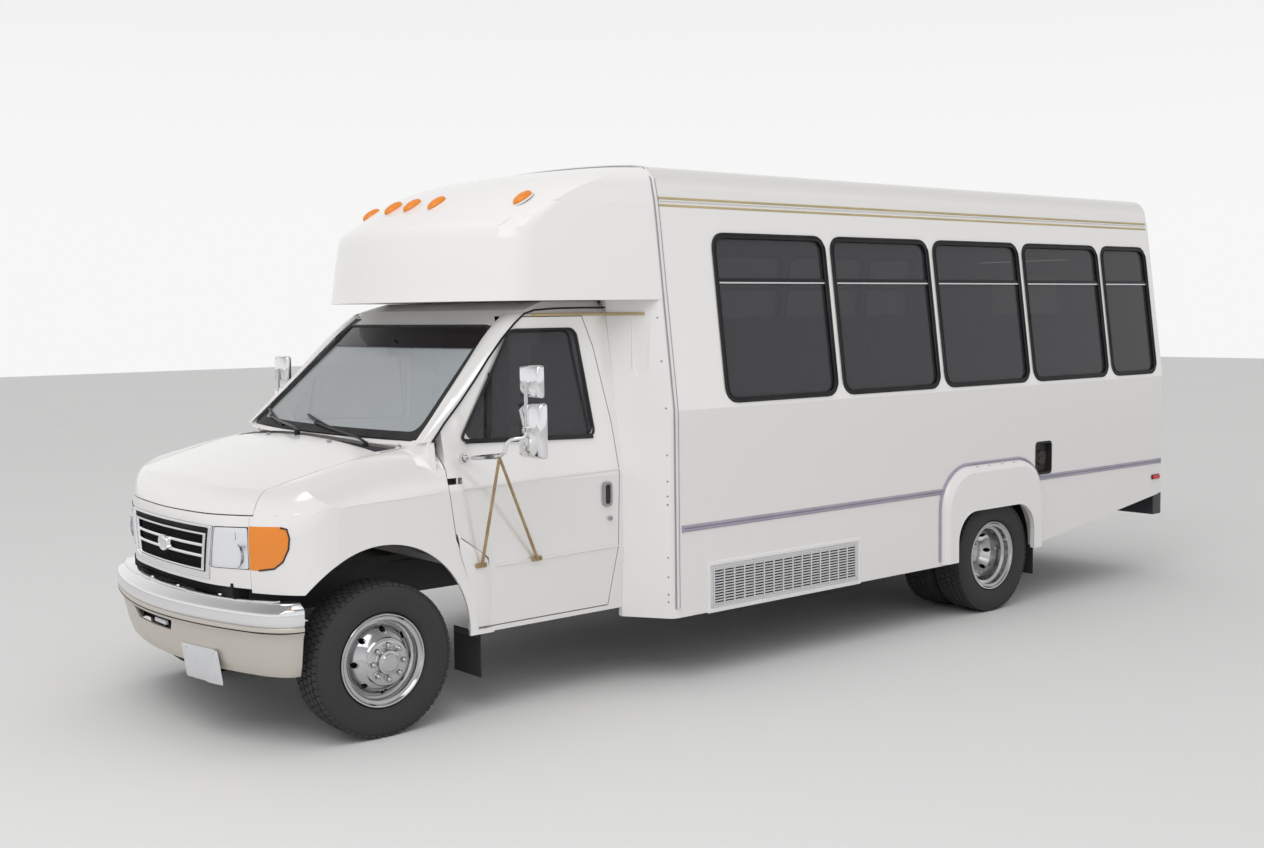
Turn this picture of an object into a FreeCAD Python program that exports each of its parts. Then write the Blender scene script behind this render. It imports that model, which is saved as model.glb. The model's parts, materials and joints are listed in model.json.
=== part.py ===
# A cutaway shuttle minibus: van cab, moulded over-cab cap, boxed passenger body, twin rear wheels
# Frame: +X forward, +Y left, +Z up, origin on the ground under the middle of the whole length
import FreeCAD, Part
import Sketcher
import os
from functools import lru_cache
from math import cos, radians, sin, sqrt

Vec = FreeCAD.Vector
AX, AY, AZ = Vec(1, 0, 0), Vec(0, 1, 0), Vec(0, 0, 1)
FAR = 4000
doc = FreeCAD.newDocument("minibus")
sheet = doc.addObject("Spreadsheet::Sheet", "sizes")

# Driving sizes in millimetres: name, value or formula, what it is
driving = (
    ("front_overhang", 750, "front axle to bumper face"),
    ("wheelbase", 4470, "front axle to rear axle"),
    ("rear_overhang", 2190, "rear axle to back of rear bumper"),
    ("front_axle", "=(front_overhang+wheelbase+rear_overhang)/2-front_overhang", "front axle X"),
    ("rear_axle", "=front_axle-wheelbase", "rear axle X"),
    ("rear_face", "=rear_axle-rear_overhang", "rear bumper back X"),
    ("gap", 6, "shut gap round doors and hood"),
    ("seat_gap", 0.3, "clearance of a seated piece"),
    ("seam", "=front_axle-1661", "front edge of the side walls X"),
    ("rear_wall_back", "=rear_axle-2077", "outer face of the rear wall X"),
    ("half_body", 1220, "half the width of the passenger body"),
    ("wall", 40, "thickness of walls and roof"),
    ("skirt_bottom", 370, "lower edge of the side walls"),
    ("skirt_rise", 235, "how far the skirt climbs to the rear wall"),
    ("lean_start", 1485, "height where the side walls start to lean in"),
    ("gutter_height", 2590, "height of the roof gutter"),
    ("gutter_inset", 143, "lean of the wall at the gutter"),
    ("cove_rise", 84, "straight stretch of roof side above the gutter"),
    ("cove_inset", 19, "lean of that stretch"),
    ("cove_reach", 128, "width of the rounded roof edge"),
    ("cove_height", 121, "height of the rounded roof edge"),
    ("crown_rise", 45, "crown of the roof over its edges"),
    ("floor_top", 850, "passenger floor height"),
    ("floor_thick", 50, "passenger floor thickness"),
    ("cap_bottom", 2077, "underside of the over-cab cap"),
    ("cap_wall", 14, "thickness of the cap moulding"),
    ("cap_corner", 110, "rounding of the cap's front corners"),
    ("cab_half_width", 992, "half width of the cab at its widest"),
    ("cab_skin", 40, "thickness of the cab shell and its pillars"),
    ("door_thick", 60, "thickness of a cab door"),
    ("panel_thick", 14, "thickness of hood and fenders"),
    ("cab_roof", 2074, "top of the cab roof"),
    ("cab_floor", 780, "top of the cab floor"),
    ("rocker_bottom", 420, "underside of the cab sills"),
    ("window_bottom", 1508, "lower edge of the side windows"),
    ("window_top", 2441, "upper edge of the side windows"),
    ("window_divider", 2178, "height of the window crossbar"),
    ("window_width", 914, "wide side window"),
    ("window_end_width", 600, "last side window"),
    ("window_pitch", 960, "spacing of the side windows"),
    ("window_first", 369, "seam to first window"),
    ("window_radius", 95, "corner radius of a side window"),
    ("window_bar", 26, "width of a window frame bar"),
    ("window_proud", 4, "window frame beyond the wall"),
    ("glass", 6, "thickness of a pane"),
    ("tyre_radius", 372, "outer radius of a tyre"),
    ("tyre_width", 223, "width of a tyre"),
    ("rim_radius", 203, "bead seat radius"),
    ("rim_half", 84, "half width of a rim"),
    ("front_track_half", 875, "front tyre centre Y"),
    ("dual_outer", 1112, "outer rear tyre centre Y"),
    ("dual_spacing", 272, "spacing of the twin tyres"),
    ("hand_hole_circle", 151, "radius of the ring of hand holes"),
    ("hand_hole_radius", 14, "radius of a hand hole"),
    ("hand_hole_count", 8, "hand holes in a wheel"),
    ("lug_circle", 82.5, "radius of the lug circle"),
    ("lug_radius", 12, "radius of a wheel nut"),
    ("lug_count", 8, "nuts on a wheel"),
    ("front_hub_face", 118, "front mounting face beyond the tyre centre"),
    ("hub_cap_reach", 34, "centre cap beyond the front mounting face"),
    ("kingpin", 735, "kingpin Y"),
    ("pin_radius", 24, "radius of a kingpin"),
    ("spindle_radius", 42, "radius of a front spindle"),
    ("axle_tube", 48, "radius of the rear axle tube"),
    ("rail_outer", 430, "outer face of a frame rail Y"),
    ("rail_width", 65, "width of a frame rail"),
    ("rail_height", 170, "height of a frame rail"),
    ("rail_bottom", 560, "underside of the frame rails"),
    ("rail_plate", 8, "plate of a frame rail"),
    ("door_hinge_back", 430, "cab door hinge behind the front axle"),
    ("door_hinge_y", 972, "cab door hinge Y"),
    ("hood_hinge_back", 230, "hood hinge behind the front axle"),
    ("hood_hinge_height", 1352, "height of the hood hinge"),
    ("entrance_front", 120, "seam to the entrance doorway"),
    ("entrance_width", 860, "width of the entrance doorway"),
    ("entrance_bottom", 400, "lower edge of the entrance leaves"),
    ("entrance_top", 2380, "upper edge of the entrance doorway"),
    ("entrance_cheek", 45, "width of the upright surround of the doorway"),
    ("leaf_thick", 34, "thickness of an entrance leaf"),
    ("leaf_bar", 60, "width of a leaf's frame bars"),
    ("rear_door_width", 900, "width of the rear door"),
    ("rear_door_bottom", 900, "lower edge of the rear door"),
    ("rear_door_top", 2380, "upper edge of the rear door"),
    ("hinge_inset", 16, "door edge to its hinge line"),
    ("hinge_pin", 5, "radius of a hinge pin"),
    ("hinge_sleeve", 9, "radius of a hinge sleeve"),
    ("louvre_columns", 15, "columns of louvres in the condenser grille"),
    ("louvre_rows", 12, "louvres in a column"),
)
for row, (alias, value, note) in enumerate(driving, start=1):
    sheet.set(f"A{row}", alias)
    sheet.set(f"B{row}", str(value))
    sheet.setAlias(f"B{row}", alias)
    sheet.set(f"C{row}", note)
doc.recompute()


def text_of(value):
    """The expression of a number: its cells where it has them."""
    return value.text if isinstance(value, Length) else repr(round(float(value), 4))


class Length(float):
    """A number that carries its expression on the sheet's cells."""

    def __new__(cls, value, text):
        made = float.__new__(cls, value)
        made.text = text
        return made

    def __add__(self, other):
        return Length(float(self) + float(other), f"({self.text} + {text_of(other)})")

    __radd__ = __add__

    def __sub__(self, other):
        return Length(float(self) - float(other), f"({self.text} - {text_of(other)})")

    def __rsub__(self, other):
        return Length(float(other) - float(self), f"({text_of(other)} - {self.text})")

    def __mul__(self, other):
        return Length(float(self) * float(other), f"({self.text} * {text_of(other)})")

    __rmul__ = __mul__

    def __truediv__(self, other):
        return Length(float(self) / float(other), f"({self.text} / {text_of(other)})")

    def __neg__(self):
        return Length(-float(self), f"(0 - {self.text})")


class Sizes:
    """The sheet's values by name."""


s = Sizes()
for alias, value, note in driving:
    setattr(s, alias, Length(sheet.get(alias), "sizes." + alias))

nodes = []


def bind(thing, **values):
    """Set properties by expressions, a double underscore standing for a dot."""
    for prop, value in values.items():
        thing.setExpression(prop.replace("__", "."), text_of(value))
    return thing


def keep(thing, label):
    """Make this object a sub-part under its node's name."""
    thing.Label = label
    nodes.append(thing)
    return thing


def feature(label, shape):
    """A sub-part whose shape comes from Part's own functions."""
    if len(shape.Solids) == 1:
        shape = shape.Solids[0]
    thing = doc.addObject("Part::Feature", label)
    thing.Shape = shape.removeSplitter()
    thing.Placement = FreeCAD.Placement()
    return keep(thing, label)


# Bound objects


def block(x, y, z):
    """A box bound to the sheet by its two ends along each axis."""
    made = doc.addObject("Part::Box", "block")
    bind(made, Length=x[1] - x[0], Width=y[1] - y[0], Height=z[1] - z[0])
    return bind(made, Placement__Base__x=x[0], Placement__Base__y=y[0], Placement__Base__z=z[0])


def side_blocks(x, y, z):
    """The same bound box on the left and, mirrored, on the right."""
    return [block(x, y, z), block(x, (-y[1], -y[0]), z)]


def drum(start, way, radius, length):
    """A cylinder bound to the sheet, from its start along an axis."""
    made = doc.addObject("Part::Cylinder", "drum")
    made.Placement = FreeCAD.Placement(Vec(), FreeCAD.Rotation(AZ, way))
    bind(made, Radius=radius, Height=length)
    return bind(made, Placement__Base__x=start[0], Placement__Base__y=start[1], Placement__Base__z=start[2])


def joined(things):
    made = doc.addObject("Part::MultiFuse", "joined")
    made.Shapes = things
    return made


def without(base, tools):
    made = doc.addObject("Part::Cut", "cut")
    made.Base = base
    made.Tool = tools[0] if len(tools) == 1 else joined(tools)
    return made


def grouped(things):
    made = doc.addObject("Part::Compound", "group")
    made.Links = things
    return made


class Piece:
    """A body made of sketches, whose corners are held by sizes from the origin."""

    def __init__(self):
        self.body = doc.addObject("PartDesign::Body", "body")
        self.planes = {plane.Role: plane for plane in self.body.Origin.OriginFeatures}

    def start(self, plane, depth):
        drawn = self.body.newObject("Sketcher::SketchObject", "sketch")
        drawn.AttachmentSupport = [(self.planes[plane + "_Plane"], "")]
        drawn.MapMode = "FlatFace"
        drawn.AttachmentOffset = FreeCAD.Placement(Vec(0, 0, depth), FreeCAD.Rotation())
        return bind(drawn, AttachmentOffset__Base__z=depth)

    def outline(self, plane, depth, corners):
        """A closed outline of straight lines through its corners."""
        drawn = self.start(plane, depth)
        count = len(corners)
        ends = [Vec(float(a), float(b), 0) for a, b in corners]
        drawn.addGeometry([Part.LineSegment(ends[n], ends[(n + 1) % count]) for n in range(count)])
        drawn.addConstraint([Sketcher.Constraint("Coincident", n, 2, (n + 1) % count, 1) for n in range(count)])
        for n, (a, b) in enumerate(corners):
            for kind, value in (("DistanceX", a), ("DistanceY", b)):
                held = drawn.addConstraint(Sketcher.Constraint(kind, -1, 1, n, 1, float(value)))
                bind(drawn, **{f"Constraints[{held}]": value})
        return drawn

    def disc(self, plane, depth, centre, radius):
        drawn = self.start(plane, depth)
        drawn.addGeometry(Part.Circle(Vec(float(centre[0]), float(centre[1]), 0), AZ, float(radius)))
        for kind, ends, value in (("Radius", (0,), radius), ("DistanceX", (-1, 1, 0, 3), centre[0]),
                                  ("DistanceY", (-1, 1, 0, 3), centre[1])):
            held = drawn.addConstraint(Sketcher.Constraint(kind, *ends, float(value)))
            bind(drawn, **{f"Constraints[{held}]": value})
        return drawn

    def add(self, kind, sketch, **values):
        made = self.body.newObject("PartDesign::" + kind, kind.lower())
        made.Profile = sketch
        return bind(made, **values)

    def pad(self, sketch, length, back=False):
        made = self.add("Pad", sketch, Length=length)
        made.Reversed = back
        return made

    def pocket(self, sketch):
        """Cut both ways through the whole body."""
        made = self.add("Pocket", sketch)
        made.Type = "ThroughAll"
        made.SideType = "Symmetric"
        return made

    def turn(self, sketch):
        """Turn a sketch about its own horizontal axis."""
        made = self.add("Revolution", sketch)
        made.ReferenceAxis = (sketch, ["H_Axis"])
        made.Angle = 360
        return made

    def round(self, radius, test):
        """Round the straight edges that a test picks by their middle and direction."""
        doc.recompute()
        last = self.body.Tip
        picked = []
        for number, edge in enumerate(last.Shape.Edges, start=1):
            if edge.Curve.TypeId == "Part::GeomLine" and test(edge.CenterOfMass, edge.Curve.Direction):
                picked.append(f"Edge{number}")
        made = self.body.newObject("PartDesign::Fillet", "round")
        made.Base = (last, picked)
        return bind(made, Radius=radius)

    def ring_of(self, made, count):
        """Repeat a feature round the axis of its sketch."""
        pattern = self.body.newObject("PartDesign::PolarPattern", "ring")
        pattern.Originals = [made]
        pattern.Axis = (made.Profile[0], ["N_Axis"])
        pattern.Angle = 360
        self.body.Tip = pattern
        return bind(pattern, Occurrences=count)

    def place(self, x, y, z):
        bind(self.body, Placement__Base__x=x, Placement__Base__y=y, Placement__Base__z=z)
        return self.body


# Plain shapes


def box(x1, x2, y1, y2, z1, z2):
    """A plain solid box between two corners."""
    corner = Vec(min(x1, x2), min(y1, y2), min(z1, z2))
    return Part.makeBox(abs(x2 - x1), abs(y2 - y1), abs(z2 - z1), corner)


def rod(start, end, radius):
    start, end = Vec(*start), Vec(*end)
    return Part.makeCylinder(radius, (end - start).Length, start, end - start)


def tube_path(points, radius):
    """Round bar through the points, its bends filled by balls."""
    runs = [rod(a, b, radius) for a, b in zip(points, points[1:])]
    balls = [Part.makeSphere(radius, Vec(*p)) for p in points[1:-1]]
    return union(runs + balls)


def union(shapes):
    return shapes[0].multiFuse(shapes[1:]) if len(shapes) > 1 else shapes[0]


def wire_face(points):
    return Part.Face(Part.makePolygon([Vec(*p) for p in points] + [Vec(*points[0])]))


def side_prism(outline, y1, y2):
    """Prism along Y over an outline of X and Z."""
    return wire_face([(x, y1, z) for x, z in outline]).extrude(Vec(0, y2 - y1, 0))


def plan_prism(outline, z1, z2):
    """Prism along Z over an outline of X and Y."""
    return wire_face([(x, y, z1) for x, y in outline]).extrude(Vec(0, 0, z2 - z1))


def end_prism(outline, x1, x2):
    """Prism along X over an outline of Y and Z."""
    return wire_face([(x1, y, z) for y, z in outline]).extrude(Vec(x2 - x1, 0, 0))


def mirrored(shape):
    return shape.mirror(Vec(0, 0, 0), AY)


def both_sides(shape):
    return [shape, mirrored(shape)]


def biggest(shape):
    return max(shape.Solids, key=lambda solid: solid.Volume)


def round_along(shape, axis, radius, test=None):
    """Round the straight edges that run along one axis."""
    picked = []
    for edge in shape.Edges:
        way = edge.tangentAt(edge.FirstParameter)
        if abs(abs(way.dot(axis)) - 1) < 1e-6 and (test is None or test(edge.CenterOfMass)):
            picked.append(edge)
    return shape.makeFillet(radius, picked)


def ahead(distance):
    """X of a place given from the front axle."""
    return s.front_axle + distance


def moved(outline):
    """An outline of X from the front axle and Z, in the frame's X."""
    return [(ahead(x), z) for x, z in outline]


def thick_line(points):
    return [Part.LineSegment(a, b).toShape() for a, b in zip(points, points[1:])]


# The passenger body

gutter_y = s.half_body - s.gutter_inset
lean = float(s.gutter_inset / (s.gutter_height - s.lean_start))


def wall_y(z, depth=0.0):
    """Left wall's Y at a height, a depth in from its outer face."""
    return s.half_body - depth - max(0.0, z - s.lean_start) * lean


def wall_slab(x1, x2, outer, inner, z1, z2):
    """A slice of the left wall between two depths from its outer face."""
    heights = [z1] + ([s.lean_start] if z1 < s.lean_start < z2 else []) + [z2]
    outline = [(wall_y(z, outer), z) for z in heights] + [(wall_y(z, inner), z) for z in reversed(heights)]
    return end_prism(outline, x1, x2)


def roof_edge(x, inset):
    """Upper outline of the body at X from the left gutter over the crown to the right one."""
    yg, zg = gutter_y - inset, s.gutter_height
    y1, z1 = yg - s.cove_inset, zg + s.cove_rise - inset * 0.3
    y3, z3 = y1 - s.cove_reach, zg + s.cove_rise + s.cove_height - inset
    y2, z2 = y1 - s.cove_reach * 0.28, z1 + (z3 - z1) * 0.68
    return [Part.LineSegment(Vec(x, yg, zg), Vec(x, y1, z1)),
            Part.Arc(Vec(x, y1, z1), Vec(x, y2, z2), Vec(x, y3, z3)),
            Part.Arc(Vec(x, y3, z3), Vec(x, 0, z3 + s.crown_rise), Vec(x, -y3, z3)),
            Part.Arc(Vec(x, -y3, z3), Vec(x, -y2, z2), Vec(x, -y1, z1)),
            Part.LineSegment(Vec(x, -y1, z1), Vec(x, -yg, zg))]


def roof_solid(inset, x1, x2):
    yg = gutter_y - inset
    closing = Part.LineSegment(Vec(x1, -yg, s.gutter_height), Vec(x1, yg, s.gutter_height))
    outline = Part.Wire([curve.toShape() for curve in roof_edge(x1, inset) + [closing]])
    return Part.Face(outline).extrude(Vec(x2 - x1, 0, 0))


wheel_room_radius = s.tyre_radius + 55


def arch_cut(axle_x, y1, y2, radius, height):
    """A half round over the axle with straight legs to the ground."""
    hole = rod((axle_x, y1, height), (axle_x, y2, height), radius)
    return hole.fuse(box(axle_x - radius, axle_x + radius, y1, y2, 0, height))


window_rows = []
for number in range(5):
    window_end = s.seam - s.window_first - number * s.window_pitch
    wide = s.window_end_width if number == 4 else s.window_width
    window_rows.append((window_end - wide, window_end))


def window_prism(x1, x2, trim):
    """Rounded outline of a window run along Y, trimmed all round."""
    whole = box(x1 + trim, x2 - trim, 900, 1400, s.window_bottom + trim, s.window_top - trim)
    return round_along(whole, AY, s.window_radius - trim)


def window_parts(x1, x2):
    """Frame and panes of one side window on the left, in the leaning wall."""
    bar, shut = s.window_bar, s.seat_gap
    slab = wall_slab(x1, x2, -s.window_proud, s.wall, s.window_bottom, s.window_top)
    ring = window_prism(x1, x2, shut).cut(window_prism(x1, x2, bar)).common(slab)
    low, high = s.window_divider - bar / 2, s.window_divider + bar / 2
    span = wall_slab(x1 + bar / 2, x2 - bar / 2, 0, s.wall - 6, low, high)
    pane = window_prism(x1, x2, bar + shut).common(wall_slab(x1, x2, 10, 10 + s.glass, s.window_bottom, s.window_top))
    panes = [pane.common(box(x1, x2, 900, 1400, s.window_bottom, low - shut)),
             pane.common(box(x1, x2, 900, 1400, high + shut, s.window_top))]
    return ring.fuse(span).removeSplitter().Solids[0], [half.Solids[0] for half in panes]


def hinge(axis, out, to_frame, heights):
    """Door hinges on one upright line: the frame's pins and ears, the leaf's sleeves, and the room they need."""
    x, y = axis
    fixed, sleeves, room = [], [], []
    for z in heights:
        fixed.append(rod((x, y, z - 45), (x, y, z + 45), s.hinge_pin))
        sleeve = rod((x, y, z - 21.7), (x, y, z + 21.7), s.hinge_sleeve)
        sleeves.append((sleeve, rod((x, y, z - 22), (x, y, z + 22), s.hinge_pin + s.seat_gap)))
        for low in (z - 45, z + 22):
            fixed.append(rod((x, y, low), (x, y, low + 23), 8))
            room.append(rod((x, y, low - 5), (x, y, low + 28), 14))
            reach_x, reach_y = x + to_frame[0] * 38, y + to_frame[1] * 38
            near = [(x + out[0] * 8, y + out[1] * 8), (x - out[0] * 5, y - out[1] * 5),
                    (reach_x - out[0] * 5, reach_y - out[1] * 5), (reach_x + out[0] * 8, reach_y + out[1] * 8)]
            fixed.append(plan_prism(near, low, low + 23))
    return fixed, sleeves, room


def hung(leaf, sleeves, room):
    """A leaf with its hinge sleeves bored for the pins and clear of the ears."""
    leaf = leaf.cut(room)
    leaf = union([leaf] + [sleeve for sleeve, bore in sleeves])
    return leaf.cut([bore for sleeve, bore in sleeves])


# Side walls with window holes, wheel arches, a rising rear skirt and, on the right, the entrance
skirt_cut = side_prism([(s.rear_axle - 420, 0), (s.rear_axle - 420, s.skirt_bottom + 20),
                        (s.rear_wall_back - 10, s.skirt_bottom + s.skirt_rise),
                        (s.rear_wall_back - 10, 0)], -FAR, FAR)
rear_arch = arch_cut(s.rear_axle, 0, FAR, wheel_room_radius + 12, 400)
grille_x1, grille_x2, grille_z1, grille_z2 = ahead(-3108), ahead(-1895), 388, 624
filler_cup = round_along(box(ahead(-5110), ahead(-4932), 1186, FAR, 875, 1090), AY, 30)
plain_wall = wall_slab(s.rear_wall_back + s.wall, s.seam, 0, s.wall, s.skirt_bottom, s.gutter_height)
plain_wall = plain_wall.cut([skirt_cut, rear_arch])
holes = [window_prism(a, b, 0) for a, b in window_rows]
feature("left_wall", plain_wall.cut(holes + [box(grille_x1, grille_x2, 900, FAR, grille_z1, grille_z2), filler_cup]))

door_x2 = s.seam - s.entrance_front
door_x1 = door_x2 - s.entrance_width
door_face = s.half_body - 2
doorway = box(door_x1, door_x2, 900, FAR, 0, s.entrance_top)
cheek = s.entrance_cheek
surround = box(door_x1 - cheek, door_x2 + cheek, wall_y(s.gutter_height, s.wall), s.half_body,
               s.skirt_bottom, s.entrance_top + cheek)
surround = surround.common(wall_slab(s.rear_wall_back, s.seam, -FAR, s.wall, s.skirt_bottom, s.gutter_height))
leaf_hinges = []
for end, way in ((door_x2, 1), (door_x1, -1)):
    leaf_hinges.append(hinge((end - way * s.hinge_inset, -door_face), (0, -1), (way, 0), (620, 1400, 2180)))
right_side = mirrored(plain_wall.cut(holes[1:]).fuse(surround).cut(doorway))
feature("right_wall", union([right_side] + [piece for fixed, sleeves, room in leaf_hinges for piece in fixed]))

roof_inside = roof_solid(s.wall, s.rear_wall_back + s.wall, s.seam + 1)
feature("roof", roof_solid(0, s.rear_wall_back, s.seam).cut(roof_inside))

# Rear wall with its doorway, between the side walls and under the roof
half_rear_door = s.rear_door_width / 2
rear_low = s.skirt_bottom + s.skirt_rise
rear_wall = Piece()
rear_wall.pad(rear_wall.outline("YZ", s.rear_wall_back, (
    (-s.half_body, rear_low), (s.half_body, rear_low), (s.half_body, s.lean_start), (gutter_y, s.gutter_height),
    (-gutter_y, s.gutter_height), (-s.half_body, s.lean_start))), s.wall)
rear_wall.pocket(rear_wall.outline("YZ", s.rear_wall_back, (
    (-half_rear_door, s.rear_door_bottom), (half_rear_door, s.rear_door_bottom),
    (half_rear_door, s.rear_door_top), (-half_rear_door, s.rear_door_top))))
rail_top = s.rail_bottom + s.rail_height
rear_wall.pocket(rear_wall.outline("YZ", s.rear_wall_back, (
    (-s.rail_outer - 10, 0), (s.rail_outer + 10, 0), (s.rail_outer + 10, rail_top + 6),
    (-s.rail_outer - 10, rail_top + 6))))
rear_wall.round(60, lambda middle, way: abs(way.x) > 0.9 and abs(abs(middle.y) - half_rear_door) < 1)
doc.recompute()
rear_hinge = hinge((s.rear_wall_back, s.hinge_inset - half_rear_door), (-1, 0), (0, -1), (1080, 1640, 2200))
feature("rear_wall", union([rear_wall.body.Shape] + rear_hinge[0]))

# Floor with wheel boxes over the twin wheels and a step well at the entrance
floor_y = s.half_body - s.wall
box_half = wheel_room_radius + 30
box_y = s.dual_outer - s.dual_spacing - s.tyre_width / 2 - 40
box_x = (s.rear_axle - box_half, s.rear_axle + box_half)
well_depth, well_rise, tread = 560, 210, 20
well_bottom = s.entrance_bottom + 20
well_x = (door_x1, door_x2)
deck = without(block((s.rear_wall_back + s.wall, s.seam), (-floor_y, floor_y), (s.floor_top - s.floor_thick, s.floor_top)),
               [block(well_x, (-floor_y - 1, -floor_y + well_depth), (0, 1000))])
deck = joined([deck] + side_blocks(box_x, (box_y - 12, floor_y), (s.floor_top, 900)))
deck = without(deck, side_blocks((box_x[0] + 12, box_x[1] - 12), (box_y, floor_y + 1), (0, 888)))
middle_y = -floor_y + well_depth / 2
well = [block(well_x, (-floor_y, middle_y), (well_bottom, well_bottom + tread)),
        block(well_x, (middle_y - 12, -floor_y + well_depth), (well_bottom + well_rise, well_bottom + well_rise + tread)),
        block(well_x, (middle_y - 12, middle_y), (well_bottom, well_bottom + well_rise + tread)),
        block(well_x, (-floor_y + well_depth - 12, -floor_y + well_depth), (well_bottom, s.floor_top))]
for x in (door_x1 - 12, door_x2):
    well.append(block((x, x + 12), (-floor_y, -floor_y + well_depth), (well_bottom, s.floor_top)))
keep(joined([deck] + well), "body_floor")

# Side windows: five on the left, four on the right
frames, panes = [], []
for number, (a, b) in enumerate(window_rows):
    frame, halves = window_parts(a, b)
    frames.append(frame)
    panes += halves
    if number:
        frames.append(mirrored(frame))
        panes += [mirrored(half) for half in halves]
feature("window_frames", Part.makeCompound(frames))
feature("window_glass", Part.makeCompound(panes))

# The cab and the front end


def bowed(levels, radius, shift=0.0, wide=1300):
    """Solid whose front is a bowed face stacked from height and X pairs."""
    wires = []
    sag = radius - sqrt(radius * radius - wide * wide)
    for z, x in levels:
        x = x + shift
        front = Part.Arc(Vec(x - sag, wide, z), Vec(x, 0, z), Vec(x - sag, -wide, z)).toShape()
        rest = thick_line([Vec(x - sag, -wide, z), Vec(-FAR, -wide, z), Vec(-FAR, wide, z), Vec(x - sag, wide, z)])
        wires.append(Part.Wire([front] + rest))
    return Part.makeLoft(wires, True, True)


def swept(levels, plan, shift=0.0):
    """Solid whose front is a smooth profile of height and X pairs moved along a plan of Y and setback pairs."""
    profile, bow = Part.BSplineCurve(), Part.BSplineCurve()
    profile.interpolate([Vec(x + shift, 0, z) for z, x in levels])
    left = [Vec(-back, y, 0) for y, back in plan]
    bow.interpolate([Vec(p.x, -p.y, 0) for p in reversed(left[1:])] + left)
    surface = Part.BSplineSurface()
    surface.buildFromPolesMultsKnots(
        [[low + across for across in bow.getPoles()] for low in profile.getPoles()],
        profile.getMultiplicities(), bow.getMultiplicities(), profile.getKnots(), bow.getKnots(),
        False, False, profile.Degree, bow.Degree)
    return surface.toShape().extrude(Vec(-2 * FAR, 0, 0))


cap_rows = ((s.cap_bottom, -520), (2250, -549), (2400, -575), (2455, -592), (2505, -655), (2592, -790), (2700, -1000),
            (2790, -1360), (2900, -2050))
cap_bow = 1667
cap_reach = 1261
cap_taper = 0.2384


def cap_front(x, y):
    """X of the cap's bowed front beside the centre line."""
    return x - (cap_bow - sqrt(cap_bow * cap_bow - y * y))


cap_plan = [(y, -cap_front(0, y)) for y in (0, 325, 650, 975, 1300)]


def corner_tool(inset):
    """What rounds the upright left corner of the cap, thinning out towards the top."""
    wires = []
    for z, x in cap_rows[:6]:
        x, y = ahead(x) - inset, wall_y(z)
        for turn in range(8):
            y = (wall_y(z) - inset) * (1 - cap_taper * (cap_front(x, y) - s.seam) / wall_y(s.cap_bottom))
        reach = s.cap_corner * (1 if z < 2460 else 0.8 if z < 2520 else 0.3)
        corner = Vec(cap_front(x, y), y, z)
        side = corner + Vec(-reach, reach * cap_taper * 0.98, 0)
        front = Vec(cap_front(x, y - reach * 0.83), y - reach * 0.83, z)
        bend = (side + front) * 0.25 + corner * 0.5
        outer = [front + Vec(90, 0, 0), corner + Vec(90, 90, 0), side + Vec(0, 90, 0)]
        wires.append(Part.Wire([Part.Arc(side, bend, front).toShape()] + thick_line([front] + outer + [side])))
    first = wires[0].copy()
    first.translate(Vec(0, 0, -60))
    return Part.makeLoft([first] + wires, True, True)


@lru_cache
def cap_volume(inset):
    """The cap filled: body section tapering forward, cut by its bowed front, its corners rounded."""
    sections = []
    low = s.cap_bottom + inset
    for x, narrow in ((s.seam, 0), (s.seam + cap_reach, cap_taper * cap_reach)):
        scale = (wall_y(s.cap_bottom) - narrow) / wall_y(s.cap_bottom)
        under = thick_line([Vec(x, inset - gutter_y, s.gutter_height), Vec(x, -wall_y(low, inset), low),
                            Vec(x, wall_y(low, inset), low), Vec(x, gutter_y - inset, s.gutter_height)])
        flat = Part.Wire([curve.toShape() for curve in roof_edge(x, inset)] + under)
        squeeze = FreeCAD.Matrix()
        squeeze.scale(1, scale, 1)
        sections.append(Part.Wire(flat.transformGeometry(squeeze).Edges))
    body = Part.makeLoft(sections, True, True)
    rows = [(z + (inset if n == 0 else 0), ahead(x)) for n, (z, x) in enumerate(cap_rows)]
    return body.common(swept(rows, cap_plan, -inset)).cut(both_sides(corner_tool(0.97 * inset)))


# Height of the cab's front at the centre line: Z, X from the front axle
cab_front = ((s.rocker_bottom, -470), (800, -470), (960, -250), (1375, -150), (1400, -162), (1952, -761),
             (2030, -860), (s.cab_roof, -1020))
cab_bow = 3930
cab_back = ahead(-1469.7)
# Half section of the cab: Y in from its widest, Z
cab_side = ((25, s.rocker_bottom), (0, 750), (4, 1150), (34, 1385), (128, 2000), (200, s.cab_roof))
screen_rows = [(z, ahead(x)) for z, x in cab_front]


@lru_cache
def cab_section(inset):
    """The cab's cross section run along X, open below when inset."""
    under = 20 if inset else 0
    half = [(s.cab_half_width - y - inset, z) for y, z in cab_side]
    half[0] = (half[0][0], s.rocker_bottom - under)
    half[-1] = (half[-1][0], s.cab_roof - inset)
    return end_prism(half + [(-y, z) for y, z in reversed(half)], cab_back - under, ahead(200))


@lru_cache
def cab_volume(inset):
    under, top = (20, inset) if inset else (0, 0)
    rows = list(screen_rows)
    rows[0] = (rows[0][0] - under, rows[0][1])
    rows[-1] = (rows[-1][0] - top, rows[-1][1])
    return cab_section(inset).common(bowed(rows, cab_bow, -inset))


# Front end, at the centre line: Z, X from the front axle
nose_front = ((300, 610), (560, 640), (840, 655), (1030, 657), (1095, 648), (1130, 640), (1172, 624), (1205, 600),
              (1232, 560), (1262, 470), (1292, 350), (1348, 110), (1402, -209), (1460, -620))
# Sections across hood and fenders: X from the front axle, top of the upright side, shoulder and crown heights
nose_sections = ((-620, 1160, 1408, 1452), (-209, 1145, 1358, 1398), (110, 1130, 1304, 1345), (350, 1115, 1243, 1288),
                 (480, 1105, 1205, 1256), (700, 1085, 1120, 1180))
shoulder_y = 760
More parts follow.
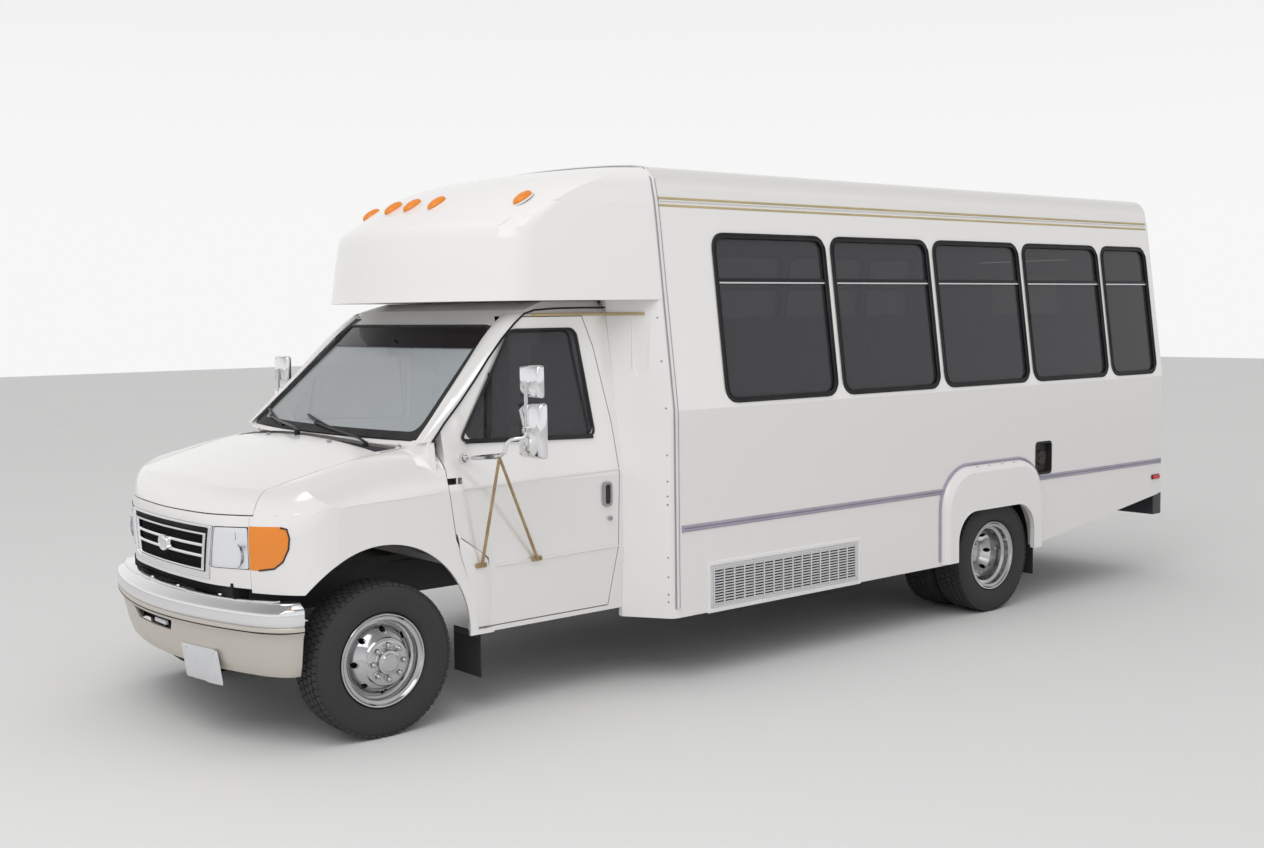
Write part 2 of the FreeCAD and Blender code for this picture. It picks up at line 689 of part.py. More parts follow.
# Plan of the nose: Y, how far it falls back behind the centre
nose_plan = ((0, 0), (250, 10), (490, 39), (600, 73), (700, 111), (800, 158), (880, 207), (940, 262), (975, 330),
             (992, 420), (1005, 530), (1020, 700))


@lru_cache
def front_volume(inset):
    """Hood and fenders filled: shouldered sections, cut by a nose that curves round at both sides."""
    wide = s.cab_half_width - inset
    rows = []
    for x, side, shoulder, crown in nose_sections:
        x = ahead(x)
        low = Vec(x, wide, 310)
        start, end = Vec(x, wide, side), Vec(x, shoulder_y - inset * 0.5, shoulder - inset)
        bend = Vec(x, wide - 62, side + (end.z - side) * 0.70)
        flip = [Vec(p.x, -p.y, p.z) for p in (end, bend, start, low)]
        rows.append(Part.Wire(thick_line([low, start]) + [
            Part.Arc(start, bend, end).toShape(), Part.Arc(end, Vec(x, 0, crown - inset), flip[0]).toShape(),
            Part.Arc(flip[0], flip[1], flip[2]).toShape()] + thick_line([flip[2], flip[3], low])))
    section = Part.makeLoft(rows, True, False)
    faces = [(z, ahead(x)) for z, x in nose_front]
    plan = [(y * wide / s.cab_half_width, back) for y, back in nose_plan]
    return section.common(swept(faces, plan, -inset))


front_outer = front_volume(0)
front_skin = front_outer.cut(front_volume(s.panel_thick))
cab_outer = cab_volume(0)
cab_skin = cab_outer.cut(cab_volume(s.cab_skin))
door_skin = cab_outer.cut(cab_section(s.door_thick))

# Cab door and its window: X from the front axle, Z
door_outline = ((-355, 1450), (-372, 1190), (-411, 913), (-490, 721), (-522, 564), (-532, 450), (-1372, 450),
                (-1432, 765), (-1449, 1172), (-1425, 1426), (-1356, 1830), (-1303, 1992), (-880, 1992))
door_window = ((-460, 1393), (-1312, 1363), (-1262, 1928), (-838, 1930))


def outline_prism(outline, by, y1, y2):
    """Prism along Y over an outline grown by an offset."""
    face = wire_face([(x, y1, z) for x, z in moved(outline)])
    if by:
        face = face.makeOffset2D(by, 2, False, False, True)
    return face.extrude(Vec(0, y2 - y1, 0))


door_block = outline_prism(door_outline, 0, 500, 1300)
door_gap = outline_prism(door_outline, s.gap, 500, 1300)
window_block = round_along(outline_prism(door_window, 0, 500, 1300), AY, 45)
pane_block = round_along(outline_prism(door_window, -s.seat_gap, 500, 1300), AY, 45 - s.seat_gap)
handle_cup = round_along(box(ahead(-1388), ahead(-1336), s.cab_half_width - 16, 1300, 985, 1112), AY, 20)

# Cab door hinges: a pin across a notch in the door, held by a gooseneck strap from the hinge pillar
hinge_x, hinge_y = ahead(-s.door_hinge_back), s.door_hinge_y
swing_radius = 118
swing_room = rod((hinge_x, hinge_y, 430), (hinge_x, hinge_y, 1500), swing_radius).common(
    box(hinge_x - 200, hinge_x + 200, 500, s.cab_half_width - s.panel_thick - 4, 0, 2000))
notches, door_pins, straps = [], [], []
for z in (995, 1190):
    notches.append(box(hinge_x - 25, hinge_x + 120, 500, s.cab_half_width - 8, z - 23, z + 23))
    door_pins.append(rod((hinge_x, hinge_y, z - 24), (hinge_x, hinge_y, z + 24), s.hinge_pin))
    strap = union([rod((hinge_x, hinge_y, z - 15), (hinge_x, hinge_y, z + 15), 10),
                   plan_prism([(hinge_x - 4, hinge_y), (hinge_x + 4, hinge_y), (hinge_x - 16, hinge_y - 122),
                               (hinge_x - 24, hinge_y - 122)], z - 15, z + 15),
                   box(hinge_x - 24, hinge_x + 138, hinge_y - 130, hinge_y - 122, z - 15, z + 15),
                   box(hinge_x + 130, hinge_x + 138, hinge_y - 130, 957, z - 15, z + 15)])
    straps.append(strap.cut(rod((hinge_x, hinge_y, z - 16), (hinge_x, hinge_y, z + 16), s.hinge_pin + s.seat_gap)))

door = door_skin.common(door_block).cut([window_block, handle_cup] + notches)
door = union([door] + door_pins)
pane_inner, pane_outer = 18, 18 + s.glass
pane = cab_volume(pane_inner).cut(cab_volume(pane_outer)).common(pane_block)
feature("left_door", door)
feature("right_door", mirrored(door))
feature("left_door_glass", pane)
feature("right_door_glass", mirrored(pane))

# Hood in plan: X from the front axle, half width; its lip is an arc across the front
hood_back = -110
hood_plan = ((hood_back, 800), (200, 755), (420, 740), (520, 722), (560, 700), (900, 690))
lip_rise = 16
lip_height = 1086


def hood_region(by):
    outline = [(ahead(x - (by if n == 0 else 0)), y + by) for n, (x, y) in enumerate(hood_plan)]
    plan = plan_prism(outline + [(x, -y) for x, y in reversed(outline)], 1000, 1700)
    low = [Vec(ahead(-700), y, lip_height - by + lip_rise * (y / 800) ** 2) for y in (-1100, 0, 1100)]
    edge = [Part.Arc(*low).toShape()] + thick_line([low[2], Vec(low[2].x, 1100, 1800), Vec(low[2].x, -1100, 1800), low[0]])
    return plan.common(Part.Face(Part.Wire(edge)).extrude(Vec(1700, 0, 0)))


hood = front_skin.common(hood_region(0))
pivot = (ahead(-s.hood_hinge_back), s.hood_hinge_height)
arm_y1, arm_y2 = 765, 783
arms = []
for side in (1, -1):
    arm = side_prism([(pivot[0], pivot[1] - 8), (pivot[0], pivot[1] + 8), (ahead(-100), pivot[1] - 2),
                      (ahead(-40), 1335), (ahead(-40), 1300), (ahead(-100), pivot[1] - 24)], side * arm_y1, side * arm_y2)
    eye = rod((pivot[0], side * arm_y1, pivot[1]), (pivot[0], side * arm_y2, pivot[1]), 14)
    arms.append(arm.fuse(eye).cut(rod((pivot[0], -FAR, pivot[1]), (pivot[0], FAR, pivot[1]), s.hinge_pin + s.seat_gap)))
beyond_hood = front_volume(4)
feature("hood", union([hood] + [arm.common(beyond_hood.fuse(box(ahead(-300), ahead(-100), -FAR, FAR, 0, FAR)))
                                for arm in arms]))

# Fenders, nose panel and lamps
half_lip = 705
lamp_side = ((900, 1044), (560, 1046), (456, 1052), (442, 1042), (437, 1000), (441, 950), (458, 892), (480, 858),
             (510, 841), (900, 841))
lamp_prism = side_prism(moved(lamp_side), half_lip, 1300)
grille_outline = ((-490, 1034), (490, 1034), (441, 777), (-441, 777))
lamp_front = ((494, 1034), (half_lip - 2, 1043), (half_lip - 2, 843), (456, 836))


def nose_prism(outline, trim=0.0):
    """Prism along X at the nose over an outline of Y and Z, shrunk all round."""
    face = wire_face([(ahead(280), y, z) for y, z in outline])
    if trim:
        face = face.makeOffset2D(-trim, 2, False, False, True)
    return face.extrude(Vec(620, 0, 0))


panel_low = 752
panel_region = box(ahead(420), ahead(900), -half_lip, half_lip, panel_low, 1110)
panel_gap = box(ahead(420), ahead(900), -half_lip - 3, half_lip + 3, panel_low - 60, 1200)
wheel_space = arch_cut(s.front_axle, 400, FAR, 480, 450)
fender_cut = [hood_region(s.gap), panel_gap, wheel_space, door_gap, lamp_prism,
              box(ahead(-800), ahead(hood_back), -FAR, FAR, 1392, 1700),
              box(ahead(-800), ahead(900), -FAR, FAR, 0, s.rocker_bottom),
              box(ahead(-10), ahead(900), -FAR, FAR, 0, 735),
              box(ahead(-800), ahead(900), -1, 300, 0, FAR),
              box(ahead(-700), ahead(hood_back) + 1, -800 - s.gap, 800 + s.gap, 1000, 1700)]
fender = front_skin.common(box(ahead(-700), ahead(900), 0, FAR, 0, FAR)).cut(fender_cut)
feature("fenders", Part.makeCompound(both_sides(biggest(fender))))

nose = front_skin.common(panel_region).cut([hood_region(s.gap), nose_prism(grille_outline)] + both_sides(nose_prism(lamp_front)))
feature("front_panel", biggest(nose))

headlamp = front_outer.cut(front_volume(50)).common(nose_prism(lamp_front, s.seat_gap))
feature("headlamps", Part.makeCompound(both_sides(biggest(headlamp))))
lamp_body = front_outer.cut(front_volume(50)).common(side_prism(moved(lamp_side), half_lip + 3.3, 1300))
feature("corner_lamps", Part.makeCompound(both_sides(biggest(lamp_body))))

# Grille: surround, inner frame and crossbars in front of a dark plate
grille_slab = front_volume(-8).cut(front_volume(30))
surround_ring = nose_prism(grille_outline, s.seat_gap).cut(nose_prism(grille_outline, 28))
inner_frame = nose_prism(grille_outline, 62).cut(nose_prism(grille_outline, 84))
inner_frame = inner_frame.fuse(nose_prism(grille_outline, 20).cut(nose_prism(grille_outline, 84)).common(
    box(ahead(200), ahead(900), -FAR, FAR, 700, 860)))
bars = [box(ahead(280), ahead(900), -410, 410, z, z + 13).common(nose_prism(grille_outline, 70)) for z in (893, 940)]
plate = front_volume(30).cut(front_volume(50)).common(nose_prism(grille_outline, 10))
badge = rod((ahead(560), 0, 922), (ahead(900), 0, 922), 40)
bright = grille_slab.common(union([surround_ring, inner_frame, badge] + bars))
feature("grille", union([bright, plate]))

# Cab shell: pillars, cowl, firewall, sills and roof round the openings
screen_outline = ((-887, 1402), (887, 1402), (737, 1952), (-737, 1952))
screen_hole = end_prism(screen_outline, ahead(-1200), ahead(300))
screen_cut = bowed(screen_rows, cab_bow, 30).cut(bowed(screen_rows, cab_bow, -90)).common(screen_hole)
pane_outline = [(y * 0.998, z + (1.5 if z < 1500 else -1.5)) for y, z in screen_outline]
screen_pane = bowed(screen_rows, cab_bow, -6).cut(bowed(screen_rows, cab_bow, -6 - s.glass)).common(
    end_prism(pane_outline, ahead(-1200), ahead(300)))
under = box(ahead(-700), ahead(0), -760, 760, 0, s.cab_floor - 30).fuse(
    box(cab_back - 20, ahead(0), -840, 840, 0, s.cab_floor - 30))
back_open = box(cab_back - 20, cab_back + 60, -840, 840, s.cab_floor, 1960)
arm_room = [rod((pivot[0], side * (arm_y1 - 6), pivot[1]), (pivot[0], side * (arm_y2 + 6), pivot[1]), 21).fuse(
    box(pivot[0], pivot[0] + 60, side * (arm_y1 - 6), side * (arm_y2 + 6), pivot[1] - 21, 1420)) for side in (1, -1)]
shell = cab_skin.cut([front_skin, under, back_open, screen_cut] + both_sides(door_gap) + both_sides(swing_room) + arm_room)
tub_y = s.cab_half_width - cab_side[0][0] - s.door_thick - s.gap
tub = [box(cab_back, ahead(-480), -tub_y, tub_y, s.cab_floor - 30, s.cab_floor)]
for side in (1, -1):
    tub.append(box(cab_back, ahead(-545), side * (tub_y - 30), side * tub_y, s.rocker_bottom, s.cab_floor))
    tub.append(box(cab_back, ahead(-545), side * (tub_y - 30), side * (s.cab_half_width - 25), s.rocker_bottom, 444))
# Hood hinge pins and the cheeks that carry them
hood_pins = []
for side in (1, -1):
    for near, far in ((arm_y1 - 16, arm_y1 - 6), (arm_y2 + 6, arm_y2 + 16)):
        hood_pins.append(box(pivot[0] - 40, pivot[0] + 12, side * near, side * far, pivot[1] - 40, pivot[1] + 10))
    hood_pins.append(rod((pivot[0], side * (arm_y1 - 12), pivot[1]), (pivot[0], side * (arm_y2 + 12), pivot[1]), s.hinge_pin))
door_straps = [piece for strap in straps for piece in both_sides(strap)]
feature("cab_shell", biggest(union([biggest(shell)] + tub + hood_pins + door_straps)))
feature("windshield", screen_pane)

# Over-cab cap with the flared panels down to the skirt on both sides
cap_inside = cap_volume(s.cap_wall)
cap_filled = cap_volume(0)
cap = cap_filled.cut(cap_inside).cut(box(s.seam - 30, s.seam, -FAR, FAR, 0, FAR))
flare_rows = []
x_cab = cab_back - s.seat_gap
for z, y_cab in ((s.skirt_bottom, 972), (750, 992), (1150, 988), (s.lean_start, 942), (s.cap_bottom + 5, 862)):
    y_out = wall_y(z)
    flare_rows.append(Part.makePolygon([
        Vec(s.seam, y_out - s.wall, z), Vec(s.seam, y_out, z), Vec(s.seam + 40, y_out - 12, z),
        Vec(x_cab, y_cab, z), Vec(x_cab - 2, y_cab - 30, z), Vec(s.seam, y_out - s.wall, z)]))
flare = Part.makeLoft(flare_rows, True, True)
# An upright rounded recess in each flared panel
panel_turn = 62
recess = round_along(box(-52, 52, -14, 60, 1672, 2008), AY, 45)
recess.Placement = FreeCAD.Placement(Vec(s.seam + 106, 1048, 0), FreeCAD.Rotation(AZ, -panel_turn))
feature("front_cap", union([cap] + both_sides(flare)).cut(both_sides(recess)))

# Bumpers
bumper_rows = ((355, 682), (570, 735), (600, 750), (668, 750), (705, 706))


def bumper_volume(inset):
    whole = bowed([(z, ahead(x)) for z, x in bumper_rows], 2300, -inset)
    plan = round_along(box(ahead(405), ahead(751) - inset, inset - 1000, 1000 - inset, 300, 800), AZ, 170 - inset,
                       lambda middle: middle.x > ahead(500))
    return whole.common(plan)


bumper_outer, bumper_inner = bumper_volume(0), bumper_volume(14)
bumper_skin = bumper_outer.cut(bumper_inner.fuse(bumper_inner.translated(Vec(-30, 0, 0))))
top_plate = bumper_outer.cut(bumper_outer.translated(Vec(-104, 0, 0))).common(
    box(ahead(430), ahead(800), -FAR, FAR, 693, 705))
brackets = [box(ahead(560.3), ahead(720), side * 372, side * 424, 600, 690).common(bumper_volume(7)) for side in (1, -1)]
feature("front_bumper", union([bumper_skin.common(box(ahead(430), ahead(800), -FAR, FAR, 578, 740)), top_plate] + brackets))
air_slot = end_prism([(-300, 557), (210, 557), (170, 500), (-235, 500)], ahead(500), ahead(900))
feature("front_valance", bumper_skin.common(box(ahead(465), ahead(800), -FAR, FAR, 355, 577.7)).cut(air_slot))
keep(block((s.rear_face, s.rear_wall_back), (60 - s.half_body, s.half_body - 60), (430, 600)), "rear_bumper")

# Chassis rails, crossmembers and the member over the front axle
rail_x = (s.rear_wall_back + s.seat_gap, s.front_axle + 560)
rails = []
for outer_y, hollow_y in (((s.rail_outer - s.rail_width, s.rail_outer), (s.rail_outer - s.rail_width - 1, s.rail_outer - s.rail_plate)),
                          ((-s.rail_outer, s.rail_width - s.rail_outer), (s.rail_plate - s.rail_outer, s.rail_width - s.rail_outer + 1))):
    channel = block((rail_x[0] - 1, rail_x[1] + 1), hollow_y, (s.rail_bottom + s.rail_plate, rail_top - s.rail_plate))
    rails.append(without(block(rail_x, outer_y, (s.rail_bottom, rail_top)), [channel]))
cross_y = (s.rail_plate / 2 - s.rail_outer, s.rail_outer - s.rail_plate / 2)
for x in (s.front_axle + 495, s.front_axle - 960, s.front_axle - 1900, s.front_axle - 3100, s.rear_axle + 300,
          s.rear_axle - 500, s.rear_wall_back + 70):
    rails.append(block((x, x + 60), cross_y, (s.rail_bottom + 40, rail_top - 40)))
rails.append(block((s.front_axle - 70, s.front_axle + 70), cross_y, (s.rail_bottom, s.rail_bottom + 35)))
keep(joined(rails), "frame_rails")

keep(joined([block((s.front_axle - 150, s.front_axle + 470), (-240, 240), (620, 1120)),
             block((s.front_axle - 900, s.front_axle - 145), (-150, 150), (500, 715))]), "engine_block")
tank_y = s.rail_outer - s.rail_width - s.seat_gap
tank = Piece()
tank.pad(tank.outline("YZ", ahead(-6150), ((-tank_y, 430), (tank_y, 430), (tank_y, 730), (-tank_y, 730))), 1050)
tank.round(40, lambda middle, way: abs(way.x) > 0.9 and middle.z < 500)
keep(tank.body, "fuel_tank")
shaft_front, shaft_back = (ahead(-902.5), 0, 560), (s.rear_axle + 238, 0, 424)
feature("driveshaft", rod(shaft_front, shaft_back, 38))

# Rear axle tube with its round housing, leaf springs and their clamps
axle_z = s.tyre_radius
tube_y = s.dual_outer - s.dual_spacing / 2 - 46
rear_axle_shape = [
    rod((s.rear_axle, -tube_y, axle_z), (s.rear_axle, tube_y, axle_z), s.axle_tube),
    Part.makeSphere(165, Vec(s.rear_axle, 0, axle_z)),
    rod((s.rear_axle + 100, 0, axle_z + 10), (s.rear_axle + 228, 0, axle_z + 50), 50)]
for side in (1, -1):
    y = side * 520
    rear_axle_shape.append(side_prism([
        (s.rear_axle - 700, 500), (s.rear_axle - 690, 530), (s.rear_axle, axle_z + 96), (s.rear_axle + 690, 530),
        (s.rear_axle + 700, 500), (s.rear_axle, axle_z + 46)], y - 38, y + 38))
    for x in (s.rear_axle - 700, s.rear_axle + 660):
        rear_axle_shape.append(box(x, x + 40, side * (s.rail_outer + s.seat_gap), y + side * 38, 495, 620))
    rear_axle_shape.append(box(s.rear_axle - 60, s.rear_axle + 60, y - 50, y + 50, axle_z - 60, axle_z + 110))
feature("rear_axle", union(rear_axle_shape))

# Twin beams of the front axle, each from its kingpin eye to a bracket on the far side of the frame
beams = []
for side in (1, -1):
    shift = side * 55
    outline = [(side * (s.kingpin - 30), axle_z - 40), (side * (s.kingpin - 30), axle_z + 40),
               (side * 600, axle_z + 30), (side * 500, axle_z - 60), (-side * 250, axle_z - 20),
               (-side * 250, axle_z - 90), (side * 500, axle_z - 130), (side * 620, axle_z - 60)]
    beam = end_prism(outline, s.front_axle + shift - 35, s.front_axle + shift + 35)
    neck = box(s.front_axle - 60, s.front_axle + 60, side * (s.kingpin - 75), side * (s.kingpin - 30),
               axle_z - 58, axle_z + 58)
    eye = rod((s.front_axle, side * s.kingpin, axle_z - 60), (s.front_axle, side * s.kingpin, axle_z + 60), 45)
    bracket = box(s.front_axle + shift - 45, s.front_axle + shift + 45, -side * 280, -side * 230,
                  axle_z - 100, s.rail_bottom - s.seat_gap)
    bore = rod((s.front_axle, side * s.kingpin, 0), (s.front_axle, side * s.kingpin, FAR), s.pin_radius + s.seat_gap)
    beams.append(union([beam, neck, eye, bracket]).cut(bore).Solids[0])
feature("front_axle", Part.makeCompound(beams))

# Exhaust from the engine back past the frame on the right, hung off the rail
pipe = tube_path([(ahead(-150.3), -200, 660), (ahead(-210), -200, 660), (ahead(-500), -260, 470),
                  (ahead(-1300), -330, 430), (ahead(-2300), -490, 420), (ahead(-3600), -520, 420)], 32)
muffler = rod((ahead(-2400), -490, 420), (ahead(-3000), -490, 420), 95)
hanger = box(ahead(-2720), ahead(-2690), -455, -s.rail_outer - s.seat_gap, 420, 640)
feature("exhaust", union([pipe, muffler, hanger]))

# Tyres: half of the section as Y from its middle and radius, from the bead over the tread, then the inside
tyre_half = s.tyre_width / 2
bead_y = s.rim_half - 10.5
bead = s.rim_radius + s.seat_gap
tyre_outside = ((bead_y, bead), (bead_y, bead + 21), (tyre_half - 14, bead + 36), (tyre_half - 3, bead + 60),
                (tyre_half, bead + 85), (tyre_half - 6, s.tyre_radius - 34), (tyre_half - 20, s.tyre_radius - 8),
                (tyre_half - 45, s.tyre_radius))
tyre_inside = ((bead_y - 20, bead), (bead_y - 18, bead + 24), (tyre_half - 24, bead + 82),
               (tyre_half - 30, s.tyre_radius - 34))
tyre_section = ([(-y, r) for y, r in tyre_outside] + list(reversed(tyre_outside)) + list(tyre_inside)
                + [(-y, r) for y, r in reversed(tyre_inside)])


def tyre(x, y):
    made = Piece()
    made.turn(made.outline("YZ", 0, tyre_section))
    return made.place(x, y, axle_z)


def rim(x, y, way, face, bore, turned):
    """A wheel with its dished disc, hand holes, nuts and turned extras; way is the side that the nuts look to."""
    half, seat = s.rim_half, s.rim_radius
    lean = 1 if face > 0 else -1
    joint, slope_end, thick = 34 * lean, face - 22 * lean, 9 * lean
    barrel = ((-half, seat + 20), (6 - half, seat + 20), (10 - half, seat), (-40, seat - 4), (-30, seat - 22),
              (30, seat - 22), (40, seat - 4), (half - 10, seat), (half - 6, seat + 20), (half, seat + 20),
              (half - 4, seat - 8), (48, seat - 11), (38, seat - 30), (-38, seat - 30), (-48, seat - 11), (4 - half, seat - 8))
    disc = ((face, bore), (face, 112), (slope_end, 128), (joint, seat - 24), (joint - thick, seat - 24),
            (slope_end - thick, 122), (face - thick, 106), (face - thick, bore))
    made = Piece()
    for section in (barrel, disc):
        made.turn(made.outline("YZ", 0, [(way * y, r) for y, r in section]))
    hand_hole = made.pocket(made.disc("XZ", 0, (0, s.hand_hole_circle), s.hand_hole_radius))
    made.ring_of(hand_hole, s.hand_hole_count)
    nut = made.pad(made.disc("XZ", -way * (face - 5), (0, s.lug_circle), s.lug_radius), 29, way > 0)
    made.ring_of(nut, s.lug_count)
    for section in turned:
        made.turn(made.outline("YZ", 0, [(way * y, r) for y, r in section]))
    return made.place(x, y, axle_z)


def pair(thing, left_label, right_label):
    """The same piece on the left and, mirrored, on the right."""
    twin = doc.addObject("Part::Mirroring", "mirrored")
    twin.Source = thing
    twin.Normal = AY
    keep(thing, left_label)
    keep(twin, right_label)


hub_face = s.front_hub_face
spindle_room = s.spindle_radius + s.seat_gap
front_hub = ((hub_face - 60, spindle_room), (hub_face - 60, 62), (hub_face - 1, 62), (hub_face - 1, spindle_room))
hub_cap = ((hub_face - 8, 0), (hub_face - 8, 62), (hub_face + 8, 62), (hub_face + s.hub_cap_reach - 10, 52),
           (hub_face + s.hub_cap_reach, 40), (hub_face + s.hub_cap_reach, 0))
dual_middle = s.dual_spacing / 2
dual_inner = s.dual_outer - s.dual_spacing
sleeve_room = s.axle_tube + s.seat_gap
rear_hub = ((-dual_middle - 85, sleeve_room), (-dual_middle - 85, 64), (-60, 64), (-45, 54), (-45, 0), (-77, 0),
            (-77, sleeve_room))
pair(tyre(s.front_axle, s.front_track_half), "front_left_tyre", "front_right_tyre")
pair(rim(s.front_axle, s.front_track_half, 1, hub_face, 52, (front_hub, hub_cap)), "front_left_rim", "front_right_rim")
pair(grouped([tyre(s.rear_axle, s.dual_outer), tyre(s.rear_axle, dual_inner)]), "rear_left_tyres", "rear_right_tyres")
# The two dished discs meet back to back midway between the twin tyres
pair(joined([rim(s.rear_axle, s.dual_outer, 1, -dual_middle, 52, (rear_hub,)),
             rim(s.rear_axle, dual_inner, -1, -dual_middle, 62, ())]), "rear_left_rims", "rear_right_rims")

# Steering knuckle on its kingpin, with spindle, brake rotor and steering arm
kx, ky = s.front_axle, s.kingpin
spindle_end = s.front_track_half + hub_face - 10
pair(joined([drum((kx, ky, axle_z - 90), AZ, s.pin_radius, 180),
             drum((kx, ky + 55, axle_z), AY, s.spindle_radius, spindle_end - ky - 55),
             drum((kx, ky + 70, axle_z), AY, 150, 28),
             block((kx - 190, kx - 30), (ky - 10, ky + 14), (axle_z - 90, axle_z - 66)),
             block((kx - 40, kx + 40), (ky + 50, ky + 62), (axle_z - 90, axle_z + 90)),
             block((kx - 32, kx + 32), (ky - 32, ky + 62), (axle_z - 90, axle_z - 66)),
             block((kx - 32, kx + 32), (ky - 32, ky + 62), (axle_z + 66, axle_z + 90))]), "left_knuckle", "right_knuckle")

# Mirrors: arm and vee brace off the door, a post and two heads
mirror_x, mirror_y, arm_z = ahead(-640), 1300, 1335
skin_y = s.cab_half_width
arm = tube_path([(ahead(-540), skin_y - 14, 1305), (ahead(-545), 1230, arm_z), (mirror_x + 20, mirror_y, arm_z + 60),
                 (mirror_x + 20, mirror_y, 1690)], 9)
braces = [rod((ahead(x), skin_y + 9, 770), (ahead(-548), 1215, arm_z - 4), 8) for x in (-545, -885)]
feet = [rod((ahead(x), skin_y + 0.3, 770), (ahead(x), skin_y + 10, 770), 20) for x in (-545, -885)]
feet.append(rod((ahead(-540), skin_y - 20.5, 1305), (ahead(-540), skin_y - 8, 1305), 22))
heads = []
for low, high, half, depth in ((1314, 1585, 98, 70), (1605, 1765, 84, 60)):
    head = round_along(box(mirror_x - depth, mirror_x - 5, mirror_y - half, mirror_y + half, low, high), AX, 42)
    heads.append(head.makeFillet(14, [edge for edge in head.Edges if edge.CenterOfMass.x > mirror_x - 6]))
clamps = [rod((mirror_x - 10, mirror_y, z), (mirror_x + 20, mirror_y, z), 12) for z in (1450, 1680)]
mirror = union([arm] + heads + braces + feet + clamps)
feature("left_mirror", mirror)
feature("right_mirror", mirrored(mirror))

# Entrance leaves: upright halves of the doorway, each with two panes
leaf_y = (-door_face, s.leaf_thick - door_face)
middle_x = (door_x1 + door_x2) / 2
leaf_low, leaf_top, bar = s.entrance_bottom, s.entrance_top - s.gap, s.leaf_bar
spans = ((leaf_low + 120, 1240), (1240 + bar, leaf_top - bar))
for word, a, b, (fixed, sleeves, room) in (("front", middle_x + s.gap, door_x2 - s.gap, leaf_hinges[0]),
                                           ("rear", door_x1 + s.gap, middle_x - s.gap, leaf_hinges[1])):
    leaf = Piece()
    leaf.pad(leaf.outline("XZ", -leaf_y[1], ((a, leaf_low), (b, leaf_low), (b, leaf_top), (a, leaf_top))), s.leaf_thick)
    leaf_panes = []
    for low, high in spans:
        leaf.pocket(leaf.outline("XZ", 0, ((a + bar, low), (b - bar, low), (b - bar, high), (a + bar, high))))
        pane = Piece()
        shut = s.seat_gap
        pane.pad(pane.outline("XZ", door_face - 10 - s.glass, (
            (a + bar + shut, low + shut), (b - bar - shut, low + shut), (b - bar - shut, high - shut),
            (a + bar + shut, high - shut))), s.glass)
        pane.round(40 - shut, lambda middle, way: abs(way.y) > 0.9)
        leaf_panes.append(pane.body)
    leaf.round(40, lambda middle, way: abs(way.y) > 0.9 and a + 20 < middle.x < b - 20)
    doc.recompute()
    feature(f"entrance_leaf_{word}", hung(leaf.body.Shape, sleeves, room))
    keep(grouped(leaf_panes), f"entrance_glass_{word}")

# Rear door with its window
leaf = Piece()
half = half_rear_door - s.gap
leaf.pad(leaf.outline("YZ", s.rear_wall_back, (
    (-half, s.rear_door_bottom + s.gap), (half, s.rear_door_bottom + s.gap), (half, s.rear_door_top - s.gap),
    (-half, s.rear_door_top - s.gap))), s.wall)
leaf.pocket(leaf.outline("YZ", s.rear_wall_back, ((-330, 1560), (330, 1560), (330, 2260), (-330, 2260))))
leaf.round(56, lambda middle, way: abs(way.x) > 0.9)
doc.recompute()
feature("rear_door", hung(leaf.body.Shape, rear_hinge[1], rear_hinge[2]))
pane = Piece()
pane.pad(pane.outline("YZ", s.rear_wall_back + 10, (
    (s.seat_gap - 330, 1560 + s.seat_gap), (330 - s.seat_gap, 1560 + s.seat_gap),
    (330 - s.seat_gap, 2260 - s.seat_gap), (s.seat_gap - 330, 2260 - s.seat_gap))), s.glass)
pane.round(56 - s.seat_gap, lambda middle, way: abs(way.x) > 0.9)
keep(pane.body, "rear_door_glass")

# Interior: dash, cab seats and rows of passenger seats


def seat(x, y, width, base_z):
    """A seat facing forward: cushion, raked back and pedestal."""
    cushion = round_along(box(x - 430, x, y - width / 2, y + width / 2, base_z + 330, base_z + 430), AY, 30)
    back = side_prism([(x - 440, base_z + 350), (x - 400, base_z + 350), (x - 480, base_z + 1080),
                       (x - 540, base_z + 1080)], y - width / 2, y + width / 2)
    legs = box(x - 330, x - 80, y - width * 0.3, y + width * 0.3, base_z, base_z + 335)
    return union([cushion, back, legs])


row_pitch = 780
seats = [seat(ahead(-930), side * 480, 500, s.cab_floor) for side in (1, -1)]
seats += [seat(s.seam - 420 - row * row_pitch, 670, 860, s.floor_top) for row in range(5)]
seats += [seat(s.seam - 1500 - row * row_pitch, -670, 860, s.floor_top) for row in range(4)]
box_room = [box(box_x[0], box_x[1], side * (box_y - 12), side * FAR, 0, 900 + s.seat_gap) for side in (1, -1)]
feature("seats", Part.makeCompound([whole.cut(box_room).Solids[0] for whole in seats]))

dash = side_prism(moved(((-370, 1130), (-370, 1300), (-530, 1330), (-670, 1270), (-655, 1080), (-530, 1000))), -830, 830)
wheel_centre = Vec(ahead(-800), 480, 1235)
tilt = radians(28)
wheel_axis = Vec(-cos(tilt), 0, sin(tilt))
spokes = []
for angle in (90, 210, 330):
    across_way = AY * cos(radians(angle)) + wheel_axis.cross(AY) * sin(radians(angle))
    spokes.append(rod(wheel_centre, wheel_centre + across_way * 188, 11))
column = rod(wheel_centre - wheel_axis * 230, wheel_centre + wheel_axis * 8, 26)
feature("dash_panel", dash.cut(rod(wheel_centre - wheel_axis * 240, wheel_centre, 26 + s.seat_gap)))
feature("steering_wheel", union([Part.makeTorus(190, 14, wheel_centre, wheel_axis), column] + spokes))

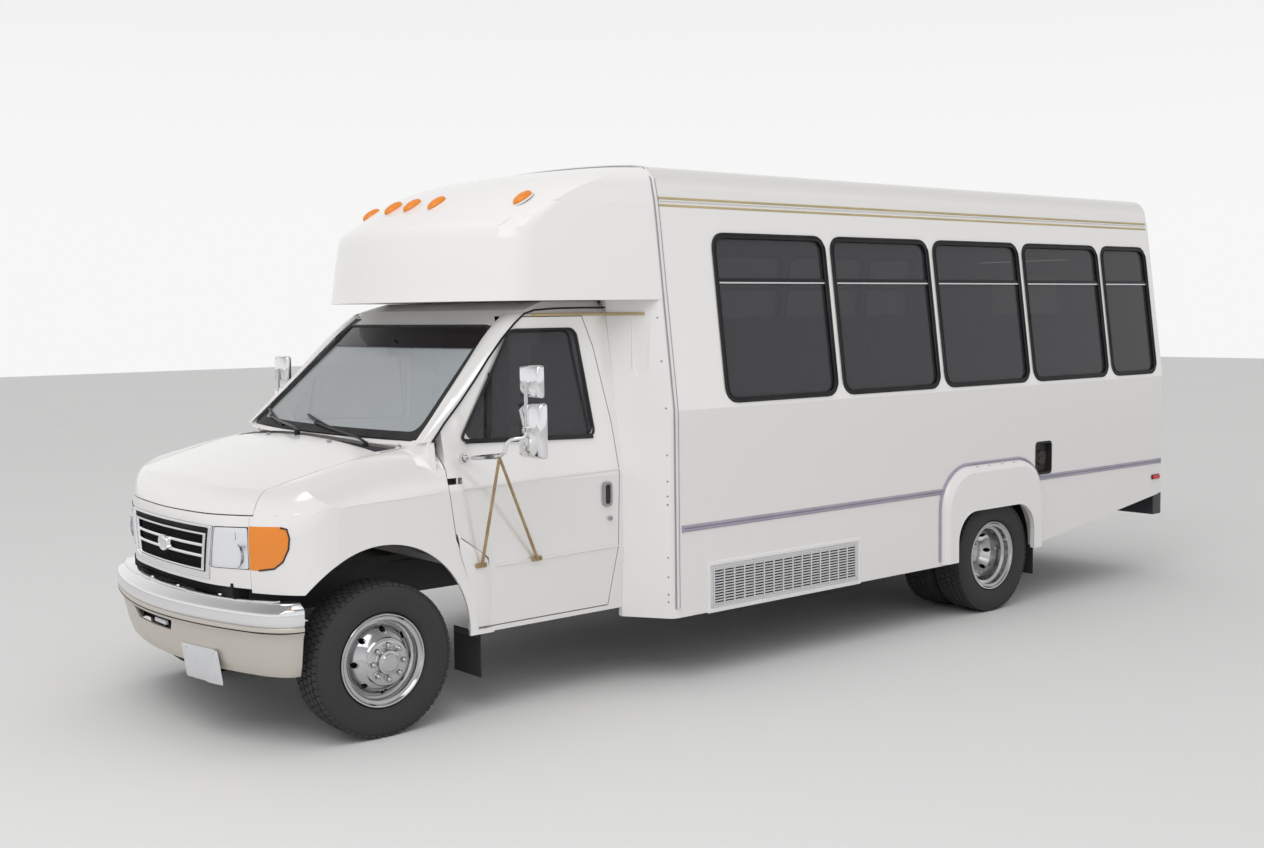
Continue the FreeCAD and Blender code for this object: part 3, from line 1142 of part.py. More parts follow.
# Marker lamps on the cap, tail lamps, flares, flaps and the condenser louvres
marker_lamps = []
for y in (-774, -226, 0, 226, 774):
    x = ahead(-812) - (1667 - sqrt(1667 ** 2 - y * y))
    pod = Part.makeSphere(62, Vec(x, y, 2562)).common(box(x - 90, x + 90, y - 44, y + 44, 2500, 2650))
    marker_lamps.append(biggest(pod.cut(cap_filled)))
feature("marker_lamps", Part.makeCompound(marker_lamps))
tail_lamps = []
for z in (820, 950, 1080):
    for side in (1, -1):
        tail_lamps.append(drum((s.rear_wall_back - 18, side * 1020, z), AX, 55, 18 - s.seat_gap))
keep(grouped(tail_lamps), "tail_lamps")


def arch_wire(half, top, corner, y, x):
    """A flat-topped arch outline with round shoulders, open below, as a closed wire."""
    bend = corner * (1 - sqrt(0.5))
    left, right = [(Vec(x - way * half, y, top - corner), Vec(x - way * (half - bend), y, top - bend),
                    Vec(x - way * (half - corner), y, top)) for way in (1, -1)]
    foot = [Vec(x - half, y, 0), Vec(x + half, y, 0)]
    return Part.Wire([Part.LineSegment(foot[0], left[0]).toShape(), Part.Arc(*left).toShape(),
                      Part.LineSegment(left[2], right[2]).toShape(), Part.Arc(*reversed(right)).toShape(),
                      Part.LineSegment(right[0], foot[1]).toShape(), Part.LineSegment(foot[1], foot[0]).toShape()])


def arch_solid(sections):
    return Part.makeLoft([arch_wire(*section) for section in sections], True, True)


flare_y = wall_y(800)
flare_x = s.rear_axle + 30
flare_out = arch_solid(((540, 995, 270, flare_y + s.seat_gap, flare_x), (528, 983, 262, flare_y + 30, flare_x),
                        (496, 950, 240, flare_y + 50, flare_x)))
flare_in = arch_solid(((415, 702, 190, flare_y - 5, flare_x), (415, 702, 190, flare_y + 60, flare_x)))
flare_back = arch_solid(((470, 860, 240, flare_y - 5, s.rear_axle), (470, 860, 240, flare_y + 14, s.rear_axle)))
rear_flare = biggest(flare_out.cut([flare_in, flare_back, box(-FAR, FAR, 900, FAR, -FAR, 385)]))
feature("rear_flares", Part.makeCompound(both_sides(rear_flare)))

flaps = side_blocks((s.rear_axle - 500, s.rear_axle - 492), (780, floor_y - s.seat_gap),
                    (180, s.floor_top - s.floor_thick - s.seat_gap))
flaps += side_blocks((s.front_axle - 560, s.front_axle - 554), (720, 960), (190, s.rocker_bottom - s.seat_gap))
keep(grouped(flaps), "mud_flaps")

# Condenser grille: a framed plate with columns of louvre slots
shut = s.seat_gap
plate = box(grille_x1 + shut, grille_x2 - shut, s.half_body - 20, s.half_body + 4, grille_z1 + shut, grille_z2 - shut)
border = 24
pitch_x = (grille_x2 - grille_x1 - 2 * border) / s.louvre_columns
pitch_z = (grille_z2 - grille_z1 - 2 * border) / s.louvre_rows
slots = []
for column_number in range(int(s.louvre_columns)):
    x = grille_x1 + border + column_number * pitch_x
    for row_number in range(int(s.louvre_rows)):
        z = grille_z1 + border + row_number * pitch_z
        slots.append(box(x + 6, x + pitch_x - 6, s.half_body - 30, s.half_body + 10, z + 3, z + pitch_z - 5))
feature("condenser_grille", plate.cut(Part.makeCompound(slots)))

# Cowl panel between the hood and the windshield, clear of the hood's hinge arms
cowl_half = 742
cowl_top = [Vec(ahead(-300), y, 1374 - 26 * (y / cowl_half) ** 2) for y in (-cowl_half, 0, cowl_half)]
cowl_low = [point - Vec(0, 0, 12) for point in cowl_top]
cowl_edge = ([Part.Arc(*cowl_top).toShape()] + thick_line([cowl_top[2], cowl_low[2]])
             + [Part.Arc(*reversed(cowl_low)).toShape()] + thick_line([cowl_low[0], cowl_top[0]]))
cowl = Part.Face(Part.Wire(cowl_edge)).extrude(Vec(180, 0, 0))
feature("cowl_panel", biggest(cowl.cut(bowed(screen_rows, cab_bow, 1))))

doc.recompute()
failed = []
for thing in doc.Objects:
    if {"Invalid", "Error"} & set(thing.State):
        failed.append(f"{thing.Name}: {thing.State}")
for thing in nodes:
    if thing.Shape.isNull() or not thing.Shape.isValid():
        failed.append(f"{thing.Label}: shape not valid")
if failed:
    raise SystemExit("\n".join(failed))
os.makedirs("parts", exist_ok=True)
for thing in nodes:
    thing.Shape.exportStep(f"parts/{thing.Label}.step")
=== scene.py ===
import json
from math import cos, pi, radians, sin, sqrt

import bpy
from bpy.props import FloatProperty, FloatVectorProperty, IntProperty, PointerProperty
from mathutils import Matrix, Vector

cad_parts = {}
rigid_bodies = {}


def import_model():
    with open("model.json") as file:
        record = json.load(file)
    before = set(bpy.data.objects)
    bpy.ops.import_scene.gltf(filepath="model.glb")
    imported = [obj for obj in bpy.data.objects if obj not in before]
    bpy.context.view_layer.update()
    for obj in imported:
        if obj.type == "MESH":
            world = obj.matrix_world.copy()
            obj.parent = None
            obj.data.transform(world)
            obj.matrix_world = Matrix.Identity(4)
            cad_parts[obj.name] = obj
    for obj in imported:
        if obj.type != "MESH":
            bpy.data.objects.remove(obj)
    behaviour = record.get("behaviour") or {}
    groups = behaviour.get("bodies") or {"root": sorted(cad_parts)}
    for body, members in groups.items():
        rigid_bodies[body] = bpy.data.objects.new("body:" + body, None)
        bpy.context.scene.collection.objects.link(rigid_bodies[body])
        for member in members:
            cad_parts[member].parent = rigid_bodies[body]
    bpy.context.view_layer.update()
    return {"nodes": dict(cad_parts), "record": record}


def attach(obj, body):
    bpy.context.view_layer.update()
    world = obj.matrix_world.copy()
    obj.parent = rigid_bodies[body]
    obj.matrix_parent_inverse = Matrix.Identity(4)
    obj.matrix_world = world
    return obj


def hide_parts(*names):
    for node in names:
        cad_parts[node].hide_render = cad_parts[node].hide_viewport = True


bl_info = {
    "name": "Shuttle minibus",
    "version": (1, 0, 0),
    "blender": (4, 5, 0),
    "location": "View3D > Sidebar > Minibus",
    "description": "Dresses a shuttle minibus with its finishes and modelled details",
    "category": "Object",
}

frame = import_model()
front_axle = 2.955
rear_axle = -1.515
axle_height = 0.372


# Properties


def colour(name, description, default):
    return FloatVectorProperty(name=name, description=description, default=default, subtype="COLOR", size=3, min=0, max=1)


def length(name, description, default):
    return FloatProperty(name=name, description=description, default=default, subtype="DISTANCE", unit="LENGTH", min=0)


def share(name, description, default):
    return FloatProperty(name=name, description=description, default=default, subtype="FACTOR", min=0, max=1)


class MINIBUS_PG_finishes(bpy.types.PropertyGroup):
    body: colour("Body white", "Paint of the cab and the passenger body", (0.80, 0.79, 0.785))
    cap: colour("Cap white", "Moulded cap and flares", (0.79, 0.775, 0.77))
    dust: colour("Dust", "Road dust low on the body", (0.46, 0.36, 0.25))
    dust_amount: share("Dust amount", "How much road dust lies low on the body", 0.35)
    silver: colour("Silver paint", "Lower part of the front bumper", (0.40, 0.345, 0.275))
    chrome: colour("Chrome", "Bumper, wheels, grille and mirrors", (0.56, 0.565, 0.58))
    window_tint: colour("Window tint", "Side windows of the passenger body", (0.006, 0.006, 0.009))
    # The windshield's blue is partly its glass tint and partly a painted reflection of the sky.
    screen_tint_and_sky: colour("Screen tint", "Windshield", (0.36, 0.48, 0.66))
    amber: colour("Amber", "Corner and marker lamps", (0.72, 0.075, 0.005))
    red: colour("Red", "Tail lamps and side markers", (0.55, 0.012, 0.012))
    fabric: colour("Seat cloth", "Seats", (0.085, 0.11, 0.19))
    brass: colour("Brace", "Aged braces of the mirrors", (0.50, 0.36, 0.20))


class MINIBUS_PG_stage(bpy.types.PropertyGroup):
    floor: colour("Floor", "Studio floor", (0.76, 0.755, 0.75))
    sky_high: FloatProperty(name="Upper light", description="Light from above", default=0.84, min=0)
    sky_low: FloatProperty(name="Side light", description="Light from the horizon", default=0.40, min=0)
    key: FloatProperty(name="Key light", description="Power of the large soft lamp", default=340, min=0, unit="POWER")


def finishes():
    return bpy.context.scene.minibus_finishes


# Shader nodes


def put(tree, kind, inputs=None, **settings):
    """Add a shader node; inputs are values or sockets by name or number."""
    made = tree.nodes.new("ShaderNode" + kind)
    for name, value in settings.items():
        setattr(made, name, value)
    for key, value in (inputs or {}).items():
        if isinstance(value, bpy.types.NodeSocket):
            tree.links.new(value, made.inputs[key])
        else:
            made.inputs[key].default_value = value
    return made


def maths(tree, way, a, b=0.5, clamp=False):
    return put(tree, "Math", {0: a, 1: b}, operation=way, use_clamp=clamp).outputs[0]


def mixed(tree, factor, a, b):
    """Colour a turning to colour b."""
    made = put(tree, "Mix", {0: factor, 6: a, 7: b}, data_type="RGBA")
    return made.outputs[2]


def ranged(tree, value, low, high, to_low=0.0, to_high=1.0):
    inputs = {"Value": value, "From Min": low, "From Max": high, "To Min": to_low, "To Max": to_high}
    return put(tree, "MapRange", inputs).outputs[0]


def group(name, inputs, outputs):
    """A new node group with its sockets; gives its tree, its input node and its output node."""
    tree = bpy.data.node_groups.new(name, "ShaderNodeTree")
    for label, default in inputs:
        kind = "NodeSocketColor" if isinstance(default, tuple) else "NodeSocketFloat"
        tree.interface.new_socket(label, in_out="INPUT", socket_type=kind).default_value = default
    for label, kind in outputs:
        tree.interface.new_socket(label, in_out="OUTPUT", socket_type=kind)
    return tree, tree.nodes.new("NodeGroupInput"), tree.nodes.new("NodeGroupOutput")


def object_place(tree, scale=(1, 1, 1)):
    where = put(tree, "TexCoord").outputs["Object"]
    return put(tree, "Mapping", {"Vector": where, "Scale": scale}).outputs[0]


def make_dust_group():
    """Dust that lies low on the vehicle, in patches and specks."""
    tree, given, result = group("Road dust", [("Reach", 1.1), ("Amount", 0.4)], [("Mask", "NodeSocketFloat")])
    where = put(tree, "TexCoord").outputs["Object"]
    height = put(tree, "SeparateXYZ", {0: where}).outputs[2]
    rise = put(tree, "MapRange", {"Value": height, "From Min": 0.25, "From Max": given.outputs["Reach"],
                                  "To Min": 1.0, "To Max": 0.0}, interpolation_type="SMOOTHSTEP").outputs[0]
    patches = put(tree, "TexNoise", {"Vector": object_place(tree, (1.5, 1.5, 0.7)), "Scale": 2.6, "Detail": 6.0}).outputs[0]
    specks = put(tree, "TexNoise", {"Vector": where, "Scale": 55.0, "Detail": 3.0}).outputs[0]
    broken = maths(tree, "MULTIPLY", ranged(tree, patches, 0.35, 0.7), ranged(tree, specks, 0.2, 0.75, 0.6, 1.0))
    mask = maths(tree, "MULTIPLY", maths(tree, "MULTIPLY", rise, broken), given.outputs["Amount"], True)
    tree.links.new(mask, result.inputs[0])
    return tree


def make_grain_group():
    """Fine uneven surface: a height for bump and a slow variation."""
    outputs = [("Height", "NodeSocketFloat"), ("Variation", "NodeSocketFloat")]
    tree, given, result = group("Fine grain", [("Grain", 300.0), ("Spread", 2.0)], outputs)
    where = put(tree, "TexCoord").outputs["Object"]
    fine = put(tree, "TexNoise", {"Vector": where, "Scale": given.outputs["Grain"], "Detail": 2.0}).outputs[0]
    slow = put(tree, "TexNoise", {"Vector": where, "Scale": given.outputs["Spread"], "Detail": 5.0}).outputs[0]
    tree.links.new(fine, result.inputs[0])
    tree.links.new(slow, result.inputs[1])
    return tree


def make_scuff_group():
    """Sparse fine scratches as a mask."""
    tree, given, result = group("Scuffs", [("Density", 0.5)], [("Mask", "NodeSocketFloat")])
    lines = []
    for scale in ((3.0, 60.0, 9.0), (55.0, 4.0, 14.0)):
        noise = put(tree, "TexNoise", {"Vector": object_place(tree, scale), "Scale": 3.0, "Detail": 4.0}).outputs[0]
        lines.append(ranged(tree, noise, 0.66, 0.72))
    both = maths(tree, "MULTIPLY", maths(tree, "MAXIMUM", lines[0], lines[1]), given.outputs["Density"], True)
    tree.links.new(both, result.inputs[0])
    return tree


def use(tree, name, **inputs):
    """Place a shared group in a material."""
    made = tree.nodes.new("ShaderNodeGroup")
    made.node_tree = bpy.data.node_groups[name]
    for label, value in inputs.items():
        if isinstance(value, bpy.types.NodeSocket):
            tree.links.new(value, made.inputs[label])
        else:
            made.inputs[label].default_value = value
    return made


def new_finish(name, **sockets):
    """A material whose Principled BSDF holds the plain values."""
    made = bpy.data.materials.new(name)
    made.use_nodes = True
    shader = made.node_tree.nodes["Principled BSDF"]
    for label, value in sockets.items():
        shader.inputs[label.replace("_", " ")].default_value = value
    return made.node_tree, shader


def surface(name, tint, rough=(0.3, 0.45), shade=0.88, grain=300.0, spread=2.0, bump=0.1, depth=0.0005, dust=0.0,
            reach=1.1, scuffs=0.0, wear=None, **sockets):
    """Opaque finish with slow colour change, uneven gloss, fine bump and dust."""
    tree, shader = new_finish(name, **sockets)
    tint = tuple(tint) + (1.0,)
    darker = tuple(part * shade for part in tint[:3]) + (1.0,)
    texture = use(tree, "Fine grain", Grain=grain, Spread=spread)
    vary = ranged(tree, texture.outputs["Variation"], 0.32, 0.68)
    base = mixed(tree, vary, tint, darker)
    gloss = ranged(tree, texture.outputs["Variation"], 0.3, 0.7, rough[0], rough[1])
    if scuffs:
        marks = use(tree, "Scuffs", Density=scuffs).outputs[0]
        base = mixed(tree, marks, base, (wear or darker[:3]) + (1.0,))
        gloss = maths(tree, "ADD", gloss, maths(tree, "MULTIPLY", marks, 0.25), True)
    if dust:
        mask = use(tree, "Road dust", Reach=reach, Amount=dust).outputs[0]
        base = mixed(tree, mask, base, tuple(finishes().dust) + (1.0,))
        gloss = maths(tree, "ADD", gloss, maths(tree, "MULTIPLY", mask, 0.4), True)
    tree.links.new(base, shader.inputs["Base Color"])
    tree.links.new(gloss, shader.inputs["Roughness"])
    lift = put(tree, "Bump", {"Strength": bump, "Distance": depth, "Height": texture.outputs["Height"]})
    tree.links.new(lift.outputs[0], shader.inputs["Normal"])


def make_finishes():
    """All materials, by the record's slot names and a few more."""
    make_dust_group()
    make_grain_group()
    make_scuff_group()
    f = finishes()
    dust = f.dust_amount
    surface("body_white", f.body, (0.30, 0.42), 0.965, 9.0, 0.8, 0.03, 0.002, dust, 1.15, Coat_Weight=0.4, Coat_Roughness=0.28)
    surface("cap_white", f.cap, (0.30, 0.44), 0.96, 14.0, 0.9, 0.05, 0.002, dust * 0.6, 1.1, Coat_Weight=0.3,
            Coat_Roughness=0.3)
    surface("silver_paint", f.silver, (0.28, 0.42), 0.86, 900.0, 3.0, 0.05, 0.0003, 0.25, 0.75, 0.25, Metallic=0.55,
            Coat_Weight=0.4, Coat_Roughness=0.1)
    surface("chrome", f.chrome, (0.045, 0.13), 0.93, 40.0, 3.5, 0.02, 0.001, 0.12, 0.6, 0.12, Metallic=1.0)
    surface("wheel_chrome", f.chrome, (0.07, 0.17), 0.88, 30.0, 9.0, 0.04, 0.001, 0.22, 0.75, 0.2, Metallic=1.0)
    surface("bright_alloy", (0.60, 0.60, 0.61), (0.28, 0.42), 0.85, 160.0, 6.0, 0.08, 0.0005, 0.25, 0.9, 0.3, Metallic=0.85)
    surface("aged_brace", f.brass, (0.35, 0.55), 0.7, 90.0, 14.0, 0.15, 0.0006, scuffs=0.5, wear=(0.62, 0.55, 0.46),
            Metallic=0.6)
    surface("black_frame", (0.018, 0.018, 0.02), (0.34, 0.5), 0.7, 500.0, 6.0, 0.08, scuffs=0.15, wear=(0.06, 0.06, 0.065))
    surface("seal_rubber", (0.016, 0.015, 0.016), (0.55, 0.75), 0.7, 420.0, 7.0, 0.15, dust=0.25, reach=1.4)
    surface("dark_plastic", (0.045, 0.036, 0.042), (0.5, 0.7), 0.75, 700.0, 5.0, 0.2, dust=0.1, reach=1.2)
    surface("trim_plastic", (0.21, 0.195, 0.18), (0.5, 0.68), 0.85, 900.0, 4.0, 0.25)
    surface("rubber_flap", (0.022, 0.021, 0.021), (0.6, 0.8), 0.7, 260.0, 5.0, 0.2, dust=0.5, reach=0.8)
    surface("chassis_steel", (0.032, 0.031, 0.031), (0.42, 0.65), 0.6, 220.0, 5.0, 0.2, dust=0.55, reach=0.9,
            scuffs=0.3, wear=(0.12, 0.075, 0.05))
    surface("cast_metal", (0.13, 0.12, 0.11), (0.5, 0.7), 0.65, 190.0, 7.0, 0.4, 0.001, 0.3, 0.7, 0.4, (0.16, 0.09, 0.05),
            Metallic=0.7)
    surface("floor_covering", (0.11, 0.11, 0.12), (0.55, 0.72), 0.8, 260.0, 3.0, 0.3)
    # dark_void is near-black: painted shade in the grille's gap and openings, in the valance slot and under the grille
    # panel, and the own black of the grille cells, the condenser core and the bumper seam.
    surface("dark_void", (0.006, 0.006, 0.007), (0.7, 0.9), 0.6, 60.0, 3.0, 0.05)
    surface("blank_plate", (0.72, 0.73, 0.75), (0.32, 0.45), 0.93, 60.0, 5.0, 0.06, scuffs=0.2, wear=(0.5, 0.5, 0.52))
    # moulding_grey is the own grey of the screws, handle bezels and washer jets, and painted shade on the rub rails and
    # in the thin lines beside the seam moulding.
    surface("moulding_grey", (0.36, 0.35, 0.38), (0.35, 0.5), 0.85, 400.0, 6.0, 0.1, scuffs=0.3, wear=(0.5, 0.5, 0.52))
    surface("gutter_caulk", (0.62, 0.50, 0.27), (0.5, 0.65), 0.8, 90.0, 6.0, 0.2, 0.001)
    # This lilac is painted shade: it stands for the shading on the white rub rail's edges and on the lip round the rear
    # flares.
    surface("rail_lilac", (0.42, 0.39, 0.50), (0.3, 0.45), 0.88, 300.0, 6.0, 0.08, scuffs=0.2, wear=(0.55, 0.52, 0.58))
    surface("seam_bright", (0.82, 0.81, 0.80), (0.18, 0.3), 0.93, 200.0, 4.0, 0.05, Coat_Weight=0.3, Coat_Roughness=0.1)
    surface("reflector", (0.44, 0.43, 0.50), (0.08, 0.2), 0.9, 60.0, 20.0, 0.1, 0.001, Metallic=1.0)
    make_tyre_rubber()
    make_seat_cloth()
    make_glass("tinted_glass", f.window_tint, 0.30, 0.04, 0.02, 0.22)
    # The windshield's blue tint is partly a painted reflection of the sky.
    make_glass("clear_glass", f.screen_tint_and_sky, 0.90, 0.02, 0.04, 0.4)
    make_glass("shade_band", (0.030, 0.022, 0.028), 0.75, 0.05, 0.02, 0.3)
    make_lens("lamp_clear", (0.40, 0.38, 0.46), 0.34)
    make_lens("lamp_amber", f.amber, 0.90)
    make_lens("lamp_red", f.red, 0.92)


def make_tyre_rubber():
    tree, shader = new_finish("tyre", Specular_IOR_Level=0.35)
    texture = use(tree, "Fine grain", Grain=420.0, Spread=9.0)
    vary = ranged(tree, texture.outputs["Variation"], 0.35, 0.7)
    base = mixed(tree, vary, (0.022, 0.021, 0.021, 1), (0.042, 0.037, 0.033, 1))
    mask = use(tree, "Road dust", Reach=0.95, Amount=0.45).outputs[0]
    base = mixed(tree, mask, base, (0.12, 0.095, 0.07, 1))
    tree.links.new(base, shader.inputs["Base Color"])
    tree.links.new(ranged(tree, texture.outputs["Variation"], 0.3, 0.7, 0.62, 0.85), shader.inputs["Roughness"])
    lift = put(tree, "Bump", {"Strength": 0.25, "Distance": 0.0006, "Height": texture.outputs["Height"]})
    tree.links.new(lift.outputs[0], shader.inputs["Normal"])


def make_seat_cloth():
    """Woven cloth: two crossing sets of threads with a soft fleck."""
    tree, shader = new_finish("seat_fabric", Sheen_Weight=0.35, Sheen_Roughness=0.5)
    threads = []
    for axis in ("X", "Y", "Z"):
        wave = put(tree, "TexWave", {"Vector": object_place(tree), "Scale": 330.0, "Distortion": 0.6}, bands_direction=axis)
        threads.append(wave.outputs["Fac"])
    weave = maths(tree, "MULTIPLY", maths(tree, "ADD", threads[0], threads[1]), maths(tree, "ADD", threads[2], 0.5))
    texture = use(tree, "Fine grain", Grain=160.0, Spread=5.0)
    tint = tuple(finishes().fabric)
    base = mixed(tree, ranged(tree, texture.outputs["Height"], 0.45, 0.6), tint + (1.0,),
                 tuple(part * 1.9 for part in tint) + (1.0,))
    base = mixed(tree, ranged(tree, texture.outputs["Variation"], 0.4, 0.75, 0.0, 0.5), base, (0.03, 0.035, 0.06, 1))
    tree.links.new(base, shader.inputs["Base Color"])
    tree.links.new(ranged(tree, texture.outputs["Variation"], 0.3, 0.7, 0.75, 0.95), shader.inputs["Roughness"])
    lift = put(tree, "Bump", {"Strength": 0.4, "Distance": 0.001, "Height": weave})
    tree.links.new(lift.outputs[0], shader.inputs["Normal"])


def make_glass(name, tint, through, rough, dusty, gleam):
    """Glass with a thin film of dust; its transmission is plain."""
    tree, shader = new_finish(name, Transmission_Weight=through, IOR=1.25, Specular_IOR_Level=gleam)
    texture = use(tree, "Fine grain", Grain=80.0, Spread=1.6)
    film = ranged(tree, texture.outputs["Variation"], 0.45, 0.8, 0.0, dusty)
    base = mixed(tree, film, tuple(tint) + (1.0,), (0.30, 0.28, 0.25, 1))
    tree.links.new(base, shader.inputs["Base Color"])
    tree.links.new(ranged(tree, texture.outputs["Variation"], 0.35, 0.75, rough, rough + 0.07), shader.inputs["Roughness"])


def make_lens(name, tint, solid):
    """Moulded lamp lens, clear in part, with fine ribs in its bump."""
    tree, shader = new_finish(name, Coat_Weight=0.7, Coat_Roughness=0.04, Specular_IOR_Level=0.6)
    texture = use(tree, "Fine grain", Grain=120.0, Spread=14.0)
    tint = tuple(tint)
    base = mixed(tree, ranged(tree, texture.outputs["Variation"], 0.3, 0.8), tint + (1.0,),
                 tuple(part * 0.8 for part in tint) + (1.0,))
    tree.links.new(base, shader.inputs["Base Color"])
    tree.links.new(ranged(tree, texture.outputs["Variation"], 0.3, 0.8, 0.08, 0.2), shader.inputs["Roughness"])
    tree.links.new(ranged(tree, texture.outputs["Variation"], 0.3, 0.8, solid, solid + 0.06), shader.inputs["Alpha"])
    ribs = put(tree, "TexWave", {"Vector": object_place(tree), "Scale": 26.0, "Distortion": 0.0}, bands_direction="Z",
               wave_profile="SIN").outputs["Fac"]
    cross = put(tree, "TexWave", {"Vector": object_place(tree), "Scale": 26.0, "Distortion": 0.0},
                bands_direction="DIAGONAL", wave_profile="SIN").outputs["Fac"]
    lift = put(tree, "Bump", {"Strength": 0.35, "Distance": 0.002, "Height": maths(tree, "MULTIPLY", ribs, cross)})
    tree.links.new(lift.outputs[0], shader.inputs["Normal"])


def coat(piece, name):
    """Give a piece one finish."""
    piece.data.materials.clear()
    piece.data.materials.append(bpy.data.materials[name])


# Modelling helpers


def deselect():
    if bpy.context.object and bpy.context.object.mode != "OBJECT":
        bpy.ops.object.mode_set(mode="OBJECT")
    bpy.ops.object.select_all(action="DESELECT")


def only(piece):
    deselect()
    piece.select_set(True)
    bpy.context.view_layer.objects.active = piece


def edit(piece):
    only(piece)
    bpy.ops.object.mode_set(mode="EDIT")
    bpy.ops.mesh.select_mode(type="VERT")
    bpy.ops.mesh.select_all(action="SELECT")


def done():
    bpy.ops.object.mode_set(mode="OBJECT")


def settle(piece, name):
    """Put the piece's place into its mesh and name it."""
    only(piece)
    bpy.ops.object.transform_apply(location=True, rotation=True, scale=True)
    piece.name = name
    piece.data.name = name
    return piece


def modifier(piece, kind, **settings):
    """Add a modifier and apply it."""
    only(piece)
    made = piece.modifiers.new(kind.title(), kind)
    for label, value in settings.items():
        setattr(made, label, value)
    bpy.ops.object.modifier_apply(modifier=made.name)


def soft_edges(piece, width=0.002, segments=2, angle=35):
    modifier(piece, "BEVEL", width=width, segments=segments, limit_method="ANGLE", angle_limit=radians(angle))


def smooth(piece, angle=35):
    only(piece)
    bpy.ops.object.shade_smooth_by_angle(angle=radians(angle))


def chosen(piece, test, kind="FACE"):
    """In edit mode, select the faces, edges or vertices whose middle and normal pass a test."""
    bpy.ops.mesh.select_all(action="DESELECT")
    bpy.ops.mesh.select_mode(type=kind)
    done()
    mesh = piece.data
    if kind == "FACE":
        for face in mesh.polygons:
            face.select = test(face.center, face.normal)
    elif kind == "EDGE":
        for edge in mesh.edges:
            a, b = (mesh.vertices[index].co for index in edge.vertices)
            edge.select = test((a + b) / 2, (b - a).normalized())
    else:
        for vertex in mesh.vertices:
            vertex.select = test(vertex.co, vertex.normal)
    bpy.ops.object.mode_set(mode="EDIT")


def box(name, low, high, bevel=0.003, segments=2):
    """A cuboid between two corners with softened edges."""
    deselect()
    middle = [(a + b) / 2 for a, b in zip(low, high)]
    bpy.ops.mesh.primitive_cube_add(size=1, location=middle)
    piece = bpy.context.object
    piece.scale = [abs(b - a) for a, b in zip(low, high)]
    settle(piece, name)
    if bevel:
        soft_edges(piece, bevel, segments)
    return piece


def drum(name, start, end, radius, sides=32, bevel=0.002, top=None):
    """A cylinder or cone frustum between two points with softened rims."""
    deselect()
    start, end = Vector(start), Vector(end)
    way = end - start
    bpy.ops.mesh.primitive_cone_add(vertices=sides, radius1=radius, radius2=radius if top is None else top,
                                    depth=way.length, location=(start + end) / 2,
                                    rotation=way.to_track_quat("Z", "Y").to_euler())
    piece = settle(bpy.context.object, name)
    if bevel:
        soft_edges(piece, bevel, 2)
    return piece


def drawn(name, points, closed=True):
    """A line drawn from one point by extruding it along, closed into a face on request."""
    deselect()
    points = [Vector(p) for p in points]
    bpy.ops.mesh.primitive_plane_add(size=0.01, location=points[0])
    piece = settle(bpy.context.object, name)
    edit(piece)
    bpy.ops.mesh.merge(type="CENTER")
    for a, b in zip(points, points[1:]):
        bpy.ops.mesh.extrude_vertices_move(TRANSFORM_OT_translate={"value": b - a})
    bpy.ops.mesh.select_all(action="SELECT")
    if closed:
        bpy.ops.mesh.edge_face_add()
    return piece


def pushed(piece, way):
    """Extrude all that is selected, and turn the closed shape's faces outwards."""
    bpy.ops.mesh.extrude_region_move(TRANSFORM_OT_translate={"value": Vector(way)})
    bpy.ops.mesh.select_all(action="SELECT")
    bpy.ops.mesh.normals_make_consistent(inside=False)
    done()
    return piece


def spun(name, points, centre, axis, steps=96, closed=True):
    """An outline turned full circle about an axis."""
    piece = drawn(name, points, False)
    if closed:
        bpy.ops.mesh.edge_face_add()
        bpy.ops.mesh.delete(type="ONLY_FACE")
        bpy.ops.mesh.select_all(action="SELECT")
    bpy.ops.mesh.spin(steps=steps, angle=2 * pi, center=centre, axis=axis)
    bpy.ops.mesh.select_all(action="SELECT")
    bpy.ops.mesh.remove_doubles(threshold=0.00002)
    bpy.ops.mesh.normals_make_consistent(inside=False)
    done()
    return piece


def bar(name, points, radius, sides=12):
    """A round bar bent through the points, made from a curve."""
    points = [Vector(point) for point in points]
    while len(points) < 5:
        points = [point for a, b in zip(points, points[1:]) for point in (a, (a + b) / 2)] + points[-1:]
    deselect()
    bpy.ops.curve.primitive_nurbs_path_add()
    line = bpy.context.object
    spline = line.data.splines[0]
    spline.points.add(max(0, len(points) - len(spline.points)))
    for point, place in zip(spline.points, points):
        point.co = (*place, 1)
    line.data.dimensions = "3D"
    line.data.bevel_depth = radius
    line.data.bevel_resolution = sides // 4
    line.data.use_fill_caps = True
    spline.use_endpoint_u = True
    spline.order_u = 3
    bpy.ops.object.convert(target="MESH")
    piece = settle(bpy.context.object, name)
    edit(piece)
    bpy.ops.mesh.remove_doubles(threshold=0.00001)
    done()
    smooth(piece, 50)
    return piece


def joined(pieces, name):
    deselect()
    for piece in pieces:
        piece.select_set(True)
    bpy.context.view_layer.objects.active = pieces[0]
    bpy.ops.object.join()
    return settle(bpy.context.object, name)


def copied(piece, name, move=(0, 0, 0), turn=None):
    """A copy with its own mesh, moved or turned in its mesh."""
    only(piece)
    bpy.ops.object.duplicate()
    twin = bpy.context.object
    if turn is not None:
        twin.matrix_world = turn
    else:
        twin.location = move
    return settle(twin, name)


def mirrored(piece, name):
    """A copy on the other side of the vehicle."""
    only(piece)
    bpy.ops.object.duplicate()
    twin = bpy.context.object
    twin.scale.y = -1
    settle(twin, name)
    edit(twin)
    bpy.ops.mesh.normals_make_consistent(inside=False)
    done()
    return twin


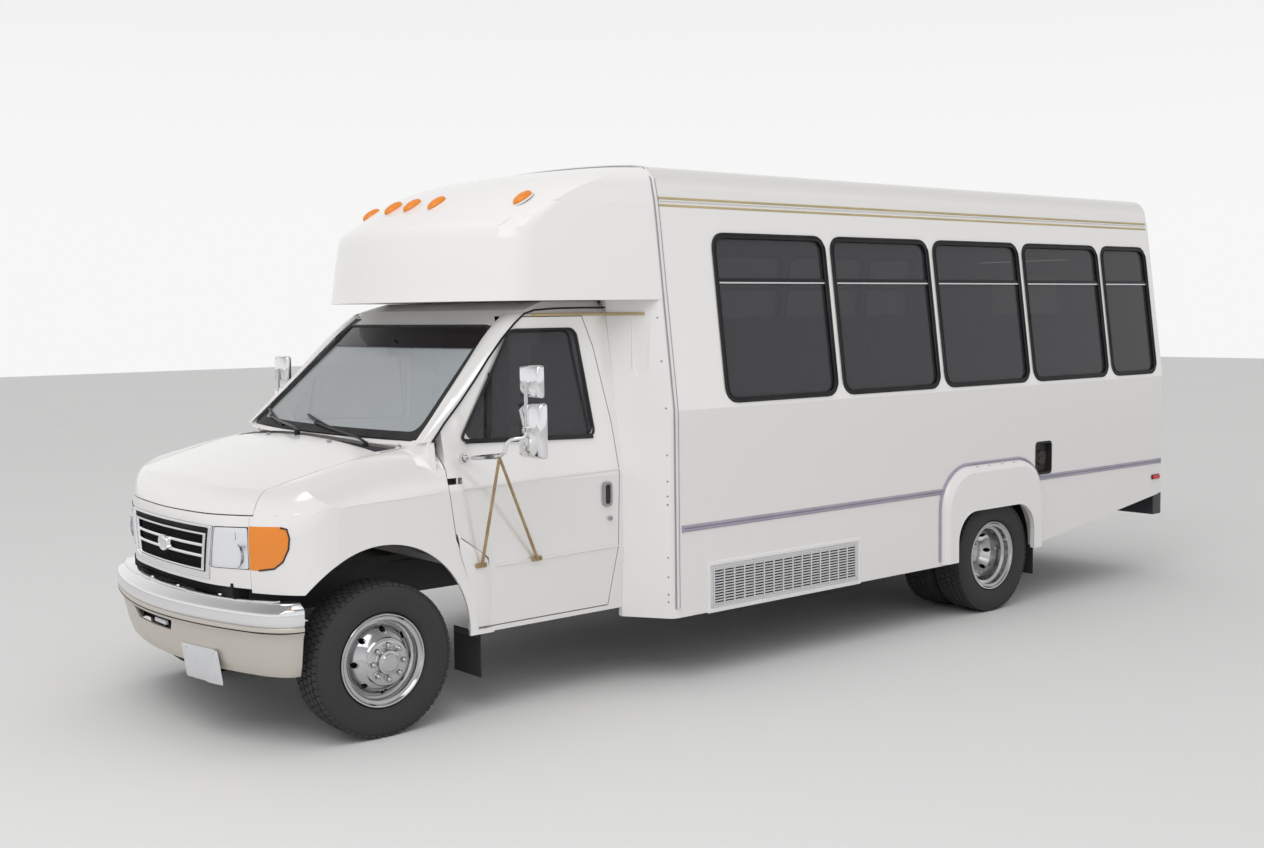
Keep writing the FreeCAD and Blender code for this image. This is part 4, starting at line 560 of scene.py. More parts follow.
def skin(node, name, angle=30):
    """A merged copy of a CAD node's mesh, free to be shaped and smoothly shaded."""
    source = frame["nodes"][node]
    only(source)
    bpy.ops.object.duplicate()
    piece = bpy.context.object
    for key in list(piece.keys()):
        if key.startswith("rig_"):
            del piece[key]
    only(piece)
    bpy.ops.object.parent_clear(type="CLEAR_KEEP_TRANSFORM")
    piece.hide_render = False
    settle(piece, name)
    edit(piece)
    bpy.ops.mesh.remove_doubles(threshold=0.00002)
    done()
    smooth(piece, angle)
    return piece


def fitted(piece, body, finish, stands_for=()):
    """Ride a finished piece on a body, coat it and hide the nodes that it stands for."""
    coat(piece, finish)
    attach(piece, body)
    if stands_for:
        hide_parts(*stands_for)
    return piece


def outline(corners, radius=0.0, steps=4, cells=1):
    """A closed outline with rounded corners and with its sides cut into cells."""
    corners = [Vector(corner) for corner in corners]
    points = []
    for before, corner, after in zip([corners[-1]] + corners[:-1], corners, corners[1:] + [corners[0]]):
        to, off = (before - corner).normalized(), (after - corner).normalized()
        start, end = corner + to * radius, corner + off * radius
        arc = [start]
        for step in range(1, steps if radius else 0):
            part = step / steps
            arc.append(start * (1 - part) ** 2 + corner * (2 * part * (1 - part)) + end * part ** 2)
        points.append(arc + ([end] if radius else []))
    whole = []
    for arc, following in zip(points, points[1:] + [points[0]]):
        whole += arc
        whole += [arc[-1].lerp(following[0], cell / cells) for cell in range(1, cells)]
    return [tuple(point) for point in whole]


def oblong(low_a, high_a, low_b, high_b):
    """Four corners, anticlockwise."""
    return (low_a, low_b), (high_a, low_b), (high_a, high_b), (low_a, high_b)


def shrunk(corners, depths):
    """A polygon moved inwards by a depth for each side, its corners given anticlockwise."""
    corners = [Vector(corner) for corner in corners]
    count = len(corners)
    if not hasattr(depths, "__len__"):
        depths = [depths] * count
    lines = []
    for index, depth in enumerate(depths):
        a, b = corners[index], corners[(index + 1) % count]
        way = (b - a).normalized()
        lines.append((a + Vector((-way.y, way.x)) * depth, way))
    made = []
    for index in range(count):
        (a, along), (b, way) = lines[index - 1], lines[index]
        cross = along.x * way.y - along.y * way.x
        gap = b - a
        made.append(tuple(a + along * ((gap.x * way.y - gap.y * way.x) / cross)))
    return made


def upright(points, axis, at):
    """Points of two numbers set in a plane across an axis."""
    if axis == "X":
        return [(at, a, b) for a, b in points]
    if axis == "Y":
        return [(a, at, b) for a, b in points]
    return [(a, b, at) for a, b in points]


def loop(name, points):
    """A closed line of edges."""
    piece = drawn(name, points, True)
    bpy.ops.mesh.delete(type="ONLY_FACE")
    done()
    return piece


def ring(name, outer, inner):
    """Faces between two closed lines with as many points."""
    piece = joined([loop(name, outer), loop("inner_line", inner)], name)
    edit(piece)
    bpy.ops.mesh.select_mode(type="EDGE")
    bpy.ops.mesh.select_all(action="SELECT")
    bpy.ops.mesh.bridge_edge_loops()
    done()
    return piece


def sliced(piece, axis, pitch):
    """Cut a piece across an axis at even steps, so that it can bend."""
    number = "XYZ".index(axis)
    places = [vertex.co[number] for vertex in piece.data.vertices]
    low, high = min(places), max(places)
    count = max(1, round((high - low) / pitch))
    normal = Vector((axis == "X", axis == "Y", axis == "Z"))
    edit(piece)
    for step in range(1, count):
        bpy.ops.mesh.select_all(action="SELECT")
        bpy.ops.mesh.bisect(plane_co=normal * (low + (high - low) * step / count), plane_no=normal)
    done()
    return piece


def panel(name, points, axis, at, pitch=0.05):
    """A flat face in a plane across an axis, cut into cells that can bend."""
    piece = drawn(name, upright(points, axis, at))
    done()
    for other in "XYZ".replace(axis, ""):
        sliced(piece, other, pitch)
    return piece


def pressed(piece, target, axis, lift=0.0):
    """Move a flat piece along an axis onto a surface, then lift it."""
    modifier(piece, "SHRINKWRAP", target=target, wrap_method="PROJECT", use_project_x=axis == "X",
             use_project_y=axis == "Y", use_project_z=axis == "Z", use_negative_direction=True,
             use_positive_direction=True)
    piece.location["XYZ".index(axis)] += lift
    return settle(piece, piece.name)


def plated(piece, way, thick, bevel=0.001, angle=35):
    """Give an open sheet a thickness behind the side that looks in the direction given."""
    way = Vector(way)
    edit(piece)
    done()
    if sum((face.normal.dot(way) * face.area for face in piece.data.polygons)) < 0:
        edit(piece)
        bpy.ops.mesh.flip_normals()
        done()
    modifier(piece, "SOLIDIFY", thickness=thick, offset=-1, use_even_offset=True)
    if bevel:
        soft_edges(piece, bevel, 2)
    smooth(piece, angle)
    return piece


def wire(points, closed, flat=False):
    """A curve of straight lines through the points."""
    deselect()
    bpy.ops.curve.primitive_nurbs_path_add()
    line = bpy.context.object
    bpy.ops.object.mode_set(mode="EDIT")
    bpy.ops.curve.select_all(action="SELECT")
    bpy.ops.curve.spline_type_set(type="POLY")
    if len(points) < 5:
        points = list(points) + [points[-1]] * (5 - len(points))
    bpy.ops.object.mode_set(mode="OBJECT")
    spline = line.data.splines[0]
    spline.points.add(max(0, len(points) - len(spline.points)))
    for point, place in zip(spline.points, points):
        point.co = (*place, 1)
    spline.use_cyclic_u = closed
    line.data.dimensions = "2D" if flat else "3D"
    return line


def trim(name, path, section, closed=False, twist="Z_UP", angle=35):
    """A section of points, right of the path and above it, swept along the path."""
    line = wire(path, closed)
    shape = wire([(a, b, 0) for a, b in section], True, True)
    line.data.twist_mode = twist
    line.data.bevel_mode = "OBJECT"
    line.data.bevel_object = shape
    line.data.use_fill_caps = True
    only(line)
    bpy.ops.object.convert(target="MESH")
    piece = settle(bpy.context.object, name)
    bpy.data.objects.remove(shape)
    edit(piece)
    bpy.ops.mesh.remove_doubles(threshold=0.00001)
    bpy.ops.mesh.select_all(action="SELECT")
    bpy.ops.mesh.normals_make_consistent(inside=False)
    done()
    smooth(piece, angle)
    return piece


def hit(nodes, start, way):
    """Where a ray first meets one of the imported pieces."""
    start, way = Vector(start), Vector(way).normalized()
    found = []
    for node in nodes:
        thing = frame["nodes"][node]
        turn = thing.matrix_world.inverted()
        met, place, _, _ = thing.ray_cast(turn @ start, (turn.to_3x3() @ way).normalized())
        if met:
            place = thing.matrix_world @ place
            found.append(((place - start).length, place))
    return min(found, key=lambda pair: pair[0])[1] if found else None


def eased(table, at):
    """A smooth value between the rows of a table."""
    rows = sorted(table)
    if at <= rows[0][0]:
        return rows[0][1]
    if at >= rows[-1][0]:
        return rows[-1][1]
    index = max(i for i, row in enumerate(rows) if row[0] <= at and i < len(rows) - 1)
    (x0, y0), (x1, y1) = rows[index], rows[index + 1]
    before, after = rows[max(index - 1, 0)], rows[min(index + 2, len(rows) - 1)]
    m0, m1 = (y1 - before[1]) / (x1 - before[0]), (after[1] - y0) / (after[0] - x0)
    t, gap = (at - x0) / (x1 - x0), x1 - x0
    return ((2 * t ** 3 - 3 * t ** 2 + 1) * y0 + (t ** 3 - 2 * t ** 2 + t) * gap * m0 + (3 * t ** 2 - 2 * t ** 3) * y1
            + (t ** 3 - t ** 2) * gap * m1)


def ahead(distance):
    """X of a place measured forward from the front axle."""
    return front_axle + distance


slots = {part["node"]: part["material_slot"] for part in frame["record"]["subparts"]}


# Operators


class MINIBUS_OT_stage(bpy.types.Operator):
    """Lay the pale floor, the soft light and the camera"""

    bl_idname = "minibus.stage"
    bl_label = "Stage"

    def execute(self, context):
        s = context.scene.minibus_stage
        deselect()
        bpy.ops.mesh.primitive_plane_add(size=90, location=(0, 0, 0))
        floor = bpy.context.object
        floor.name = "studio_floor"
        surface("studio_floor", s.floor, (0.75, 0.9), 0.985, 30.0, 0.4, 0.03)
        coat(floor, "studio_floor")
        deselect()
        bpy.ops.object.light_add(type="AREA", location=(7.5, 4.5, 9.0))
        lamp = bpy.context.object
        lamp.name = "key_light"
        lamp.data.size = 7.0
        lamp.data.energy = s.key
        lamp.rotation_euler = (Vector((0.5, 0, 1.2)) - lamp.location).to_track_quat("-Z", "Y").to_euler()
        world = bpy.data.worlds.new("studio_light")
        context.scene.world = world
        world.use_nodes = True
        tree = world.node_tree
        tree.nodes.clear()
        way = put(tree, "TexCoord").outputs["Generated"]
        height = put(tree, "SeparateXYZ", {0: way}).outputs[2]
        rise = put(tree, "MapRange", {"Value": height, "From Min": -0.05, "From Max": 0.75, "To Min": s.sky_low,
                                      "To Max": s.sky_high}, interpolation_type="SMOOTHSTEP").outputs[0]
        light = put(tree, "Background", {0: (1.0, 1.0, 1.0, 1.0), 1: rise}).outputs[0]
        fade = put(tree, "MapRange", {"Value": height, "From Min": 0.05, "From Max": 0.95, "To Min": 0.93, "To Max": 0.34},
                   interpolation_type="SMOOTHSTEP").outputs[0]
        pale = put(tree, "Background", {0: (1.0, 1.0, 0.995, 1.0), 1: fade}).outputs[0]
        rays = put(tree, "LightPath").outputs
        seen = maths(tree, "MAXIMUM", rays["Is Camera Ray"], maths(tree, "MAXIMUM", rays["Is Glossy Ray"],
                                                                 rays["Is Transmission Ray"]))
        both = put(tree, "MixShader", {0: seen, 1: light, 2: pale}).outputs[0]
        put(tree, "OutputWorld", {0: both})
        deselect()
        bpy.ops.object.camera_add(location=(6.370, 6.884, 2.018))
        camera = bpy.context.object
        camera.name = "photo_view"
        yaw, pitch, roll = radians(229.937), radians(-4.508), radians(-0.708)
        ahead = Vector((cos(pitch) * cos(yaw), cos(pitch) * sin(yaw), sin(pitch)))
        right = ahead.cross(Vector((0, 0, 1))).normalized()
        up = right.cross(ahead)
        across = right * cos(roll) + up * sin(roll)
        above = up * cos(roll) - right * sin(roll)
        turned = Matrix((across, above, -ahead)).transposed()
        camera.matrix_world = Matrix.Translation(camera.location) @ turned.to_4x4()
        camera.data.sensor_width = 36
        camera.data.lens = 40.88
        context.scene.camera = camera
        context.scene.view_settings.view_transform = "Standard"
        return {"FINISHED"}


class MINIBUS_OT_finishes(bpy.types.Operator):
    """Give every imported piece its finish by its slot"""

    bl_idname = "minibus.finishes"
    bl_label = "Finishes"

    def execute(self, context):
        make_finishes()
        for node, thing in frame["nodes"].items():
            coat(thing, slots[node])
            if thing.type == "MESH":
                smooth(thing, 30)
        return {"FINISHED"}


# Tyres and wheels


class MINIBUS_PG_wheels(bpy.types.PropertyGroup):
    blocks: IntProperty(name="Tread blocks", description="Tread blocks round a tyre", default=62, min=20, max=90)
    groove: length("Groove depth", "Depth of the tread grooves", 0.009)
    nut: length("Nut size", "Radius of a wheel nut's cover", 0.0165)


def ring_copies(piece, centre, count):
    """Repeat the mesh round the wheel's axle."""
    edit(piece)
    bpy.ops.mesh.spin(dupli=True, steps=count - 1, angle=2 * pi * (count - 1) / count, center=centre, axis=(0, 1, 0))
    done()
    return piece


def tyre_at(name, x, y):
    """A tyre with a ridged sidewall and five rows of tread blocks."""
    s = bpy.context.scene.minibus_wheels
    base = 0.372 - s.groove
    half = ((0.0735, 0.2035), (0.0740, 0.2250), (0.0830, 0.2315), (0.0900, 0.2330), (0.0960, 0.2390), (0.0975, 0.2420),
            (0.1010, 0.2440), (0.1075, 0.2620), (0.1100, 0.2800), (0.1112, 0.2900), (0.1096, 0.3080), (0.1106, 0.3090),
            (0.1080, 0.3240), (0.1046, 0.3370), (0.1050, 0.3385), (0.1000, 0.3500), (0.0930, base - 0.003), (0.0700, base))
    inner = ((-0.05, 0.2035), (-0.094, 0.262), (-0.094, 0.320), (-0.07, 0.343), (0.07, 0.343), (0.094, 0.320),
             (0.094, 0.262), (0.05, 0.2035))
    outline = list(half) + [(-a, r) for a, r in reversed(half)] + list(inner)
    centre = (x, y, axle_height)
    body = spun(name, [(x, y + a, axle_height + r) for a, r in outline], centre, (0, 1, 0), 96)
    smooth(body, 28)
    pitch = 2 * pi * 0.372 / s.blocks
    blocks = []
    for row, (middle, wide, top) in enumerate(((-0.083, 0.030, 0.3695), (-0.042, 0.031, 0.3715), (0.0, 0.034, 0.372),
                                               (0.042, 0.031, 0.3715), (0.083, 0.030, 0.3695))):
        shift = pitch * 0.5 * (row % 2)
        low = (x + shift - pitch * 0.42, y + middle - wide / 2, axle_height + base - 0.006)
        high = (x + shift + pitch * 0.42, y + middle + wide / 2, axle_height + top)
        block = box("tread_block", low, high, 0.0018, 1)
        edit(block)
        chosen(block, lambda c, n: n.z > 0.9)
        bpy.ops.transform.rotate(value=radians(-9 if row % 2 else 9), orient_axis="Z",
                                 center_override=(x + shift, y + middle, axle_height))
        done()
        blocks.append(block)
    ribs = ring_copies(joined(blocks, "tread_blocks"), centre, s.blocks)
    return joined([body, ribs], name)


def wheel_nuts(name, x, face, way, ring=0.0825, count=8):
    """Eight covered nuts on a ring, each a six-sided cone with a domed end."""
    s = bpy.context.scene.minibus_wheels
    z = axle_height + ring
    start, end = Vector((x, face - way * 0.006, z)), Vector((x, face + way * 0.022, z))
    washer = drum("nut_seat", start, start + Vector((0, way * 0.009, 0)), s.nut * 1.12, 20, 0.001)
    nut = drum("nut", start, end, s.nut, 6, 0.0015, s.nut * 0.86)
    dome = spun("nut_dome", [(x, end.y - way * 0.002, z + s.nut * 0.78), (x, end.y + way * 0.003, z + s.nut * 0.70),
                             (x, end.y + way * 0.0075, z + s.nut * 0.40), (x, end.y + way * 0.009, z)],
                (x, end.y, z), (0, 1, 0), 16, False)
    nuts = joined([washer, nut, dome], name)
    return ring_copies(nuts, (x, face, axle_height), count)


def hand_holes(piece, x, y, ring=0.151, radius=0.015, count=8):
    """Cut a ring of round holes through a wheel disc."""
    cutter = drum("hand_hole", (x, y - 0.2, axle_height + ring), (x, y + 0.2, axle_height + ring), radius, 28, 0)
    cutter = ring_copies(cutter, (x, y, axle_height), count)
    modifier(piece, "BOOLEAN", object=cutter, operation="DIFFERENCE", solver="EXACT")
    bpy.data.objects.remove(cutter)
    return piece


def front_wheel(name, y, way):
    """Chrome liner with a stepped edge, hand holes, nuts and a domed cap over the hub."""
    x = front_axle
    skirt = ((0.0700, 0.2100), (0.0850, 0.2265), (0.0915, 0.2262), (0.0940, 0.2230), (0.0925, 0.2180), (0.0860, 0.2130),
             (0.0800, 0.2080), (0.0785, 0.2050), (0.0700, 0.2010), (0.0600, 0.1985), (0.0500, 0.1930), (0.0440, 0.1860),
             (0.0415, 0.1800), (0.0430, 0.1755), (0.0500, 0.1715), (0.0620, 0.1660), (0.0760, 0.1560), (0.0890, 0.1440),
             (0.1010, 0.1300), (0.1110, 0.1160), (0.1170, 0.1080), (0.1200, 0.1040), (0.1215, 0.1000), (0.1215, 0.0680))
    back = [(a - 0.0035, r - 0.002) for a, r in reversed(skirt)]
    outline = [(x, y + way * a, axle_height + r) for a, r in list(skirt) + back]
    liner = spun(name + "_liner", outline, (x, y, axle_height), (0, 1, 0), 128)
    hand_holes(liner, x, y)
    smooth(liner, 32)
    cap = ((0.1180, 0.0700), (0.1235, 0.0700), (0.1260, 0.0680), (0.1275, 0.0640), (0.1300, 0.0610), (0.1400, 0.0590),
           (0.1440, 0.0570), (0.1465, 0.0520), (0.1475, 0.0440), (0.1495, 0.0420), (0.1515, 0.0330), (0.1520, 0.0))
    hub = spun(name + "_cap", [(x, y + way * a, axle_height + r) for a, r in cap], (x, y, axle_height), (0, 1, 0), 64, False)
    smooth(hub, 30)
    nuts = wheel_nuts(name + "_nuts", x, y + way * 0.1215, way)
    smooth(nuts, 40)
    return joined([liner, hub, nuts], name)


def rear_wheel(name, y, way):
    """Deep dished outer wheel with its liner, hand holes, nuts and hub end."""
    x = rear_axle
    skirt = ((0.0700, 0.2100), (0.0850, 0.2265), (0.0915, 0.2262), (0.0940, 0.2230), (0.0925, 0.2180), (0.0860, 0.2130),
             (0.0800, 0.2060), (0.0700, 0.2010), (0.0520, 0.1960), (0.0440, 0.1880), (0.0400, 0.1780), (0.0200, 0.1740),
             (-0.0200, 0.1720), (-0.0340, 0.1690), (-0.0520, 0.1640), (-0.0740, 0.1540), (-0.0930, 0.1420),
             (-0.1080, 0.1300), (-0.1190, 0.1180), (-0.1240, 0.1120), (-0.1245, 0.0660))
    back = [(a - 0.0015, r + 0.0025) if n > 10 else (a - 0.0035, r - 0.002) for n, (a, r) in enumerate(skirt)]
    outline = [(x, y + way * a, axle_height + r) for a, r in list(skirt) + list(reversed(back))]
    liner = spun(name + "_liner", outline, (x, y, axle_height), (0, 1, 0), 128)
    hand_holes(liner, x, y)
    smooth(liner, 32)
    end = ((-0.1245, 0.0680), (-0.1100, 0.0670), (-0.1060, 0.0640), (-0.0600, 0.0625), (-0.0480, 0.0560), (-0.0440, 0.0500),
           (-0.0435, 0.0300), (-0.0410, 0.0290), (-0.0400, 0.0))
    hub = spun(name + "_hub", [(x, y + way * a, axle_height + r) for a, r in end], (x, y, axle_height), (0, 1, 0), 64, False)
    smooth(hub, 30)
    nuts = wheel_nuts(name + "_nuts", x, y - way * 0.1245, way)
    smooth(nuts, 40)
    return joined([liner, hub, nuts], name)


class MINIBUS_OT_tyres(bpy.types.Operator):
    """Model the six tyres with their tread"""

    bl_idname = "minibus.tyres"
    bl_label = "Tyres"

    def execute(self, context):
        first = tyre_at("front_left_tread", front_axle, 0.875)
        places = (("front_right_tread", 0, -1.75, "front_right_wheel", "front_right_tyre"),
                  ("rear_left_outer_tread", rear_axle - front_axle, 0.237, "rear_left_wheels", "rear_left_tyres"),
                  ("rear_left_inner_tread", rear_axle - front_axle, -0.035, "rear_left_wheels", "rear_left_tyres"),
                  ("rear_right_outer_tread", rear_axle - front_axle, -1.987, "rear_right_wheels", "rear_right_tyres"),
                  ("rear_right_inner_tread", rear_axle - front_axle, -1.715, "rear_right_wheels", "rear_right_tyres"))
        for name, x, y, body, node in places:
            fitted(copied(first, name, (x, y, 0)), body, "tyre", (node,))
        fitted(first, "front_left_wheel", "tyre", ("front_left_tyre",))
        return {"FINISHED"}


class MINIBUS_OT_wheels(bpy.types.Operator):
    """Model the chrome wheels with hand holes, nuts and hub caps"""

    bl_idname = "minibus.wheels"
    bl_label = "Wheels"

    def execute(self, context):
        front = front_wheel("front_left_wheel_liner", 0.875, 1)
        fitted(mirrored(front, "front_right_wheel_liner"), "front_right_wheel", "wheel_chrome", ())
        fitted(front, "front_left_wheel", "wheel_chrome", ())
        rear = rear_wheel("rear_left_wheel_liner", 1.112, 1)
        fitted(mirrored(rear, "rear_right_wheel_liner"), "rear_right_wheels", "wheel_chrome", ())
        fitted(rear, "rear_left_wheels", "wheel_chrome", ())
        for side in ("left", "right"):
            for node in (f"front_{side}_rim", f"rear_{side}_rims"):
                coat(frame["nodes"][node], "wheel_chrome")
        return {"FINISHED"}


# The front end: grille, lamps, bumper, valance and plate


class MINIBUS_PG_front(bpy.types.PropertyGroup):
    rim: length("Grille rim", "Width of the grille's outer frame", 0.026)
    bars: IntProperty(name="Grille bars", description="Bright bars across the grille", default=2, min=1, max=5)
    cells: IntProperty(name="Grille cells", description="Upright cells behind the bars", default=44, min=10, max=80)
    plate: length("Plate width", "Width of the blank number plate", 0.31)


# Height and X from the front axle of the nose's front, then Y and setback of its plan
nose_front = ((0.300, 0.610), (0.560, 0.640), (0.840, 0.655), (1.030, 0.657), (1.095, 0.648), (1.130, 0.640), (1.172, 0.624))
nose_plan = ((0, 0), (0.250, 0.010), (0.490, 0.039), (0.600, 0.073), (0.700, 0.111), (0.800, 0.158), (0.880, 0.207),
             (0.940, 0.262), (0.975, 0.330), (0.992, 0.420), (1.005, 0.530))
grille_corners = ((-0.441, 0.777), (0.441, 0.777), (0.490, 1.034), (-0.490, 1.034))
lamp_corners = ((0.460, 0.836), (0.7035, 0.843), (0.7035, 1.042), (0.496, 1.033))


def nose_x(y, z):
    return ahead(eased(nose_front, z) - eased(nose_plan, abs(y)))


def nose_guide():
    """The nose's front face, its upright line drawn out along its plan."""
    heights = [0.70 + 0.012 * step for step in range(34)]
    places = [-0.96 + 0.03 * step for step in range(65)]
    guide = drawn("nose_guide", [(nose_x(places[0], z), places[0], z) for z in heights], False)
    for a, b in zip(places, places[1:]):
        step = Vector((nose_x(b, 0.9) - nose_x(a, 0.9), b - a, 0))
        bpy.ops.mesh.extrude_region_move(TRANSFORM_OT_translate={"value": step})
    done()
    return guide


def nose_frame(name, guide, outer, inner, rise, thick, radius=0.012, inner_radius=0.010):
    """A bright frame laid on the nose between two outlines."""
    piece = ring(name, upright(outline(outer, radius, 4, 12), "X", 3.6), upright(outline(inner, inner_radius, 4, 12), "X", 3.6))
    pressed(piece, guide, "X", rise)
    return plated(piece, (1, 0, 0), thick, 0.0025)


class MINIBUS_OT_grille(bpy.types.Operator):
    """Model the grille: two bright frames, cross bars, dark cells and a bare badge place"""

    bl_idname = "minibus.grille"
    bl_label = "Grille"

    def execute(self, context):
        s = context.scene.minibus_front
        guide = nose_guide()
        edge = shrunk(grille_corners, 0.0006)
        inner = shrunk(grille_corners, (0.030, s.rim, 0.011, s.rim))
        frame_piece = nose_frame("grille_frame", guide, edge, inner, 0.010, 0.030)
        crease = shrunk(grille_corners, (0.020, 0.016, 0.004, 0.016))
        crease_in = shrunk(grille_corners, (0.024, 0.020, 0.007, 0.020))
        crease_piece = nose_frame("grille_frame_crease", guide, crease, crease_in, 0.0125, 0.004, 0.010, 0.010)
        second = shrunk(grille_corners, (0.032, 0.052, 0.040, 0.052))
        second_in = shrunk(grille_corners, (0.042, 0.071, 0.050, 0.071))
        inner_piece = nose_frame("grille_inner_frame", guide, second, second_in, 0.006, 0.026, 0.006, 0.004)
        bars = []
        opening = shrunk(grille_corners, (0.040, 0.068, 0.048, 0.068))
        for number in range(s.bars):
            z = 0.827 + (0.984 - 0.827) * (number + 1) / (s.bars + 1) + 0.002
            half = abs(opening[0][0] + (opening[3][0] - opening[0][0]) * (z - 0.817) / 0.169)
            path = [(nose_x(y, z), y, z) for y in [-half + half * 2 * n / 24 for n in range(25)]]
            section = [(-0.030, -0.007), (-0.006, -0.011), (0.000, -0.008), (0.003, -0.001), (0.001, 0.006), (-0.006, 0.009),
                       (-0.030, 0.005)]
            bars.append(trim("grille_bar", path, section))
        bright = joined([frame_piece, crease_piece, inner_piece] + bars, "grille_bright")
        fitted(bright, "body", "chrome", ())
        # The band between the two frames and the sheet behind the grille are near-black painted shade in the recess and
        # behind the openings; the cells and slats are the grille's own black insert.
        shade = ring("grille_band", upright(outline(inner, 0.010, 4, 12), "X", 3.6),
                     upright(outline(second, 0.006, 4, 12), "X", 3.6))
        pressed(shade, guide, "X", -0.012)
        plated(shade, (1, 0, 0), 0.003, 0.0005)
        shade_sheet = panel("grille_backing", shrunk(grille_corners, 0.004), "X", 3.6, 0.05)
        pressed(shade_sheet, guide, "X", -0.040)
        plated(shade_sheet, (1, 0, 0), 0.004, 0.0005)
        cells = []
        for number in range(s.cells + 1):
            y = -0.372 + 0.744 * number / s.cells
            top, low = 0.988, 0.815
            path = [(nose_x(y, z) - 0.024, y, z) for z in (low, 0.86, 0.90, 0.95, top)]
            cells.append(trim("grille_cell", path, [(-0.0015, -0.008), (0.0015, -0.008), (0.0015, 0.008), (-0.0015, 0.008)],
                              False, "MINIMUM"))
        for z in (0.845, 0.862, 0.905, 0.922, 0.960, 0.974):
            path = [(nose_x(y, z) - 0.022, y, z) for y in [-0.385 + 0.77 * n / 20 for n in range(21)]]
            cells.append(trim("grille_slat", path, [(-0.010, -0.0015), (0.003, -0.0015), (0.003, 0.0015), (-0.010, 0.0015)]))
        dark = joined([shade, shade_sheet] + cells, "grille_dark")
        fitted(dark, "body", "dark_void", ("grille",))
        z, x = 0.906, nose_x(0, 0.906)
        badge = spun("badge_place", [(x - 0.02, 0, z + 0.048), (x + 0.010, 0, z + 0.048), (x + 0.014, 0, z + 0.046),
                                     (x + 0.015, 0, z + 0.042), (x + 0.012, 0, z + 0.037), (x + 0.010, 0, z + 0.033),
                                     (x + 0.013, 0, z + 0.020), (x + 0.014, 0, z)], (x, 0, z), (1, 0, 0), 48, False)
        edit(badge)
        bpy.ops.transform.resize(value=(1, 1.18, 0.86), center_override=(x, 0, z))
        done()
        smooth(badge, 40)
        fitted(badge, "body", "chrome", ())
        bpy.data.objects.remove(guide)
        return {"FINISHED"}


class MINIBUS_OT_headlamps(bpy.types.Operator):
    """Model both headlamps: clear lens, bowl reflectors and housing"""

    bl_idname = "minibus.headlamps"
    bl_label = "Headlamps"

    def execute(self, context):
        guide = nose_guide()
        lens = panel("left_headlamp_lens", outline(shrunk(lamp_corners, 0.0015), 0.014, 4, 1), "X", 3.6, 0.03)
        pressed(lens, guide, "X", 0.002)
        plated(lens, (1, 0, 0), 0.005, 0.0018)
        pan = panel("left_headlamp_pan", outline(shrunk(lamp_corners, 0.004), 0.012, 4, 1), "X", 3.6, 0.03)
        pressed(pan, guide, "X", -0.030)
        plated(pan, (1, 0, 0), 0.004, 0.001)
        wall = ring("left_headlamp_wall", upright(outline(shrunk(lamp_corners, 0.003), 0.012, 4, 6), "X", 3.6),
                    upright(outline(shrunk(lamp_corners, 0.006), 0.012, 4, 6), "X", 3.6))
        pressed(wall, guide, "X", -0.004)
        plated(wall, (1, 0, 0), 0.026, 0.0008)
        parts = [pan, wall]
        for y, z, r in ((0.618, 0.906, 0.058), (0.604, 0.994, 0.030)):
            x = nose_x(y, z) - 0.008
            bowl = [(x + a, y, z + r * b) for a, b in ((-0.038, 0.0), (-0.036, 0.30), (-0.028, 0.62), (-0.014, 0.86),
                                                       (0.0, 1.0), (0.002, 1.05), (-0.004, 1.07), (-0.022, 1.07))]
            parts.append(spun("lamp_bowl", bowl, (x, y, z), (1, 0, 0), 40, False))
            profile = ((0.0, 0.011), (0.016, 0.011), (0.022, 0.009), (0.027, 0.005), (0.029, 0.0))
            bulb = [(x - 0.037 + a, y, z + b) for a, b in profile]
            parts.append(spun("lamp_bulb", bulb, (x, y, z), (1, 0, 0), 20, False))
        rib_x = nose_x(0.60, 0.955)
        rib = box("lamp_rib", (rib_x - 0.030, 0.505, 0.9515), (rib_x - 0.012, 0.700, 0.9545), 0.001, 1)
        parts.append(rib)
        bowls = joined(parts, "left_headlamp_reflector")
        smooth(bowls, 35)
        edging = ring("left_headlamp_seal", upright(outline(shrunk(lamp_corners, 0.0002), 0.012, 4, 8), "X", 3.6),
                      upright(outline(shrunk(lamp_corners, 0.0032), 0.012, 4, 8), "X", 3.6))
        pressed(edging, guide, "X", 0.0022)
        plated(edging, (1, 0, 0), 0.016, 0.0005)
        for piece, finish in ((lens, "lamp_clear"), (bowls, "reflector"), (edging, "seal_rubber")):
            twin = mirrored(piece, piece.name.replace("left", "right"))
            stands = ("headlamps",) if finish == "lamp_clear" else ()
            fitted(twin, "body", finish, stands)
            fitted(piece, "body", finish, stands)
        bpy.data.objects.remove(guide)
        return {"FINISHED"}


bumper_reach, bumper_bow = 0.750, 2.3


def bumper_x(y, back=0.0):
    """X of a place behind the bumper's bowed face."""
    return ahead(bumper_reach - (bumper_bow - sqrt(bumper_bow ** 2 - y * y)) - back)


def bumper_path(inset=0.0):
    """Plan of the bumper's face from its right end round to its left end."""
    half = [(bumper_x(y, inset), y) for y in [0.05 * n for n in range(17)]]
    first, bend, last = Vector(half[-1]), Vector((ahead(0.532), 0.990 - inset)), Vector((ahead(0.418), 0.990 - inset))
    for step in range(1, 9):
        part = step / 8
        half.append(tuple(first * (1 - part) ** 2 + bend * (2 * part * (1 - part)) + last * part ** 2))
    return [(x, -y, 0) for x, y in reversed(half[1:])] + [(x, y, 0) for x, y in half]


